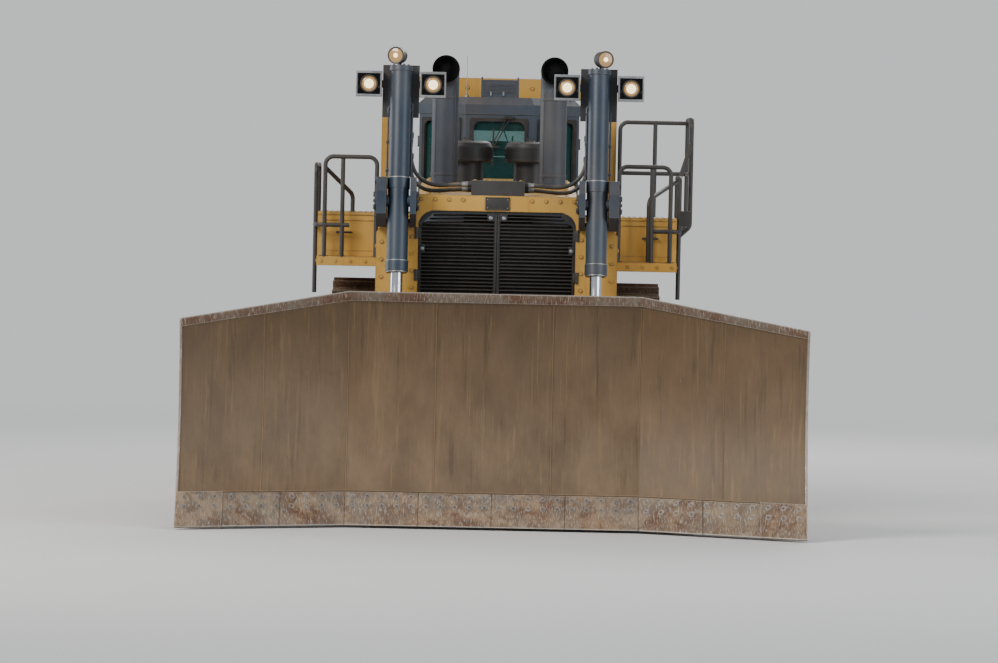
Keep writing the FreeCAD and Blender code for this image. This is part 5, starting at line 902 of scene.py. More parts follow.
class Workshop:
    """Makes the meshes of what repeats."""

    def __init__(self) -> None:
        """Build the trees once."""
        self.row, self.ring, self.placed = bolt_row_tree(), bolt_ring_tree(), copies_tree()

    @staticmethod
    def merged(meshes: Iterable[bpy.types.Mesh]) -> bpy.types.Mesh:
        """One mesh of several."""
        whole = bmesh.new()
        for mesh in meshes:
            whole.from_mesh(mesh)
        made = bpy.data.meshes.new("merged")
        whole.to_mesh(made)
        whole.free()
        return made

    def bolt_rows(self, rows: Sequence[BoltRow], across: float, tall: float) -> bpy.types.Mesh:
        """Straight rows of bolts.

        Args:
            rows: First place, last place, count and facing of each row.
            across: Width of a head.
            tall: Height of a head.

        Returns:
            One mesh of all the rows.
        """
        return self.merged(self.row.run(None, {
            "Start": tuple(start), "Step": tuple((end - start) / max(1, count - 1)), "Count": count,
            "Facing": tuple(facing), "Across": across, "Tall": tall}) for start, end, count, facing in rows)

    def bolt_rings(self, rings: Sequence[BoltRing], across: float, tall: float) -> bpy.types.Mesh:
        """Rings of bolts.

        Args:
            rings: Centre, facing, radius and count of each ring.
            across: Width of a head.
            tall: Height of a head.

        Returns:
            One mesh of all the rings.
        """
        return self.merged(self.ring.run(None, {
            "Centre": tuple(centre), "Facing": tuple(facing), "Radius": radius, "Count": count,
            "Across": across, "Tall": tall}) for centre, facing, radius, count in rings)

    def copies(self, part: bpy.types.Mesh, places: Sequence[tuple[Vector, Place]]) -> bpy.types.Mesh:
        """One small mesh at many places.

        Args:
            part: The mesh, round its own origin.
            places: Place and turn, as Euler angles, of each copy.

        Returns:
            One mesh of all the copies.
        """
        points = bpy.data.meshes.new("points")
        points.from_pydata([tuple(p) for p, _ in places], [], [])
        turns = points.attributes.new("turn", "FLOAT_VECTOR", "POINT")
        turns.data.foreach_set("vector", [v for _, turn in places for v in turn])
        sample = linked("sample", part)
        made = self.placed.run(points, {"Part": sample})
        bpy.data.objects.remove(sample)
        return made


# CAD nodes by their finish

DRESSED: dict[Finish, str] = {
    Finish.TRACK: "track_left track_right sprockets idlers track_rollers",
    Finish.YELLOW: "track_frame_left track_frame_right final_drives main_frame rear_case equalizer_bar "
                   "radiator_guard hood hood_doors rops_frame deck_left deck_right fuel_tank push_arm_left "
                   "push_arm_right ripper_arms ripper_beam",
    Finish.BLACK: "engine_block radiator_core hose_cover precleaners cab_platform guard_rails_left "
                  "guard_rails_right cylinder_lamps",
    Finish.DARK: "lift_yokes cab_shell cab_roof cab_door_left cab_door_right lift_barrels tilt_barrels "
                 "ripper_top_links hoist_barrels",
    Finish.GRILLE: "grille_panels",
    Finish.EXHAUST: "exhaust_stacks",
    Finish.GLASS: "cab_glass door_glass_left door_glass_right",
    Finish.SEAT: "seat",
    Finish.PLASTIC: "cab_consoles",
    Finish.MOULDBOARD: "blade_body",
    Finish.EDGE: "cutting_edge",
    Finish.CHROME: "lift_rods tilt_rods hoist_rods",
    Finish.SHANK: "ripper_shank",
    Finish.LAMP_METAL: "rear_lamps",
    Finish.RUBBER: "hose_left_upper hose_left_lower hose_right_upper hose_right_lower",
}


def dress_nodes() -> None:
    """Give every CAD node its finish."""
    finishes = {name: finish for finish, names in DRESSED.items() for name in names.split()}
    for name, node in frame["nodes"].items():
        node.data.materials.clear()
        node.data.materials.append(finishes[name].made)
    log.info("dressed %d nodes", len(frame["nodes"]))


# Sub-assemblies


@dataclass
class Undercarriage:
    """Track hardware: shoe bolts, link plates and pins, hub and cover bolts."""

    shop: Workshop
    gauge: float = 2.896
    pitch_circle_links: int = 11
    shoes: int = 40
    idler_tread: float = 0.430
    link_under_pin: float = 0.095
    link_over_pin: float = 0.105
    idler_ahead: float = 2.222
    idler_high: float = 0.740
    sprocket_ahead: float = -0.700
    sprocket_high: float = 1.700
    shoe_thick: float = 0.030
    link_rails: tuple[float, float] = (0.080, 0.180)
    bolt_across: float = 0.042
    bolt_tall: float = 0.020
    bolt_sunk: float = 0.002

    def wheels(self, pitch: float) -> list[tuple[float, float, float]]:
        """Ahead, high and radius of the three wheels that the pin line runs round."""
        idler = self.idler_tread + self.link_under_pin
        sprocket = self.pitch_circle_links * pitch / (2 * math.pi)
        return [(self.idler_ahead, self.idler_high, idler),
                (self.sprocket_ahead, self.sprocket_high, sprocket),
                (-self.idler_ahead, self.idler_high, idler)]

    def walk(self, pitch: float, way: float) -> tuple[float, Vector]:
        """Follow the pin line.

        Args:
            pitch: Length of a link.
            way: Distance along the line.

        Returns:
            Length of the whole line, and the place as (ahead, high).
        """
        wheels, total, found = self.wheels(pitch), 0.0, None
        normals = []
        for i, (a, b, ra) in enumerate(wheels):
            c, d, rb = wheels[(i + 1) % 3]
            far = math.hypot(c - a, d - b)
            du, dz, lean = (c - a) / far, (d - b) / far, (ra - rb) / far
            flat = math.sqrt(1 - lean * lean)
            normals.append((du * lean + dz * flat, dz * lean - du * flat))
        for i, (u, z, r) in enumerate(wheels):
            before, after = normals[i - 1], normals[i]
            first = math.atan2(before[1], before[0])
            turn = (math.atan2(after[1], after[0]) - first) % (2 * math.pi)
            if found is None and way <= total + r * turn:
                angle = first + (way - total) / r
                found = Vector((u + r * math.cos(angle), z + r * math.sin(angle)))
            total += r * turn
            c, d, rb = wheels[(i + 1) % 3]
            start = Vector((u + r * after[0], z + r * after[1]))
            end = Vector((c + rb * after[0], d + rb * after[1]))
            run = (end - start).length
            if found is None and way <= total + run:
                found = start.lerp(end, (way - total) / run)
            total += run
        return total, found

    def pins(self) -> list[Vector]:
        """Places of the track's pins as (ahead, high)."""
        pitch = 0.3
        for _ in range(60):
            pitch = self.walk(pitch, 0)[0] / self.shoes
        return [self.walk(pitch, i * pitch)[1] for i in range(self.shoes)]

    def links(self) -> list[tuple[Vector, Vector, float]]:
        """Middle of each link, its outward direction and its turn about the machine's X axis."""
        pins, found = self.pins(), []
        for i, pin in enumerate(pins):
            after = pins[(i + 1) % self.shoes]
            middle, run = (pin + after) / 2, (after - pin).normalized()
            # Outwards lies to the right of the way round, and Y runs against ahead
            outward = Vector((0, -run.y, -run.x))
            found.append((middle, outward, math.atan2(outward.y, outward.z) * -1))
        return found

    def link_plate(self) -> bpy.types.Mesh:
        """Side face of one track link, raised a little from the rail."""
        half, thick = 0.152, 0.014
        outline = [(-half, -0.028), (-half + 0.03, -0.062), (-0.06, -0.070), (0.06, -0.070),
                   (half - 0.03, -0.062), (half, -0.028), (half, 0.028), (half - 0.035, 0.060),
                   (0.075, 0.092), (-0.075, 0.092), (-half + 0.035, 0.060), (-half, 0.028)]
        shape = Shape().plate(outline, Axis.ACROSS, -thick, thick)
        boss = ((0.0, 0.0), (0.046, 0.0), (0.046, 0.034), (0.030, 0.040), (0.0, 0.040))
        for start, facing in ((-thick, LEFT), (thick, RIGHT)):
            shape.lathe(Vector((start, -half + 0.006, 0)), facing, boss, 16)
        return shape.data()

    def bolt_head(self) -> bpy.types.Mesh:
        """One hexagon head of a shoe bolt, standing along Z."""
        radius, tall = self.bolt_across / 2, self.bolt_tall
        profile = ((0, 0), (radius, 0), (radius, tall * 0.8), (radius * 0.8, tall), (0, tall))
        return Shape().lathe(Vector(), UP, profile, 6).data()

    def make(self) -> None:
        """Build the hardware of both tracks."""
        head, plate = self.bolt_head(), self.link_plate()
        inner, outer = self.link_rails
        lift = self.link_over_pin + self.shoe_thick - self.bolt_sunk
        for side, sign in zip(("left", "right"), SIDES):
            middle = sign * self.gauge / 2
            heads, plates = [], []
            for spot, outward, turn in self.links():
                run = Vector((0, outward.z, -outward.y))
                for across in (-outer + 0.03, -inner - 0.025, inner + 0.025, outer - 0.03):
                    place = at(middle + across, spot.x, spot.y) + outward * lift
                    heads += [(place + run * along, (turn, 0, 0)) for along in (-0.03, 0.055)]
                plates += [(at(middle + across, spot.x, spot.y), (turn, 0, 0))
                           for across in (-outer, -inner, inner, outer)]
            piece(f"shoe_bolts_{side}", self.shop.copies(head, heads), Finish.BOLT, slot=Slot.TRACK)
            piece(f"track_links_{side}", self.shop.copies(plate, plates), Finish.TRACK)
        self.covers()
        log.info("undercarriage: %d links a side", self.shoes)

    def covers(self) -> None:
        """Caps and bolts of the final drives and idlers."""
        middle, hub = self.gauge / 2, (self.sprocket_ahead, self.sprocket_high)
        idlers = [(ahead, self.idler_high) for ahead in (self.idler_ahead, -self.idler_ahead)]
        rings = [(at(middle + 0.300, *hub), LEFT, 0.175, 12)]
        rings += [(at(middle + 0.230, *idler), LEFT, 0.085, 6) for idler in idlers]
        piece("cover_bolts", self.shop.bolt_rings(both_sides(rings), 0.045, 0.024), Finish.YELLOW)
        caps = Shape()
        for idler in idlers:
            caps.lathe(at(middle + 0.228, *idler), LEFT,
                       ((0, 0), (0.120, 0), (0.120, 0.010), (0.060, 0.016), (0.055, 0.030), (0, 0.034)), 32)
        caps.lathe(at(middle + 0.298, *hub), LEFT,
                   ((0, 0), (0.120, 0), (0.112, 0.022), (0.050, 0.028), (0.045, 0.040), (0, 0.042)))
        caps.mirrored().place("hub_caps", Finish.YELLOW)


@dataclass
class RadiatorFront:
    """The louvred grille panels and their fastenings, the guard's bolts and the bare plate."""

    shop: Workshop
    guard_ahead: float = 3.0
    grille_ahead: float = 2.98
    grille_half: float = 0.823
    grille_low: float = 1.954
    grille_high: float = 3.234
    panel_deep: float = 0.060
    panel_rim: float = 0.028
    corner_cut: float = 0.130
    corner_round: float = 0.155
    louvres: int = 32
    louvre_rise: float = 0.5
    plate_half: float = 0.127
    plate_high: float = 3.32
    plate_tall: float = 0.132
    plate_thick: float = 0.010
    rim: float = 0.010

    def bare_plate(self) -> None:
        """The plate over the grille, left bare, with a raised rim and four rivets."""
        half, tall, front = self.plate_half, self.plate_tall / 2, self.guard_ahead + self.plate_thick
        high, raised = self.plate_high, (front - 0.001, front + 0.004)
        shape = Shape().block((-half, half), (self.guard_ahead - 0.002, front), (high - tall, high + tall))
        for start, end in rims(tall, self.rim):
            shape.block((-half, half), raised, (high + start, high + end))
        for start, end in rims(half, self.rim):
            shape.block((start, end), raised, (high - tall, high + tall))
        shape.place("bare_plate", Finish.BLACK, 0.0015)
        rivets = Shape()
        for across in (-half + 0.022, half - 0.022):
            for rise in (-tall + 0.022, tall - 0.022):
                rivets.lathe(at(across, front, high + rise), FRONT,
                             ((0, 0), (0.006, 0), (0.005, 0.003), (0, 0.004)), 12)
        rivets.place("plate_rivets", Finish.BOLT)

    def louvre(self, step: float, start: float, end: float) -> Shape:
        """One louvre, its foot on the origin and its back edge raised.

        Args:
            step: Distance from one louvre to the next.
            start: Where it starts across.
            end: Where it ends.

        Returns:
            Its shape.
        """
        back, rise = self.panel_deep - 0.006, step * self.louvre_rise
        slope = ((0.006, 0.0), (0.006, 0.007), (back, rise + 0.004), (back, rise))
        return Shape().plate(slope, Axis.ACROSS, start, end)

    def panels(self) -> None:
        """Both grille panels in place of their plain solid: a narrow rim and close, sloped louvres."""
        face, back = self.grille_ahead, self.grille_ahead - self.panel_deep
        rim, cut = self.panel_rim, self.corner_cut
        inner, outer, low, high = 0.003, self.grille_half - 0.003, self.grille_low, self.grille_high
        outside = [(inner, low), (outer, low), (outer, high - cut), (outer - cut, high), (inner, high)]
        inside = [(inner + rim, low + rim), (outer - rim, low + rim), (outer - rim, high - cut - rim / 2),
                  (outer - cut - rim / 2, high - rim), (inner + rim, high - rim)]
        frames = Shape().hull([[at(a, face, b), at(c, face, d), at(c, back, d), at(a, back, b)]
                               for (a, b), (c, d) in zip(outside, inside)], closed=True)
        # The guard's opening is cut straight at its corners, and a lapped sheet rounds them
        bend = [(self.grille_half + self.corner_round * (math.cos(k * math.pi / 20) - 1),
                 high + self.corner_round * (math.sin(k * math.pi / 20) - 1)) for k in range(11)]
        bend += [(outer - cut - 0.004, high - 0.016), (outer - 0.016, high - cut - 0.004)]
        frames.hull([[at(a, ahead, b) for a, b in bend] for ahead in (self.guard_ahead + 0.003, face)])
        step = (high - low - 2 * rim) / self.louvres
        start, end = inner + rim - 0.002, outer - rim + 0.002
        places, shorter = [], []
        for i in range(self.louvres):
            foot = low + rim + step * (i + 0.2)
            # The top louvres end at the cut corner
            slack = foot + step - (high - cut - rim / 2)
            if slack > 0:
                short = self.louvre(step, start, end - slack)
                short.mesh.transform(Matrix.Translation(at(0, face, foot)))
                shorter.append(short.mirrored().data())
            else:
                places += [(at(across, face, foot), (0, 0, 0)) for across in (0, -start - end)]
        long = self.shop.copies(self.louvre(step, start, end).data(), places)
        mesh = self.shop.merged([frames.mirrored().data(0.002), long, *shorter])
        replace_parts(piece("grille_louvres", mesh, Finish.GRILLE), "grille_panels")

    def grille_hardware(self) -> None:
        """Latch pads, bright bolts, middle strips and hinges of the two grille panels."""
        face = self.grille_ahead
        pads = Shape().block((0.029, 0.104), (face - 0.03, face + 0.004), (3.135, 3.208))
        pads.block((0.752, 0.818), (face - 0.03, face + 0.004), (2.79, 2.885))
        pads.block((0.004, 0.020), (face - 0.002, face + 0.008), (1.97, 3.20))
        pads.mirrored().place("grille_pads", Finish.GRILLE, 0.003)
        heads = Shape()
        for across, high in ((0.069, 3.168), (0.781, 2.837)):
            heads.lathe(at(across, face + 0.004, high), FRONT,
                        ((0, 0), (0.020, 0), (0.020, 0.005), (0.014, 0.007), (0.013, 0.016), (0, 0.018)), 24)
        heads.mirrored().place("grille_bolts", Finish.LAMP_METAL, slot=Slot.STEEL)
        hinges = Shape()
        for high in (2.12, 2.56, 3.0):
            hinges.lathe(at(self.grille_half + 0.020, self.guard_ahead + 0.004, high - 0.06), UP,
                         ((0, 0), (0.017, 0), (0.017, 0.036), (0.015, 0.038), (0.017, 0.040), (0.017, 0.120),
                          (0, 0.120)), 18)
            hinges.block((self.grille_half - 0.02, self.grille_half + 0.02), (face, self.guard_ahead + 0.006),
                         (high - 0.05, high + 0.05))
        hinges.mirrored().place("grille_hinges", Finish.BLACK, 0.001)

    def guard_bolts(self) -> None:
        """Rows of bolts that hold the guard's plates."""
        face = self.guard_ahead
        rows = both_sides([(at(0.885, face, 1.72), at(0.885, face, 2.96), 8, FRONT),
                           (at(1.205, face, 1.80), at(1.205, face, 2.90), 7, FRONT),
                           (at(0.36, face, 3.355), at(0.80, face, 3.355), 4, FRONT),
                           *((at(1.265, 2.52, high), at(1.265, 2.93, high), 3, LEFT)
                             for high in (1.85, 2.35, 2.85))])
        rows.append((at(-0.9, face, 1.61), at(0.9, face, 1.61), 9, FRONT))
        piece("guard_bolts", self.shop.bolt_rows(rows, 0.034, 0.014), Finish.YELLOW)

    def make(self) -> None:
        """Build the front's panels and hardware."""
        self.panels()
        self.bare_plate()
        self.grille_hardware()
        self.guard_bolts()
        log.info("radiator front: bare plate %.0f mm wide", 2000 * self.plate_half)


@dataclass
class Hood:
    """Screws, seams, lifting eyes, and the side doors' hinges and latches."""

    shop: Workshop
    front_ahead: float = 2.45
    back_ahead: float = -0.538
    front_high: float = 3.404
    slope: float = 0.056
    half: float = 0.85
    doors: int = 3
    door_low: float = 2.30
    door_top: float = 3.25

    def on_top(self, across: float, ahead: float, over: float = 0.0) -> Vector:
        """A place on the hood's sheet or over it."""
        return at(across, ahead, self.front_high + (self.front_ahead - ahead) * self.slope + over)

    def seams(self) -> None:
        """Lapped joints across the hood, and four lifting eyes."""
        shape = Shape()
        for ahead in (1.92, 0.16):
            shape.bar(self.on_top(-0.757, ahead), self.on_top(0.757, ahead), 0.05, 0.008)
        shape.place("hood_seams", Finish.YELLOW, 0.002)
        eyes = Shape()
        for ahead in (2.25, -0.28):
            foot = self.on_top(0.62, ahead, -0.004)
            eyes.tube([foot + Vector((0, back, rise)) for back, rise in
                       ((-0.05, 0), (-0.05, 0.045), (-0.03, 0.07), (0.03, 0.07), (0.05, 0.045), (0.05, 0))],
                      0.011)
        eyes.mirrored().place("lifting_eyes", Finish.YELLOW)

    def screws(self) -> None:
        """Rows of screws along the hood and beside its seams."""
        up = (0, -self.slope, 1)
        rows = both_sides([(self.on_top(0.72, 2.38), self.on_top(0.72, -0.47), 14, up)])
        rows += [(self.on_top(-0.62, ahead), self.on_top(0.62, ahead), 9, up) for ahead in (1.98, 0.22)]
        rows += [(at(-0.24, ahead, 3.56), at(0.24, ahead, 3.56), 4, UP) for ahead in (2.93, 2.48)]
        piece("hood_screws", self.shop.bolt_rows(rows, 0.026, 0.010), Finish.YELLOW)

    def latch(self) -> bpy.types.Mesh:
        """A paddle latch in its dished pan, facing +X."""
        shape = Shape().box((0.0, -0.055, -0.04), (0.006, 0.055, 0.04))
        return shape.box((0.005, -0.035, -0.018), (0.016, 0.035, 0.022)).data(0.002)

    def hinge(self) -> bpy.types.Mesh:
        """A strap hinge with its knuckle, facing +X."""
        shape = Shape().box((0.0, -0.045, -0.07), (0.005, 0.045, -0.004))
        return shape.lathe(Vector((0.006, -0.05, 0)), BACK,
                           ((0, 0), (0.010, 0), (0.010, 0.032), (0.008, 0.034), (0.010, 0.036),
                            (0.010, 0.100), (0, 0.100)), 14).data()

    def make(self) -> None:
        """Build the hood's hardware."""
        self.seams()
        self.screws()
        run = (self.front_ahead - self.back_ahead) / self.doors
        spots = [(sign * self.half, self.back_ahead + run * (i + share), (0, 0, 0.0 if sign > 0 else math.pi))
                 for i in range(self.doors) for share in (0.25, 0.75) for sign in SIDES]
        for name, part, high, finish in (("door_latches", self.latch(), self.door_low + 0.034, Finish.BLACK),
                                         ("door_hinges", self.hinge(), self.door_top - 0.02, Finish.YELLOW)):
            places = [(at(across, ahead, high), turn) for across, ahead, turn in spots]
            piece(name, self.shop.copies(part, places), finish)
        log.info("hood: %d latches and as many hinges", len(spots))


@dataclass
class Exhaust:
    """Soot and painted shade in the stack mouths, bands and seams on the stacks, and the air precleaners'
    screens.
    """

    shop: Workshop
    side: float = 0.58
    ahead: float = 1.40
    radius: float = 0.143
    wall: float = 0.015
    mouth_ahead: float = 1.66
    mouth_high: float = 4.74
    bore: float = 0.09
    cleaner_side: float = 0.34
    cleaner_ahead: float = 0.70
    cleaner_radius: float = 0.27
    cleaner_high: float = 3.98
    vanes: int = 72

    def mouths(self) -> None:
        """Black lining and lip of each mouth. Soot coats the walls; the near-black disc that closes the bore
        is painted shade for the pipe's dark depth.
        """
        inner, outer, bore = self.radius - self.wall, self.radius + 0.002, self.bore
        # The disc at the bore's depth closes the stack: a near-black plug painted as shade for the pipe's
        # dark inside
        lining = ((0, bore), (inner, bore), (inner, 0.0), (outer, 0.0), (outer, 0.05), (outer + 0.002, 0.05),
                  (outer + 0.002, -0.003), (inner - 0.003, -0.003), (inner - 0.003, bore - 0.003),
                  (0, bore - 0.003))
        shape = Shape().lathe(at(self.side, self.mouth_ahead, self.mouth_high), BACK, lining, 48)
        shape.mirrored().place("stack_mouths", Finish.SOOT_AND_PAINTED_SHADE)

    def bands(self) -> None:
        """Clamp bands, their bolts' lugs, and the welded seams of the jackets."""
        shape, edge = Shape(), self.radius
        for high in (3.60, 4.42):
            shape.lathe(at(self.side, self.ahead, high), UP,
                        ((edge - 0.004, 0), (edge + 0.005, 0.002), (edge + 0.005, 0.030),
                         (edge - 0.004, 0.032)), 48)
            shape.block((self.side - 0.02, self.side + 0.02),
                        (self.ahead - edge - 0.035, self.ahead - edge + 0.004), (high + 0.002, high + 0.030))
        for angle in (0.7, 2.4, 3.9, 5.5):
            foot = Vector((math.cos(angle), math.sin(angle), 0)) * (edge + 0.001)
            shape.tube([at(self.side, self.ahead, high) + foot for high in (3.57, 4.50)], 0.004, 6)
        shape.mirrored().place("stack_bands", Finish.EXHAUST, 0.001)

    def cleaners(self) -> None:
        """Intake vanes round each precleaner, its top cover's rim and wing nut."""
        blade = Shape().box((-0.003, -0.0015, -0.052), (0.004, 0.0015, 0.052)).data()
        reach = self.cleaner_radius - 0.001
        places = [(at(sign * self.cleaner_side, self.cleaner_ahead, self.cleaner_high - 0.135)
                   + Vector((math.cos(angle), math.sin(angle), 0)) * reach, (0, 0, angle))
                  for sign in SIDES for angle in circle(self.vanes)]
        piece("cleaner_vanes", self.shop.copies(blade, places), Finish.BLACK)
        covers = Shape()
        spot, edge = at(self.cleaner_side, self.cleaner_ahead, self.cleaner_high), self.cleaner_radius
        covers.lathe(spot, UP, ((0, 0), (0.05, 0), (0.045, 0.006), (0.02, 0.010), (0.015, 0.028),
                                (0, 0.030)), 24)
        covers.lathe(spot, UP, collar(edge - 0.002, edge + 0.006, -0.205, -0.190), 56)
        covers.lathe(spot, UP, collar(edge - 0.002, edge + 0.005, -0.080, -0.068), 56)
        covers.box(spot + Vector((-0.05, -0.004, 0.018)), spot + Vector((0.05, 0.004, 0.036)))
        covers.mirrored().place("cleaner_covers", Finish.BLACK)

    def make(self) -> None:
        """Build the hood's stacks and precleaners' details."""
        self.mouths()
        self.bands()
        self.cleaners()
        log.info("exhaust: mouth %.0f mm across", 2000 * (self.radius - self.wall))


@dataclass
class LiftCylinders:
    """Bolts, rings, pipes and lamps that ride the lift barrels, and the yokes' fastenings."""

    shop: Workshop
    side: float = 1.036
    trunnion: Flat = (3.23, 3.33)
    eye: Flat = (3.62, 1.0)
    radius: float = 0.110
    above: float = 1.420
    below: float = 0.740
    yoke_in: float = 0.850
    yoke_out: float = 1.265
    cap: float = 0.016
    lamp_out: float = 0.335
    lamp_high: float = 4.55
    lamp_half: float = 0.135
    lamp_front: float = 3.0358
    lens_ahead: float = 3.0058
    lens_radius: float = 0.082
    top_lamp_high: float = 4.85
    plate_back: float = 2.8858

    def axis(self, way: float) -> Vector:
        """A place on the left barrel's axis, so far below its trunnion."""
        (a, b), (c, d) = self.trunnion, self.eye
        share = way / math.hypot(c - a, d - b)
        return at(self.side, a + (c - a) * share, b + (d - b) * share)

    def rings(self) -> None:
        """Bright ring over the collar, and the bolts of gland and head."""
        down = (self.axis(1) - self.axis(0)).normalized()
        shape, edge = Shape(), self.radius
        for way in (-0.246, 0.628):
            shape.lathe(self.axis(way), down, ((edge - 0.003, 0), (edge + 0.010, 0.001),
                                               (edge + 0.010, 0.010), (edge - 0.003, 0.011)), 48)
        shape.lathe(self.axis(0.744), down, collar(0.066, edge + 0.002, 0, 0.010), 48)
        shape.mirrored().place("barrel_rings", Finish.LAMP_METAL, body=Body.LIFT_BARRELS, slot=Slot.STEEL)
        rings = both_sides([(self.axis(-self.above), -down, 0.096, 10),
                            (self.axis(self.below), down, 0.096, 12)])
        piece("barrel_bolts", self.shop.bolt_rings(rings, 0.026, 0.016), Finish.DARK, Body.LIFT_BARRELS)

    def pipes(self) -> None:
        """Steel oil pipe and lamp conduit clipped to each barrel."""
        shape = Shape()
        for across, back, start, end, radius in ((-0.122, 0.055, -0.26, -1.02, 0.014),
                                                 (0.126, 0.045, -0.26, -0.98, 0.009)):
            middle = 0.5 * (start + end)
            points = [self.axis(way) + Vector((across, back, 0)) for way in (start, middle, end)]
            inward = self.axis(end - 0.03) + Vector((across * 0.8, back, 0))
            shape.tube([*points, inward], radius)
            for way in (start - 0.06, middle, end + 0.06):
                shape.box(*(self.axis(way) + Vector((across * share, back + rise, up)) for share, rise, up in
                            ((0.75, -0.022, -0.014), (1.12, 0.022, 0.014))))
        shape.mirrored().place("barrel_pipes", Finish.DARK, 0.001, body=Body.LIFT_BARRELS)

    def lamp_frames(self) -> None:
        """Bright frames and dark bezels of the work lamps."""
        bars, bezels, half, front, high = Shape(), Shape(), self.lamp_half, self.lamp_front, self.lamp_high
        for middle in (self.side - self.lamp_out, self.side + self.lamp_out):
            for start, end in rims(half, 0.026):
                bars.block((middle - half, middle + half), (front - 0.10, front + 0.004),
                           (high + start, high + end))
            for start, end in rims(half, 0.014):
                bars.block((middle + start, middle + end), (front - 0.02, front + 0.003),
                           (high - half, high + half))
            bezels.lathe(at(middle, self.lens_ahead, high), FRONT,
                         ((self.lens_radius - 0.002, -0.03), (0.094, -0.03), (0.096, 0.012), (0.090, 0.020),
                          (0.078, 0.018), (0.078, 0.0)))
            for across in (-0.105, 0.105):
                bezels.bar(at(middle + across, front - 0.11, high - 0.03),
                           at(middle + across, front - 0.03, high - 0.03), 0.012, 0.03)
        face, way = self.top_lamp()
        bezels.lathe(face - way * 0.012, way, ((0.083, 0), (0.090, 0), (0.091, 0.016), (0.086, 0.020),
                                               (0.074, 0.018), (0.074, 0.010)), 36)
        bars.mirrored().place("lamp_frames", Finish.LAMP_METAL, 0.003, body=Body.LIFT_BARRELS)
        bezels.mirrored().place("lamp_bezels", Finish.BLACK, 0.001, body=Body.LIFT_BARRELS)

    def top_lamp(self) -> tuple[Vector, Vector]:
        """Middle of the left top lamp's face, and the way it looks."""
        stalk = at(self.side + 0.02, self.plate_back, self.top_lamp_high)
        face = at(self.side + 0.06, self.plate_back + 0.13, self.top_lamp_high)
        return face, (face - stalk).normalized()

    def lenses(self) -> None:
        """Domed, ribbed glass of the lamps: a lit middle and the reflector round it."""
        middle = ((0, -0.004), (0.050, -0.004), (0.050, 0.015), (0.022, 0.019), (0, 0.020))
        rim = ((0.048, -0.004), (0.078, -0.004), (0.078, 0.004), (0.066, 0.011), (0.048, 0.015))
        bulb = ((0, -0.003), (0.024, -0.003), (0.024, 0.010), (0, 0.012))
        bowl = ((0.023, -0.003), (0.074, -0.003), (0.074, 0.003), (0.060, 0.008), (0.023, 0.010))
        for name, dome, top_dome, finish in (("lamp_lenses", middle, bulb, Finish.LENS),
                                             ("lamp_reflectors", rim, bowl, Finish.LENS_RIM)):
            glass = Shape()
            for across in (self.side - self.lamp_out, self.side + self.lamp_out):
                glass.lathe(at(across, self.lens_ahead, self.lamp_high), FRONT, dome)
            glass.lathe(*self.top_lamp(), top_dome, 36)
            glass.mirrored().place(name, finish, body=Body.LIFT_BARRELS)

    def yokes(self) -> None:
        """Bolts of the trunnion caps and of the yokes' feet."""
        out = self.yoke_out
        rings = both_sides([(at(out + self.cap, *self.trunnion), LEFT, 0.078, 8),
                            (at(self.yoke_in - self.cap, *self.trunnion), RIGHT, 0.078, 8)])
        rows = both_sides([(at(out, 2.60, 3.17), at(out, 2.94, 3.17), 4, LEFT),
                           (at(out, 3.02, 3.52), at(out, 3.22, 3.54), 3, LEFT)])
        heads = [self.shop.bolt_rings(rings, 0.030, 0.016), self.shop.bolt_rows(rows, 0.040, 0.018)]
        piece("yoke_bolts", self.shop.merged(heads), Finish.DARK)

    def make(self) -> None:
        """Build what rides the lift barrels, and the yokes' bolts."""
        self.rings()
        self.pipes()
        self.lamp_frames()
        self.lenses()
        self.yokes()
        log.info("lift cylinders: six lamps")


@dataclass
class Hoses:
    """The four hydraulic hoses between the cover on the hood and the risers on the yokes."""

    diameter: float = 0.044
    upper: tuple[Place, ...] = ((0.320, 2.820, 3.515), (0.430, 2.820, 3.515), (0.560, 2.822, 3.500),
                                (0.683, 2.820, 3.502), (0.794, 2.816, 3.546), (0.877, 2.808, 3.631),
                                (0.915, 2.796, 3.742), (0.928, 2.785, 3.850), (0.928, 2.785, 3.950))
    lower: tuple[Place, ...] = ((0.320, 2.700, 3.465), (0.430, 2.700, 3.465), (0.580, 2.703, 3.445),
                                (0.730, 2.706, 3.442), (0.820, 2.709, 3.479), (0.888, 2.712, 3.547),
                                (0.925, 2.716, 3.636), (0.925, 2.716, 3.730))
    lengths: Flat = (0.924, 0.791)

    def hose(self, name: str, route: Sequence[Vector]) -> None:
        """One hose on its route.

        Args:
            name: The hose's CAD node.
            route: The points of its middle line.
        """
        line = bpy.data.curves.new(name, "CURVE")
        line.dimensions, line.bevel_depth, line.bevel_resolution = "3D", self.diameter / 2, 5
        line.resolution_u, line.use_fill_caps = 14, True
        spline = line.splines.new("NURBS")
        spline.points.add(len(route) - 1)
        for point, place in zip(spline.points, route):
            point.co = (*place, 1.0)
        spline.order_u = 3
        spline.use_endpoint_u = True
        line.materials.append(Finish.RUBBER.made)
        found = linked("line_" + name, line)
        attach(found, Body.ROOT.value)
        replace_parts(found, name)
        crimps = Shape()
        for spot, following in ((route[0], route[1]), (route[-1], route[-2])):
            crimps.lathe(spot, (following - spot).normalized(),
                         ((0.0, 0.0), (0.030, 0.0), (0.030, 0.016), (0.026, 0.018), (0.027, 0.030),
                          (0.0258, 0.034), (0.027, 0.038), (0.0258, 0.042), (0.027, 0.046), (0.0255, 0.060),
                          (0.0, 0.060)), 24)
        fitting = crimps.place("crimps_" + name, Finish.LAMP_METAL, slot=Slot.STEEL)

    def make(self) -> None:
        """Build the hoses."""
        for part, sign in zip(("left", "right"), SIDES):
            for level, route, length in zip(("upper", "lower"), (self.upper, self.lower), self.lengths):
                points = [at(sign * across, ahead, high) for across, ahead, high in route]
                self.hose(f"hose_{part}_{level}", points)
        log.info("hoses: four, %.2f m and %.2f m long", *self.lengths)


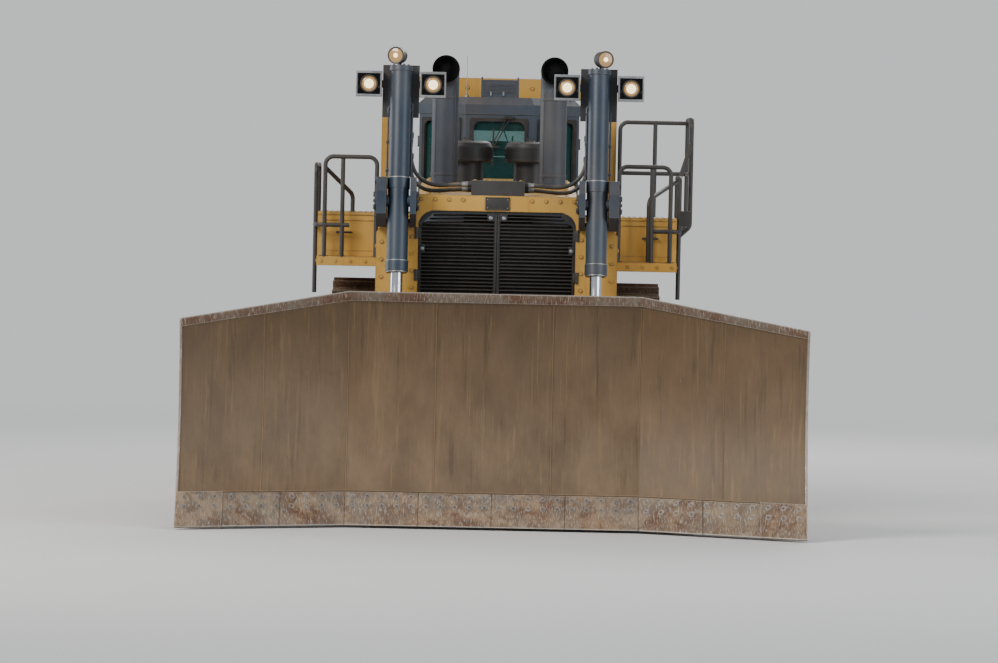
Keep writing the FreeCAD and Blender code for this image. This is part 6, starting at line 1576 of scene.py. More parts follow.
@dataclass
class CabTrim:
    """Window seals, wiper, antenna, roof cooler slats, and what shows inside the cab."""

    shop: Workshop
    half: float = 0.890
    nose: float = 0.375
    front: float = -0.550
    corner: float = 0.420
    back: float = -2.050
    sill: float = 3.540
    head: float = 4.220
    seal_wide: float = 0.040
    seal_deep: float = 0.014
    seal_round: float = 0.070
    arm_radius: float = 0.006
    blade_radius: float = 0.009
    gutter: Flat = (4.300, 4.325)
    slats: int = 6

    def windows(self) -> list[tuple[Vector, Vector, float, float]]:
        """Two lower corners and the bottom and top of each window's opening on the left or middle."""
        nose, side = Vector((self.nose, self.front)), Vector((self.half, self.front - self.corner))
        rear = 0.38 * 2 * self.half
        return [(Vector((0.8 * self.nose, self.front)), Vector((-0.8 * self.nose, self.front)), self.sill,
                 self.head),
                (nose.lerp(side, 0.9), nose.lerp(side, 0.12), self.sill - 0.3, self.head),
                (Vector((-rear, self.back)), Vector((rear, self.back)), self.sill - 0.15, self.head)]

    @staticmethod
    def rounded(wide: float, tall: float, radius: float, steps: int = 5) -> list[Flat]:
        """Corner points of a rounded rectangle round its middle.

        Args:
            wide: Its width.
            tall: Its height.
            radius: Radius of its corners.
            steps: Steps round each corner.

        Returns:
            The points.
        """
        found = []
        for quarter, (a, b) in enumerate(((1, 1), (-1, 1), (-1, -1), (1, -1))):
            for k in range(steps + 1):
                angle = math.pi / 2 * (quarter + k / steps)
                found.append((a * (wide / 2 - radius) + radius * math.cos(angle),
                              b * (tall / 2 - radius) + radius * math.sin(angle)))
        return found

    def seal(self, shape: Shape, start: Vector, end: Vector, low: float, high: float) -> None:
        """Rubber round one window: square outside, rounded inside.

        Args:
            shape: The mesh that it is added to.
            start: The opening's lower corner as (across, ahead), on the viewer's left.
            end: The other lower corner.
            low: Bottom of the opening.
            high: Top of the opening.
        """
        run = Vector((end.x - start.x, start.y - end.y, 0))
        along = run.normalized()
        out = along.cross(Vector(UP))
        centre = (at(start.x, start.y, low) + at(end.x, end.y, high)) / 2
        if out.dot(centre - at(0, (self.front + self.back) / 2, centre.z)) < 0:
            out = -out
        loops = [self.rounded(run.length + 2 * grown, high - low + 2 * grown, radius)
                 for grown, radius in ((self.seal_wide / 2, 0.02), (-self.seal_wide / 2, self.seal_round))]
        shape.hull([[centre + along * u + Vector((0, 0, v)) + out * deep for u, v, deep in
                     ((a, b, -0.002), (a, b, self.seal_deep), (c, d, self.seal_deep), (c, d, -0.02))]
                    for (a, b), (c, d) in zip(*loops)], closed=True)

    def seals(self) -> None:
        """The rubber of every fixed window."""
        middle, sides = Shape(), Shape()
        for i, window in enumerate(self.windows()):
            self.seal(sides if i == 1 else middle, *window)
        mesh = self.shop.merged([middle.data(0.002), sides.mirrored().data(0.002)])
        mesh.polygons.foreach_set("use_smooth", [False] * len(mesh.polygons))
        piece("window_seals", mesh, Finish.SEAL)

    def wipers(self) -> None:
        """Parallel-arm wiper on the windshield and one on the rear window."""
        shape, front, rear = Shape(), self.front + 0.030, self.back - 0.030
        shape.block((0.06, 0.16), (self.front - 0.002, self.front + 0.040), (4.232, 4.262))
        shape.block((-0.14, 0.005), (front - 0.014, front + 0.008), (3.915, 3.930))
        shape.block((-0.03, 0.05), (self.back + 0.002, self.back - 0.038), (4.232, 4.262))
        for radius, face, start, end in ((self.arm_radius, front, (0.085, 4.245), (-0.085, 3.93)),
                                         (self.arm_radius, front, (0.120, 4.245), (-0.050, 3.93)),
                                         (self.blade_radius, front - 0.006, (-0.062, 4.13), (-0.072, 3.71)),
                                         (self.arm_radius, rear, (0.01, 4.245), (0.14, 3.86)),
                                         (self.blade_radius, rear + 0.006, (0.155, 4.05), (0.125, 3.66))):
            shape.tube([at(across, face, high) for across, high in (start, end)], radius, 8)
        shape.place("wipers", Finish.SEAL)

    def roof(self) -> None:
        """Gutter round the roof, slats and latches of the cooler, antenna and grab bars."""
        side, low, high = self.front - self.corner, *self.gutter
        outline = [Vector(corner) for corner in ((self.nose, self.front), (-self.nose, self.front),
                                                 (-self.half, side), (-self.half, self.back),
                                                 (self.half, self.back), (self.half, side))]
        rings = []
        for corner in outline:
            grown = corner + (corner - Vector((0, -1.3))).normalized() * 0.014
            rings.append([at(*corner, low), at(*grown, low), at(*grown, high), at(*corner, high)])
        shape = Shape().hull(rings, closed=True)
        for i in range(self.slats):
            level = 4.532 + 0.016 * i
            shape.bar(at(-0.15, self.front - 0.108, level), at(0.15, self.front - 0.108, level), 0.010, 0.005)
        for across in (-0.2, 0.2):
            shape.tube([at(across, self.front - back, level) for back, level in
                        ((0.18, 4.660), (0.18, 4.690), (0.36, 4.690), (0.36, 4.660))], 0.008, 8)
        shape.place("roof_trim", Finish.DARK, 0.001)
        mast = Shape().lathe(at(-0.367, -0.90, 4.465), UP,
                             ((0, 0), (0.022, 0), (0.020, 0.025), (0.008, 0.04), (0.0045, 0.06),
                              (0.0030, 0.46), (0, 0.462)), 12)
        for across in (-0.11, 0.03):
            mast.block((across, across + 0.018), (self.front - 0.122, self.front - 0.104), (4.49, 4.535))
        mast.place("antenna", Finish.LAMP_METAL)
        rows = both_sides([(at(0.80, -0.98, 4.472), at(0.80, -1.95, 4.472), 6, UP)])
        piece("roof_bolts", self.shop.bolt_rows(rows, 0.026, 0.008), Finish.DARK)

    def inside(self) -> None:
        """Display, dash hood, sun visor and floor mat that show through the glass."""
        shape = Shape().block((-0.29, 0.29), (-0.63, -0.645), (4.10, 4.26))
        shape.bar(at(0.22, -1.02, 3.30), at(0.22, -0.96, 3.50), 0.05, 0.03)
        shape.block((0.12, 0.36), (-0.945, -0.985), (3.46, 3.64))
        shape.block((-0.55, 0.55), (-1.25, -0.95), (2.661, 2.672))
        for across in (-0.12, 0.12):
            shape.bar(at(across, -0.98, 2.70), at(across, -0.90, 2.82), 0.12, 0.012)
            shape.tube([at(across, -0.89, 2.66), at(across, -0.92, 2.77)], 0.012, 8)
        shape.place("cab_fittings", Finish.PLASTIC, 0.004)

    def make(self) -> None:
        """Build the cab's trim."""
        self.seals()
        self.wipers()
        self.roof()
        self.inside()
        log.info("cab trim: %d fixed windows a side and in the middle", len(self.windows()))


@dataclass
class OperatorSeat:
    """Padded cushions on a moulded shell with arm rests and a suspension base."""

    ahead: float = -1.5
    half: float = 0.26
    floor: float = 2.66
    crown: float = 0.020
    divisions: int = 10
    bellows: int = 7
    bellow_tall: float = 0.058
    channels: Flat = (-0.42, 0.42)
    channel_wide: float = 0.05

    def cushion(self, name: str, middle: Vector, size: Vector, lean: float, pull: float) -> None:
        """One crowned cushion with its piping and sewn channels.

        Args:
            name: The piece's name.
            middle: Centre of the cushion.
            size: Width, depth and thickness.
            lean: Turn about the machine's X axis, in radians.
            pull: How deep its sewn channels lie.
        """
        grid = bmesh.new()
        bmesh.ops.create_cube(grid, size=1.0)
        bmesh.ops.subdivide_edges(grid, edges=grid.edges[:], cuts=self.divisions, use_grid_fill=True)
        for corner in grid.verts:
            x, y, z = corner.co * 2
            # A closed crowned form: thin at its rim, full in the middle, with its sides drawn in
            full = (1 - min(1.0, abs(x)) ** 4) * (1 - min(1.0, abs(y)) ** 4)
            thick = 0.72 + 0.28 * full if abs(z) > 0.01 else 1.0
            square = 1 - 0.06 * (x * x * y * y)
            waist = 1 - 0.05 * (1 - z * z) * (1 if max(abs(x), abs(y)) > 0.95 else 0)
            level = z / 2 * size.z * thick
            if z > 0:
                sewn = sum(math.exp(-((x - place) / self.channel_wide) ** 2) for place in self.channels)
                level += self.crown * full - sewn * pull * full
            corner.co = Vector((x / 2 * size.x * square * waist, y / 2 * size.y * square * waist, level))
        bmesh.ops.rotate(grid, verts=grid.verts[:], cent=(0, 0, 0), matrix=Matrix.Rotation(lean, 3, "X"))
        bmesh.ops.translate(grid, verts=grid.verts[:], vec=middle)
        mesh = bpy.data.meshes.new(name)
        grid.to_mesh(mesh)
        grid.free()
        mesh.polygons.foreach_set("use_smooth", [True] * len(mesh.polygons))
        found = piece(name, mesh, Finish.SEAT)
        smooth = found.modifiers.new("smooth", "SUBSURF")
        smooth.levels = smooth.render_levels = 1

    def slab(self, shape: Shape, outline: Sequence[Flat], half: float) -> None:
        """Add a form that runs across the seat.

        Args:
            shape: The mesh that it is added to.
            outline: Its corners as (ahead of the seat, high).
            half: Half its width.
        """
        corners = [(at(0, self.ahead + ahead, 0).y, high) for ahead, high in outline]
        shape.plate(corners, Axis.ACROSS, -half, half)

    def frame(self) -> bpy.types.Object:
        """Seat pan, back shell, arm rests and the bellows of the suspension."""
        shape, mid, half = Shape(), self.ahead, self.half
        self.slab(shape, ((-0.26, 3.075), (0.22, 3.075), (0.245, 3.12), (-0.26, 3.12)), half - 0.01)
        self.slab(shape, ((-0.262, 3.09), (-0.300, 3.24), (-0.402, 3.80), (-0.372, 3.81), (-0.270, 3.26),
                          (-0.235, 3.10)), half - 0.03)
        for sign in SIDES:
            shape.block((sign * half, sign * (half + 0.07)), (mid - 0.30, mid + 0.11), (3.402, 3.452))
            shape.block((sign * (half - 0.03), sign * (half + 0.02)), (mid - 0.33, mid - 0.25),
                        (3.402, 3.452))
            shape.tube([at(sign * 0.08, mid - 0.385, 3.77), at(sign * 0.08, mid - 0.372, 3.86)], 0.008, 10)
        for i in range(self.bellows):
            low = self.floor + 0.01 + self.bellow_tall * i
            self.slab(shape, ((-0.19, low), (0.19, low), (0.20, low + 0.028), (0.19, low + 0.056),
                              (-0.19, low + 0.056), (-0.20, low + 0.028)), 0.19)
        return shape.place("seat_frame", Finish.PLASTIC, 0.006)

    def make(self) -> None:
        """Build the seat in place of its plain solid."""
        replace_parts(self.frame(), "seat")
        self.cushion("seat_cushion", at(0, self.ahead, 3.165), Vector((0.50, 0.48, 0.115)), 0.0, 0.010)
        self.cushion("seat_back_cushion", at(0, self.ahead - 0.285, 3.50), Vector((0.46, 0.58, 0.105)),
                     math.radians(80), 0.010)
        self.cushion("seat_head_rest", at(0, self.ahead - 0.345, 3.905), Vector((0.26, 0.17, 0.075)),
                     math.radians(82), 0.0)
        log.info("seat: three padded pieces")


@dataclass
class Decks:
    """Tread studs, lid hinges and latches, edge bolts and the side boxes' handles."""

    shop: Workshop
    inner: float = 0.950
    outer: float = 1.950
    top: float = 2.700
    lid: float = 3.180
    box_front: float = 0.700
    box_back: float = -0.450
    back: float = -2.080
    step_front: float = 0.920
    slab_high: float = 2.65
    pitch: float = 0.062

    def stud(self) -> bpy.types.Mesh:
        """One raised bar of tread plate."""
        return Shape().hull([[Vector((a * x, b * y, z)) for a, b in ((-1, -1), (1, -1), (1, 1), (-1, 1))]
                             for x, y, z in ((0.014, 0.005, -0.0005), (0.011, 0.002, 0.003))]).data()

    def tread(self) -> None:
        """Anti-slip studs on the steps, the lids and the walkways behind."""
        places, inner, outer = [], self.inner, self.outer
        areas = ((inner + 0.28, outer - 0.03, self.box_front + 0.02, self.step_front - 0.02, self.top),
                 (inner + 0.06, outer - 0.05, self.box_back + 0.04, self.box_front - 0.04, self.lid),
                 (inner + 0.04, outer - 0.04, self.back + 0.04, self.box_back - 0.06, self.top))
        for low_x, high_x, low, high, level in areas:
            for i in range(int((high_x - low_x) / self.pitch) + 1):
                for j in range(int((high - low) / self.pitch) + 1):
                    turn = math.pi / 4 if (i + j) % 2 else -math.pi / 4
                    places.append((at(low_x + i * self.pitch, low + j * self.pitch, level), (0, 0, turn)))
        mesh = self.shop.copies(self.stud(), both_sides(places))
        piece("tread_studs", mesh, Finish.YELLOW)
        log.info("decks: %d tread studs a side", len(places))

    def hardware(self) -> None:
        """Lid hinges, hasps, pull handles and the bolts along the slabs' edges."""
        shape, outer, lid, front = Shape(), self.outer, self.lid, self.box_front + 0.004
        for ahead in (-0.25, 0.125, 0.50):
            shape.lathe(at(self.inner + 0.012, ahead - 0.07, lid + 0.006), BACK,
                        ((0, -0.14), (0.011, -0.14), (0.011, 0.0), (0, 0.0)), 14)
        for ahead in (-0.12, 0.38):
            shape.block((outer - 0.002, outer + 0.010), (ahead - 0.03, ahead + 0.03),
                        (lid - 0.09, lid - 0.006))
            shape.block((outer + 0.008, outer + 0.020), (ahead - 0.018, ahead + 0.018),
                        (lid - 0.075, lid - 0.045))
        shape.tube([at(across, front + out, 2.96) for across, out in
                    ((1.58, -0.02), (1.58, 0.04), (1.74, 0.04), (1.74, -0.02))], 0.009, 10)
        shape.mirrored().place("locker_hardware", Finish.BLACK, 0.001)

    def bolts(self) -> None:
        """Bolts of the slabs' edges, the side boxes and the rails' feet."""
        low, step, face = self.slab_high, self.step_front, self.box_front
        rows = both_sides([(at(self.outer, self.back + 0.08, low), at(self.outer, 0.86, low), 14, LEFT),
                           (at(1.26, step, low), at(1.90, step, low), 5, FRONT),
                           (at(1.00, face, 2.745), at(1.00, face, 3.12), 4, FRONT)])
        piece("deck_bolts", self.shop.bolt_rows(rows, 0.028, 0.012), Finish.YELLOW)
        feet = [(at(across, 0.88, self.top), UP, 0.040, 4)
                for across in (1.312, 1.667, 1.871, -1.312, -1.680, -1.871)]
        feet += [(at(across, -2.04, self.top), UP, 0.040, 4) for across in (1.370, 1.767)]
        piece("rail_bolts", self.shop.bolt_rings(feet, 0.016, 0.009), Finish.BLACK)

    def make(self) -> None:
        """Build the decks' details."""
        self.tread()
        self.hardware()
        self.bolts()


@dataclass
class Blade:
    """Bolts, end bits, section joints and weld beads of the blade."""

    shop: Workshop
    datum: float = 4.537
    half: float = 3.179
    straight: float = 1.500
    wing_ahead: float = 0.893
    tip: Flat = (0.120, 0.030)
    edge_top: Flat = (-0.130, 0.360)
    belly: Flat = (-0.420, 1.150)
    crest: Flat = (-0.180, 2.400)
    tip_drop: float = 0.290
    bit_proud: float = 0.012

    def sweep(self, across: float) -> float:
        """Share of a wing's sweep at one place."""
        return max(0.0, abs(across) - self.straight) / (self.half - self.straight)

    def place(self, across: float, forward: float, high: float) -> Vector:
        """A point of the blade's section, carried to its place across."""
        return at(across, self.datum + self.wing_ahead * self.sweep(across) + forward, high)

    def on_edge(self, across: float, share: float, proud: float = 0.0) -> Vector:
        """A place on the cutting edge's face.

        Args:
            across: How far across the blade it is.
            share: Its share of the face from the tip up.
            proud: How far it stands out from the face.

        Returns:
            The place.
        """
        (a, b), (c, d) = self.tip, self.edge_top
        long = math.hypot(c - a, d - b)
        out = Vector((d - b, a - c)) / long * proud
        return self.place(across, a + (c - a) * share + out.x, b + (d - b) * share + out.y)

    def edge_ring(self, across: float, shares: Flat, prouds: Flat) -> list[Vector]:
        """Four places round the cutting edge's face, between two shares and two heights over it."""
        (low, high), (over, under) = shares, prouds
        return [self.on_edge(across, *spot)
                for spot in ((low, over), (high, over), (high, under), (low, under))]

    def face_circle(self) -> tuple[float, float, float]:
        """Centre and radius of the mouldboard's curve."""
        (x1, y1), (x2, y2), (x3, y3) = self.edge_top, self.belly, self.crest
        d = 2 * (x1 * (y2 - y3) + x2 * (y3 - y1) + x3 * (y1 - y2))
        s1, s2, s3 = x1 * x1 + y1 * y1, x2 * x2 + y2 * y2, x3 * x3 + y3 * y3
        centre = ((s1 * (y2 - y3) + s2 * (y3 - y1) + s3 * (y1 - y2)) / d,
                  (s1 * (x3 - x2) + s2 * (x1 - x3) + s3 * (x2 - x1)) / d)
        return (*centre, math.dist(centre, self.edge_top))

    def on_face(self, across: float, share: float, proud: float = 0.0) -> Vector:
        """A place on the mouldboard.

        Args:
            across: How far across the blade it is.
            share: Its share of the height from the cutting edge up.
            proud: How far it stands out from the face.

        Returns:
            The place.
        """
        middle, level, radius = self.face_circle()
        top = self.crest[1] - self.tip_drop * self.sweep(across)
        high = self.edge_top[1] + (top - self.edge_top[1]) * share
        return self.place(across, middle - math.sqrt((radius - proud) ** 2 - (high - level) ** 2), high)

    def edge_bolts(self) -> None:
        """Two rows of round-headed bolts along the cutting edge and the end bits."""
        rise = Vector((0, self.tip[0] - self.edge_top[0], self.edge_top[1] - self.tip[1]))
        out = Vector((self.half - self.straight, -self.wing_ahead, 0)).cross(rise)
        rows = []
        for share in (0.58, 0.86):
            rows.append((self.on_edge(-1.42, share), self.on_edge(1.42, share), 20, (0, -rise.z, rise.y)))
            rows += both_sides([(self.on_edge(1.58, share), self.on_edge(2.64, share), 8, out),
                                (self.on_edge(2.80, share, self.bit_proud),
                                 self.on_edge(3.10, share, self.bit_proud), 3, out)])
        piece("edge_bolts", self.shop.bolt_rows(rows, 0.046, 0.010), Finish.BOLT, Body.BLADE, Slot.BLADE)

    def end_bits(self) -> None:
        """Thicker corner bits, and the joints between the lengths of cutting edge."""
        bits = Shape().hull([self.edge_ring(across, (-0.02, 1.02), (0.014, -0.010))
                             for across in (2.72, self.half + 0.006)])
        bits.mirrored().place("end_bits", Finish.EDGE, 0.004, body=Body.BLADE)
        joints = Shape()
        for middle in (-2.15, -1.5, -0.75, 0.0, 0.75, 1.5, 2.15):
            joints.hull([self.edge_ring(across, (0.005, 0.995), (0.0015, -0.004))
                         for across in (middle - 0.003, middle + 0.003)])
        joints.place("edge_joints", Finish.SEAL, body=Body.BLADE, slot=Slot.BLADE)

    def welds(self) -> None:
        """Weld beads where the wings join and along the top, and the wear strip on the crest."""
        beads = Shape()
        for across in (-2.35, -1.5, -0.6, 0.6, 1.5, 2.35):
            beads.tube([self.on_face(across, k / 16, 0.001) for k in range(17)], 0.007, 6)
        strip = [-self.half + 0.004, -self.straight, self.straight, self.half - 0.004]
        beads.tube([self.on_face(across, 0.004, 0.004) for across in strip], 0.010, 6)
        beads.place("blade_welds", Finish.MOULDBOARD, body=Body.BLADE)
        rings = [[self.on_face(across, 0.955) + Vector((0, 0.004, 0)), self.on_face(across, 0.955, 0.016),
                  self.on_face(across, 1.004, 0.016), self.on_face(across, 1.004, -0.05)] for across in strip]
        Shape().hull(rings).place("crest_strip", Finish.EDGE, 0.003, body=Body.BLADE)
        edges = Shape()
        for across in (strip[-1], strip[0]):
            edges.tube([self.on_face(across, k / 14, 0.003) for k in range(15)], 0.014, 8)
        edges.place("wing_edges", Finish.EDGE, body=Body.BLADE)

    def pins(self) -> None:
        """Keepers of the lift pins and of the push arm pins."""
        rings = both_sides([(at(1.036 + 0.146, 3.62, 1.0), LEFT, 0.052, 4),
                            (at(1.036 - 0.146, 3.62, 1.0), RIGHT, 0.052, 4),
                            (at(2.211, 3.80, 0.56), LEFT, 0.048, 4),
                            (at(1.819, 3.80, 0.56), RIGHT, 0.048, 4)])
        piece("blade_pin_bolts", self.shop.bolt_rings(rings, 0.030, 0.014), Finish.BOLT, Body.BLADE)

    def make(self) -> None:
        """Build the blade's details."""
        self.edge_bolts()
        self.end_bits()
        self.welds()
        self.pins()
        log.info("blade: %.2f m wide", 2 * self.half)


@dataclass
class ArmsAndRams:
    """Caps, glands and oil pipes of the push arms, tilt cylinders and ripper cylinders."""

    shop: Workshop
    arm_out: float = 2.160
    trunnion: Flat = (-0.35, 0.80)
    tilt_side: float = 2.015
    tilt_tail: Flat = (2.25, 1.18)
    tilt_eye: Flat = (4.15, 1.75)
    tilt_round: float = 0.105
    tilt_long: float = 1.50
    link_side: float = 0.700
    link_tail: Flat = (-2.90, 1.90)
    link_round: float = 0.095
    link_long: float = 1.150
    reach: float = 1.750
    fall: float = 0.060
    hoist_side: float = 0.280
    hoist_tail: Flat = (-2.76, 1.96)
    hoist_eye: Flat = (-3.56, 1.08)
    hoist_round: float = 0.090
    hoist_long: float = 0.745

    def ram(self, name: str, body: Body, side: float, tail: Flat, eye: Flat, radius: float, long: float,
            ports: bool = False) -> None:
        """Gland ring, gland bolts, ports and oil pipe of one pair of cylinders.

        Args:
            name: Stem of the pieces' names.
            body: The body that they ride.
            side: Distance of the cylinder from the machine's middle.
            tail: Tail pin as ahead and high.
            eye: Rod eye as ahead and high.
            radius: Radius of the barrel.
            long: Length from the tail pin to the barrel's open end.
            ports: Whether ports and a pipe stand on the barrel.
        """
        way = Vector((0, tail[0] - eye[0], eye[1] - tail[1])).normalized()
        foot = at(side, *tail)
        end = foot + way * long
        shape, inner = Shape(), 0.6 * radius
        shape.lathe(end - way * 0.09, way, ((radius - 0.003, 0), (radius + 0.010, 0.002),
                                            (radius + 0.010, 0.084), (radius + 0.002, 0.090),
                                            (radius - 0.003, 0.090)))
        shape.lathe(end, way, ((inner, -0.002), (radius - 0.006, -0.002), (radius - 0.010, 0.010),
                               (inner, 0.010), (inner, -0.002)), 36)
        if ports:
            self.oil_line(shape, foot, way, radius, long)
        shape.mirrored().place(name + "_glands", Finish.DARK, 0.001, body=body)
        rings = both_sides([(end + way * 0.009, way, 0.80 * radius, 10)])
        piece(name + "_gland_bolts", self.shop.bolt_rings(rings, 0.020, 0.010), Finish.DARK, body)

    def oil_line(self, shape: Shape, foot: Vector, way: Vector, radius: float, long: float) -> None:
        """Ports, pipe and clips along the upper side of a barrel.

        Args:
            shape: The mesh that they are added to.
            foot: The barrel's tail pin.
            way: Its direction.
            radius: Its radius.
            long: Its length.
        """
        over = Vector(LEFT).cross(way)
        over = over if over.z > 0 else -over
        sunk, lift = over * (radius - 0.004), radius + 0.030
        for share in (0.16, 0.93):
            shape.lathe(foot + way * (long * share) + sunk, over,
                        ((0, 0), (0.026, 0), (0.026, 0.034), (0.018, 0.036), (0.018, 0.044), (0, 0.044)), 16)
        shape.tube([foot + way * (long * share) + over * lift for share in (0.18, 0.5, 0.91)], 0.012, 10)
        for share in (0.36, 0.72):
            spot = foot + way * (long * share)
            shape.bar(spot + sunk - way * 0.014, spot + over * (lift + 0.014) - way * 0.014, 0.05, 0.028, way)

    def arms(self) -> None:
        """Trunnion caps, wear pads and lug bolts of the push arms."""
        caps = both_sides([(at(self.arm_out + 0.030, *self.trunnion), LEFT, 0.105, 8)])
        piece("trunnion_bolts", self.shop.bolt_rings(caps, 0.032, 0.016), Finish.YELLOW)
        shape = Shape()
        for ahead, high in ((0.6, 0.765), (1.5, 0.70), (2.9, 0.625)):
            shape.block((self.arm_out - 0.002, self.arm_out + 0.010), (ahead - 0.11, ahead + 0.11),
                        (high - 0.09, high + 0.09))
        shape.mirrored().place("arm_pads", Finish.YELLOW, 0.003, body=Body.ARMS)
        lugs = both_sides([(at(self.tilt_side + 0.140, *self.tilt_tail), LEFT, 0.028, 4)])
        piece("tilt_pin_bolts", self.shop.bolt_rings(lugs, 0.018, 0.010), Finish.BOLT, Body.ARMS)

    def ripper(self, beam: float) -> None:
        """Pin bolts of the ripper, and the wear plates of its beam.

        Args:
            beam: How far ahead the beam's pins are.
        """
        for name, body, ahead, spots in (
                ("rear_pin_bolts", Body.ROOT, self.link_tail[0], ((0.600, 1.15), (0.810, 1.90))),
                ("beam_pin_bolts", Body.RIPPER, beam, ((0.585, 1.09), (0.810, 1.84)))):
            rings = both_sides([(at(across, ahead, high), LEFT, 0.034, 4) for across, high in spots])
            piece(name, self.shop.bolt_rings(rings, 0.022, 0.012), Finish.BOLT, body)
        plates, back = Shape(), beam + 0.13 - 0.46
        for low, high in ((1.10, 1.32), (1.58, 1.80)):
            plates.block((-0.19, 0.19), (back + 0.004, back - 0.020), (low, high))
        for sign in SIDES:
            plates.block((sign * 0.30, sign * 0.78), (back + 0.004, back - 0.010), (1.08, 1.80))
        plates.place("beam_plates", Finish.YELLOW, 0.004, body=Body.RIPPER)
        rows = [(at(-0.15, back - 0.020, high), at(0.15, back - 0.020, high), 4, BACK)
                for high in (1.13, 1.29, 1.61, 1.77)]
        piece("beam_plate_bolts", self.shop.bolt_rows(rows, 0.034, 0.016), Finish.YELLOW, Body.RIPPER)

    def make(self) -> None:
        """Build the details of arms, cylinders and ripper."""
        beam = self.link_tail[0] - math.sqrt(self.reach ** 2 - self.fall ** 2)
        self.ram("tilt", Body.TILT_BARRELS, self.tilt_side, self.tilt_tail, self.tilt_eye, self.tilt_round,
                 self.tilt_long, ports=True)
        self.ram("top_link", Body.TOP_LINKS, self.link_side, self.link_tail,
                 (beam, self.link_tail[1] - self.fall), self.link_round, self.link_long)
        self.ram("hoist", Body.HOIST_BARRELS, self.hoist_side, self.hoist_tail, self.hoist_eye,
                 self.hoist_round, self.hoist_long)
        self.arms()
        self.ripper(beam)
        log.info("arms and rams: three pairs of cylinders")


@dataclass
class Rear:
    """Tank straps and cap, roll-over frame bolts, rear lamp glass and underside bolts."""

    shop: Workshop
    tank_half: float = 0.80
    tank_back: float = -3.100
    tank_front: float = -2.600
    tank_low: float = 2.250
    tank_high: float = 3.250
    chamfer: float = 0.060
    strap_thick: float = 0.007
    strap_slip: float = 0.003
    rops_front: float = -2.100
    rops_back: float = -2.450
    foot_out: float = 1.33
    beam_high: float = 4.59

    def straps(self) -> None:
        """Two steel bands round the tank, and its filler cap."""
        front, back, cut = self.tank_front, self.tank_back, self.chamfer
        low, high, thick, slip = self.tank_low, self.tank_high, self.strap_thick, self.strap_slip
        inner = [(front, high), (back + cut, high), (back, high - cut), (back, low + cut), (back + cut, low),
                 (front, low)]
        outer = [(front, high + thick), (back + cut - slip, high + thick), (back - thick, high - cut + slip),
                 (back - thick, low + cut - slip), (back + cut - slip, low - thick), (front, low - thick)]
        shape = Shape()
        for middle in (-0.62, 0.62):
            start, end = middle - 0.04, middle + 0.04
            shape.hull([[at(start, a, b), at(end, a, b), at(end, c, d), at(start, c, d)]
                        for (a, b), (c, d) in zip(inner, outer)])
        shape.place("tank_straps", Finish.YELLOW, 0.001)
        cap = Shape().lathe(at(-0.50, back + 0.25, high + 0.050), UP,
                            ((0, 0), (0.088, 0), (0.090, 0.008), (0.086, 0.030), (0.070, 0.036),
                             (0, 0.036)), 36)
        cap.bar(at(-0.56, back + 0.25, high + 0.090), at(-0.44, back + 0.25, high + 0.090), 0.018, 0.022)
        cap.place("tank_cap", Finish.BLACK, 0.001)

    def bolts(self) -> None:
        """Bolts of the tank, the roll-over frame's feet and the belly guard."""
        front, back, out, tank = self.rops_front, self.rops_back, self.foot_out, self.tank_half
        rows = both_sides([*((at(1.16, back, high), at(1.30, back, high), 3, BACK) for high in (2.02, 2.18)),
                           *((at(out, front - 0.06, high), at(out, back + 0.06, high), 4, LEFT)
                             for high in (2.02, 2.20)),
                           (at(tank, self.tank_back, 2.40), at(tank, self.tank_back, 3.10), 5, BACK),
                           (at(0.33, -0.22, 0.68), at(0.33, 0.84, 0.68), 6, DOWN)])
        rows += [(at(-1.1, ahead, self.beam_high), at(1.1, ahead, self.beam_high), 7, facing)
                 for ahead, facing in ((front, FRONT), (back, BACK))]
        piece("frame_bolts", self.shop.bolt_rows(rows, 0.036, 0.016), Finish.YELLOW)

    def lamps(self) -> None:
        """Glass and guards of the two rear lamps."""
        rear = self.rops_back - 0.09
        glass = Shape().block((0.895, 1.045), (rear + 0.004, rear - 0.008), (4.535, 4.635))
        glass.mirrored().place("rear_lenses", Finish.REAR_LENS, 0.004)
        guard = Shape()
        for high in (4.558, 4.585, 4.612):
            guard.tube([at(across, rear + ahead, high) for across, ahead in
                        ((0.885, 0.01), (0.892, -0.016), (1.048, -0.016), (1.055, 0.01))], 0.004, 8)
        guard.mirrored().place("rear_lamp_guards", Finish.BLACK)

    def make(self) -> None:
        """Build the rear's details."""
        self.straps()
        self.bolts()
        self.lamps()
        log.info("rear: tank, frame and lamps")


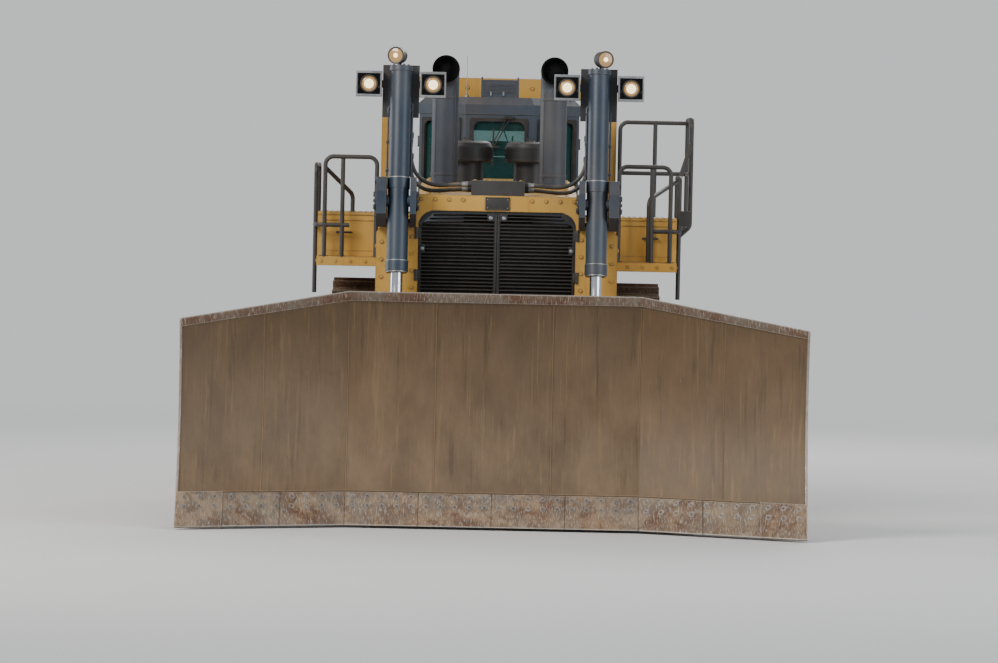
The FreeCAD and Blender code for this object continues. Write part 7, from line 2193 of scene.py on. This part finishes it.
@dataclass
class Stage:
    """Floor, lights and the camera at the photograph's viewing angle."""

    centre: Vector
    photo_width: int = 998
    photo_height: int = 663
    focal_pixels: float = 5850.0
    camera_ahead: float = 64.2
    camera_high: float = 3.8
    horizon_row: float = 158.0
    middle_column: float = 495.0
    roll: float = 1.2
    sensor: float = 36.0
    floor_round: float = 300.0
    fade_from: float = 7.0
    fade_to: float = 26.0
    floor_dark: Colour = (0.66, 0.65, 0.63)
    floor_light: Colour = (0.71, 0.70, 0.68)
    backdrop: Colour = (0.70, 0.71, 0.72)
    sky: Colour = (0.80, 0.86, 0.94)
    sky_power: float = 0.55
    aim_high: float = 2.2
    lamps: tuple[tuple[str, Place, float, float, Colour], ...] = (
        ("key", (-13, -17, 15), 4200, 9, (1.0, 0.96, 0.90)),
        ("fill", (15, -14, 8), 1500, 11, (0.90, 0.95, 1.0)),
        ("back", (6, 17, 13), 2200, 10, (1.0, 0.98, 0.95)), ("left", (-18, 7, 7), 1100, 9, (0.95, 0.97, 1.0)))

    def floor(self) -> None:
        """A flat pale floor that fades into the backdrop far from the machine."""
        shape = bmesh.new()
        bmesh.ops.create_circle(shape, cap_ends=True, segments=96, radius=self.floor_round)
        mesh = bpy.data.meshes.new("floor")
        shape.to_mesh(mesh)
        shape.free()
        found = linked("floor", mesh)
        made = Shader("pale floor")
        tone = made.mix(made.noise(0.35, 3, 0.5), self.floor_dark, self.floor_light)
        near = made.add("ShaderNodeBsdfPrincipled", {"Base Color": tone, "Roughness": 0.9})
        far = made.add("ShaderNodeEmission", {"Color": (*self.backdrop, 1), "Strength": 1.0})
        away = made.add("ShaderNodeVectorMath", {0: made.coords}, operation="LENGTH").outputs["Value"]
        both = made.add("ShaderNodeMixShader", {0: made.ramp(away, self.fade_from, self.fade_to),
                                                1: near.outputs[0], 2: far.outputs[0]})
        mesh.materials.append(made.finished(both))
        found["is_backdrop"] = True

    def light(self, name: str, place: Vector, power: float, size: float, tint: Colour) -> None:
        """A square soft light that points at the machine.

        Args:
            name: Its name.
            place: Where it stands.
            power: Its power in watts.
            size: Length of its side.
            tint: Its colour.
        """
        lamp = bpy.data.lights.new(name, "AREA")
        lamp.energy, lamp.size, lamp.color = power, size, tint
        holder = linked(name, lamp)
        holder.location = place
        aim = self.centre + Vector((0, 0, self.aim_high)) - place
        holder.rotation_euler = aim.to_track_quat("-Z", "Y").to_euler()

    def camera(self) -> None:
        """The photograph's telephoto view, from straight ahead."""
        lens = bpy.data.cameras.new("camera")
        lens.sensor_width = self.sensor
        lens.lens = self.focal_pixels / self.photo_width * self.sensor
        lens.clip_start, lens.clip_end = 1.0, 400.0
        holder = linked("camera", lens)
        holder.location = at(0, self.camera_ahead, self.camera_high)
        down = math.atan((self.photo_height / 2 - self.horizon_row) / self.focal_pixels)
        aside = math.atan((self.middle_column - self.photo_width / 2) / self.focal_pixels)
        turn = Matrix.Rotation(aside, 3, "Z") @ Euler((math.pi / 2 - down, 0, 0)).to_matrix()
        # The view looks along +Y, and the camera itself leans a little about its own axis
        turn = turn @ Matrix.Rotation(math.radians(self.roll), 3, "Z")
        holder.rotation_euler = turn.to_euler()
        bpy.context.scene.camera = holder

    def world(self) -> None:
        """Soft even light from all round, with the plain backdrop for the camera alone."""
        world = bpy.data.worlds.new("studio")
        world.use_nodes = True
        tree = world.node_tree
        light = tree.nodes["Background"]
        light.inputs["Color"].default_value = (*self.sky, 1)
        light.inputs["Strength"].default_value = self.sky_power
        shown = add_node(tree, "ShaderNodeBackground", {"Color": (*self.backdrop, 1)})
        seen = add_node(tree, "ShaderNodeLightPath").outputs["Is Camera Ray"]
        both = add_node(tree, "ShaderNodeMixShader", {0: seen, 1: light.outputs[0], 2: shown.outputs[0]})
        tree.links.new(both.outputs[0], tree.nodes["World Output"].inputs["Surface"])
        bpy.context.scene.world = world

    def make(self) -> None:
        """Build the stage."""
        self.floor()
        for name, offset, power, size, tint in self.lamps:
            self.light(name, self.centre + Vector(offset), power, size, tint)
        self.world()
        self.camera()


def corners() -> list[list[float]]:
    """The shown object's box as plain lists."""
    return [list(map(float, corner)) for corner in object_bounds()]


def main() -> None:
    """Build the looks in order, and log a line for each section of the machine."""
    logging.basicConfig(level=logging.INFO, format="%(message)s")
    cad = corners()
    dress_nodes()
    shop = Workshop()
    low, high = (Vector(c) for c in cad)
    sections = (Hoses(), Undercarriage(shop), RadiatorFront(shop), Hood(shop), Exhaust(shop),
                LiftCylinders(shop), CabTrim(shop), OperatorSeat(), Decks(shop), Blade(shop),
                ArmsAndRams(shop), Rear(shop))
    for assembly in sections:
        assembly.make()
    Stage((low + high) / 2 - Vector((0, 0, (high.z - low.z) / 2))).make()


if __name__ == "__main__":
    main()
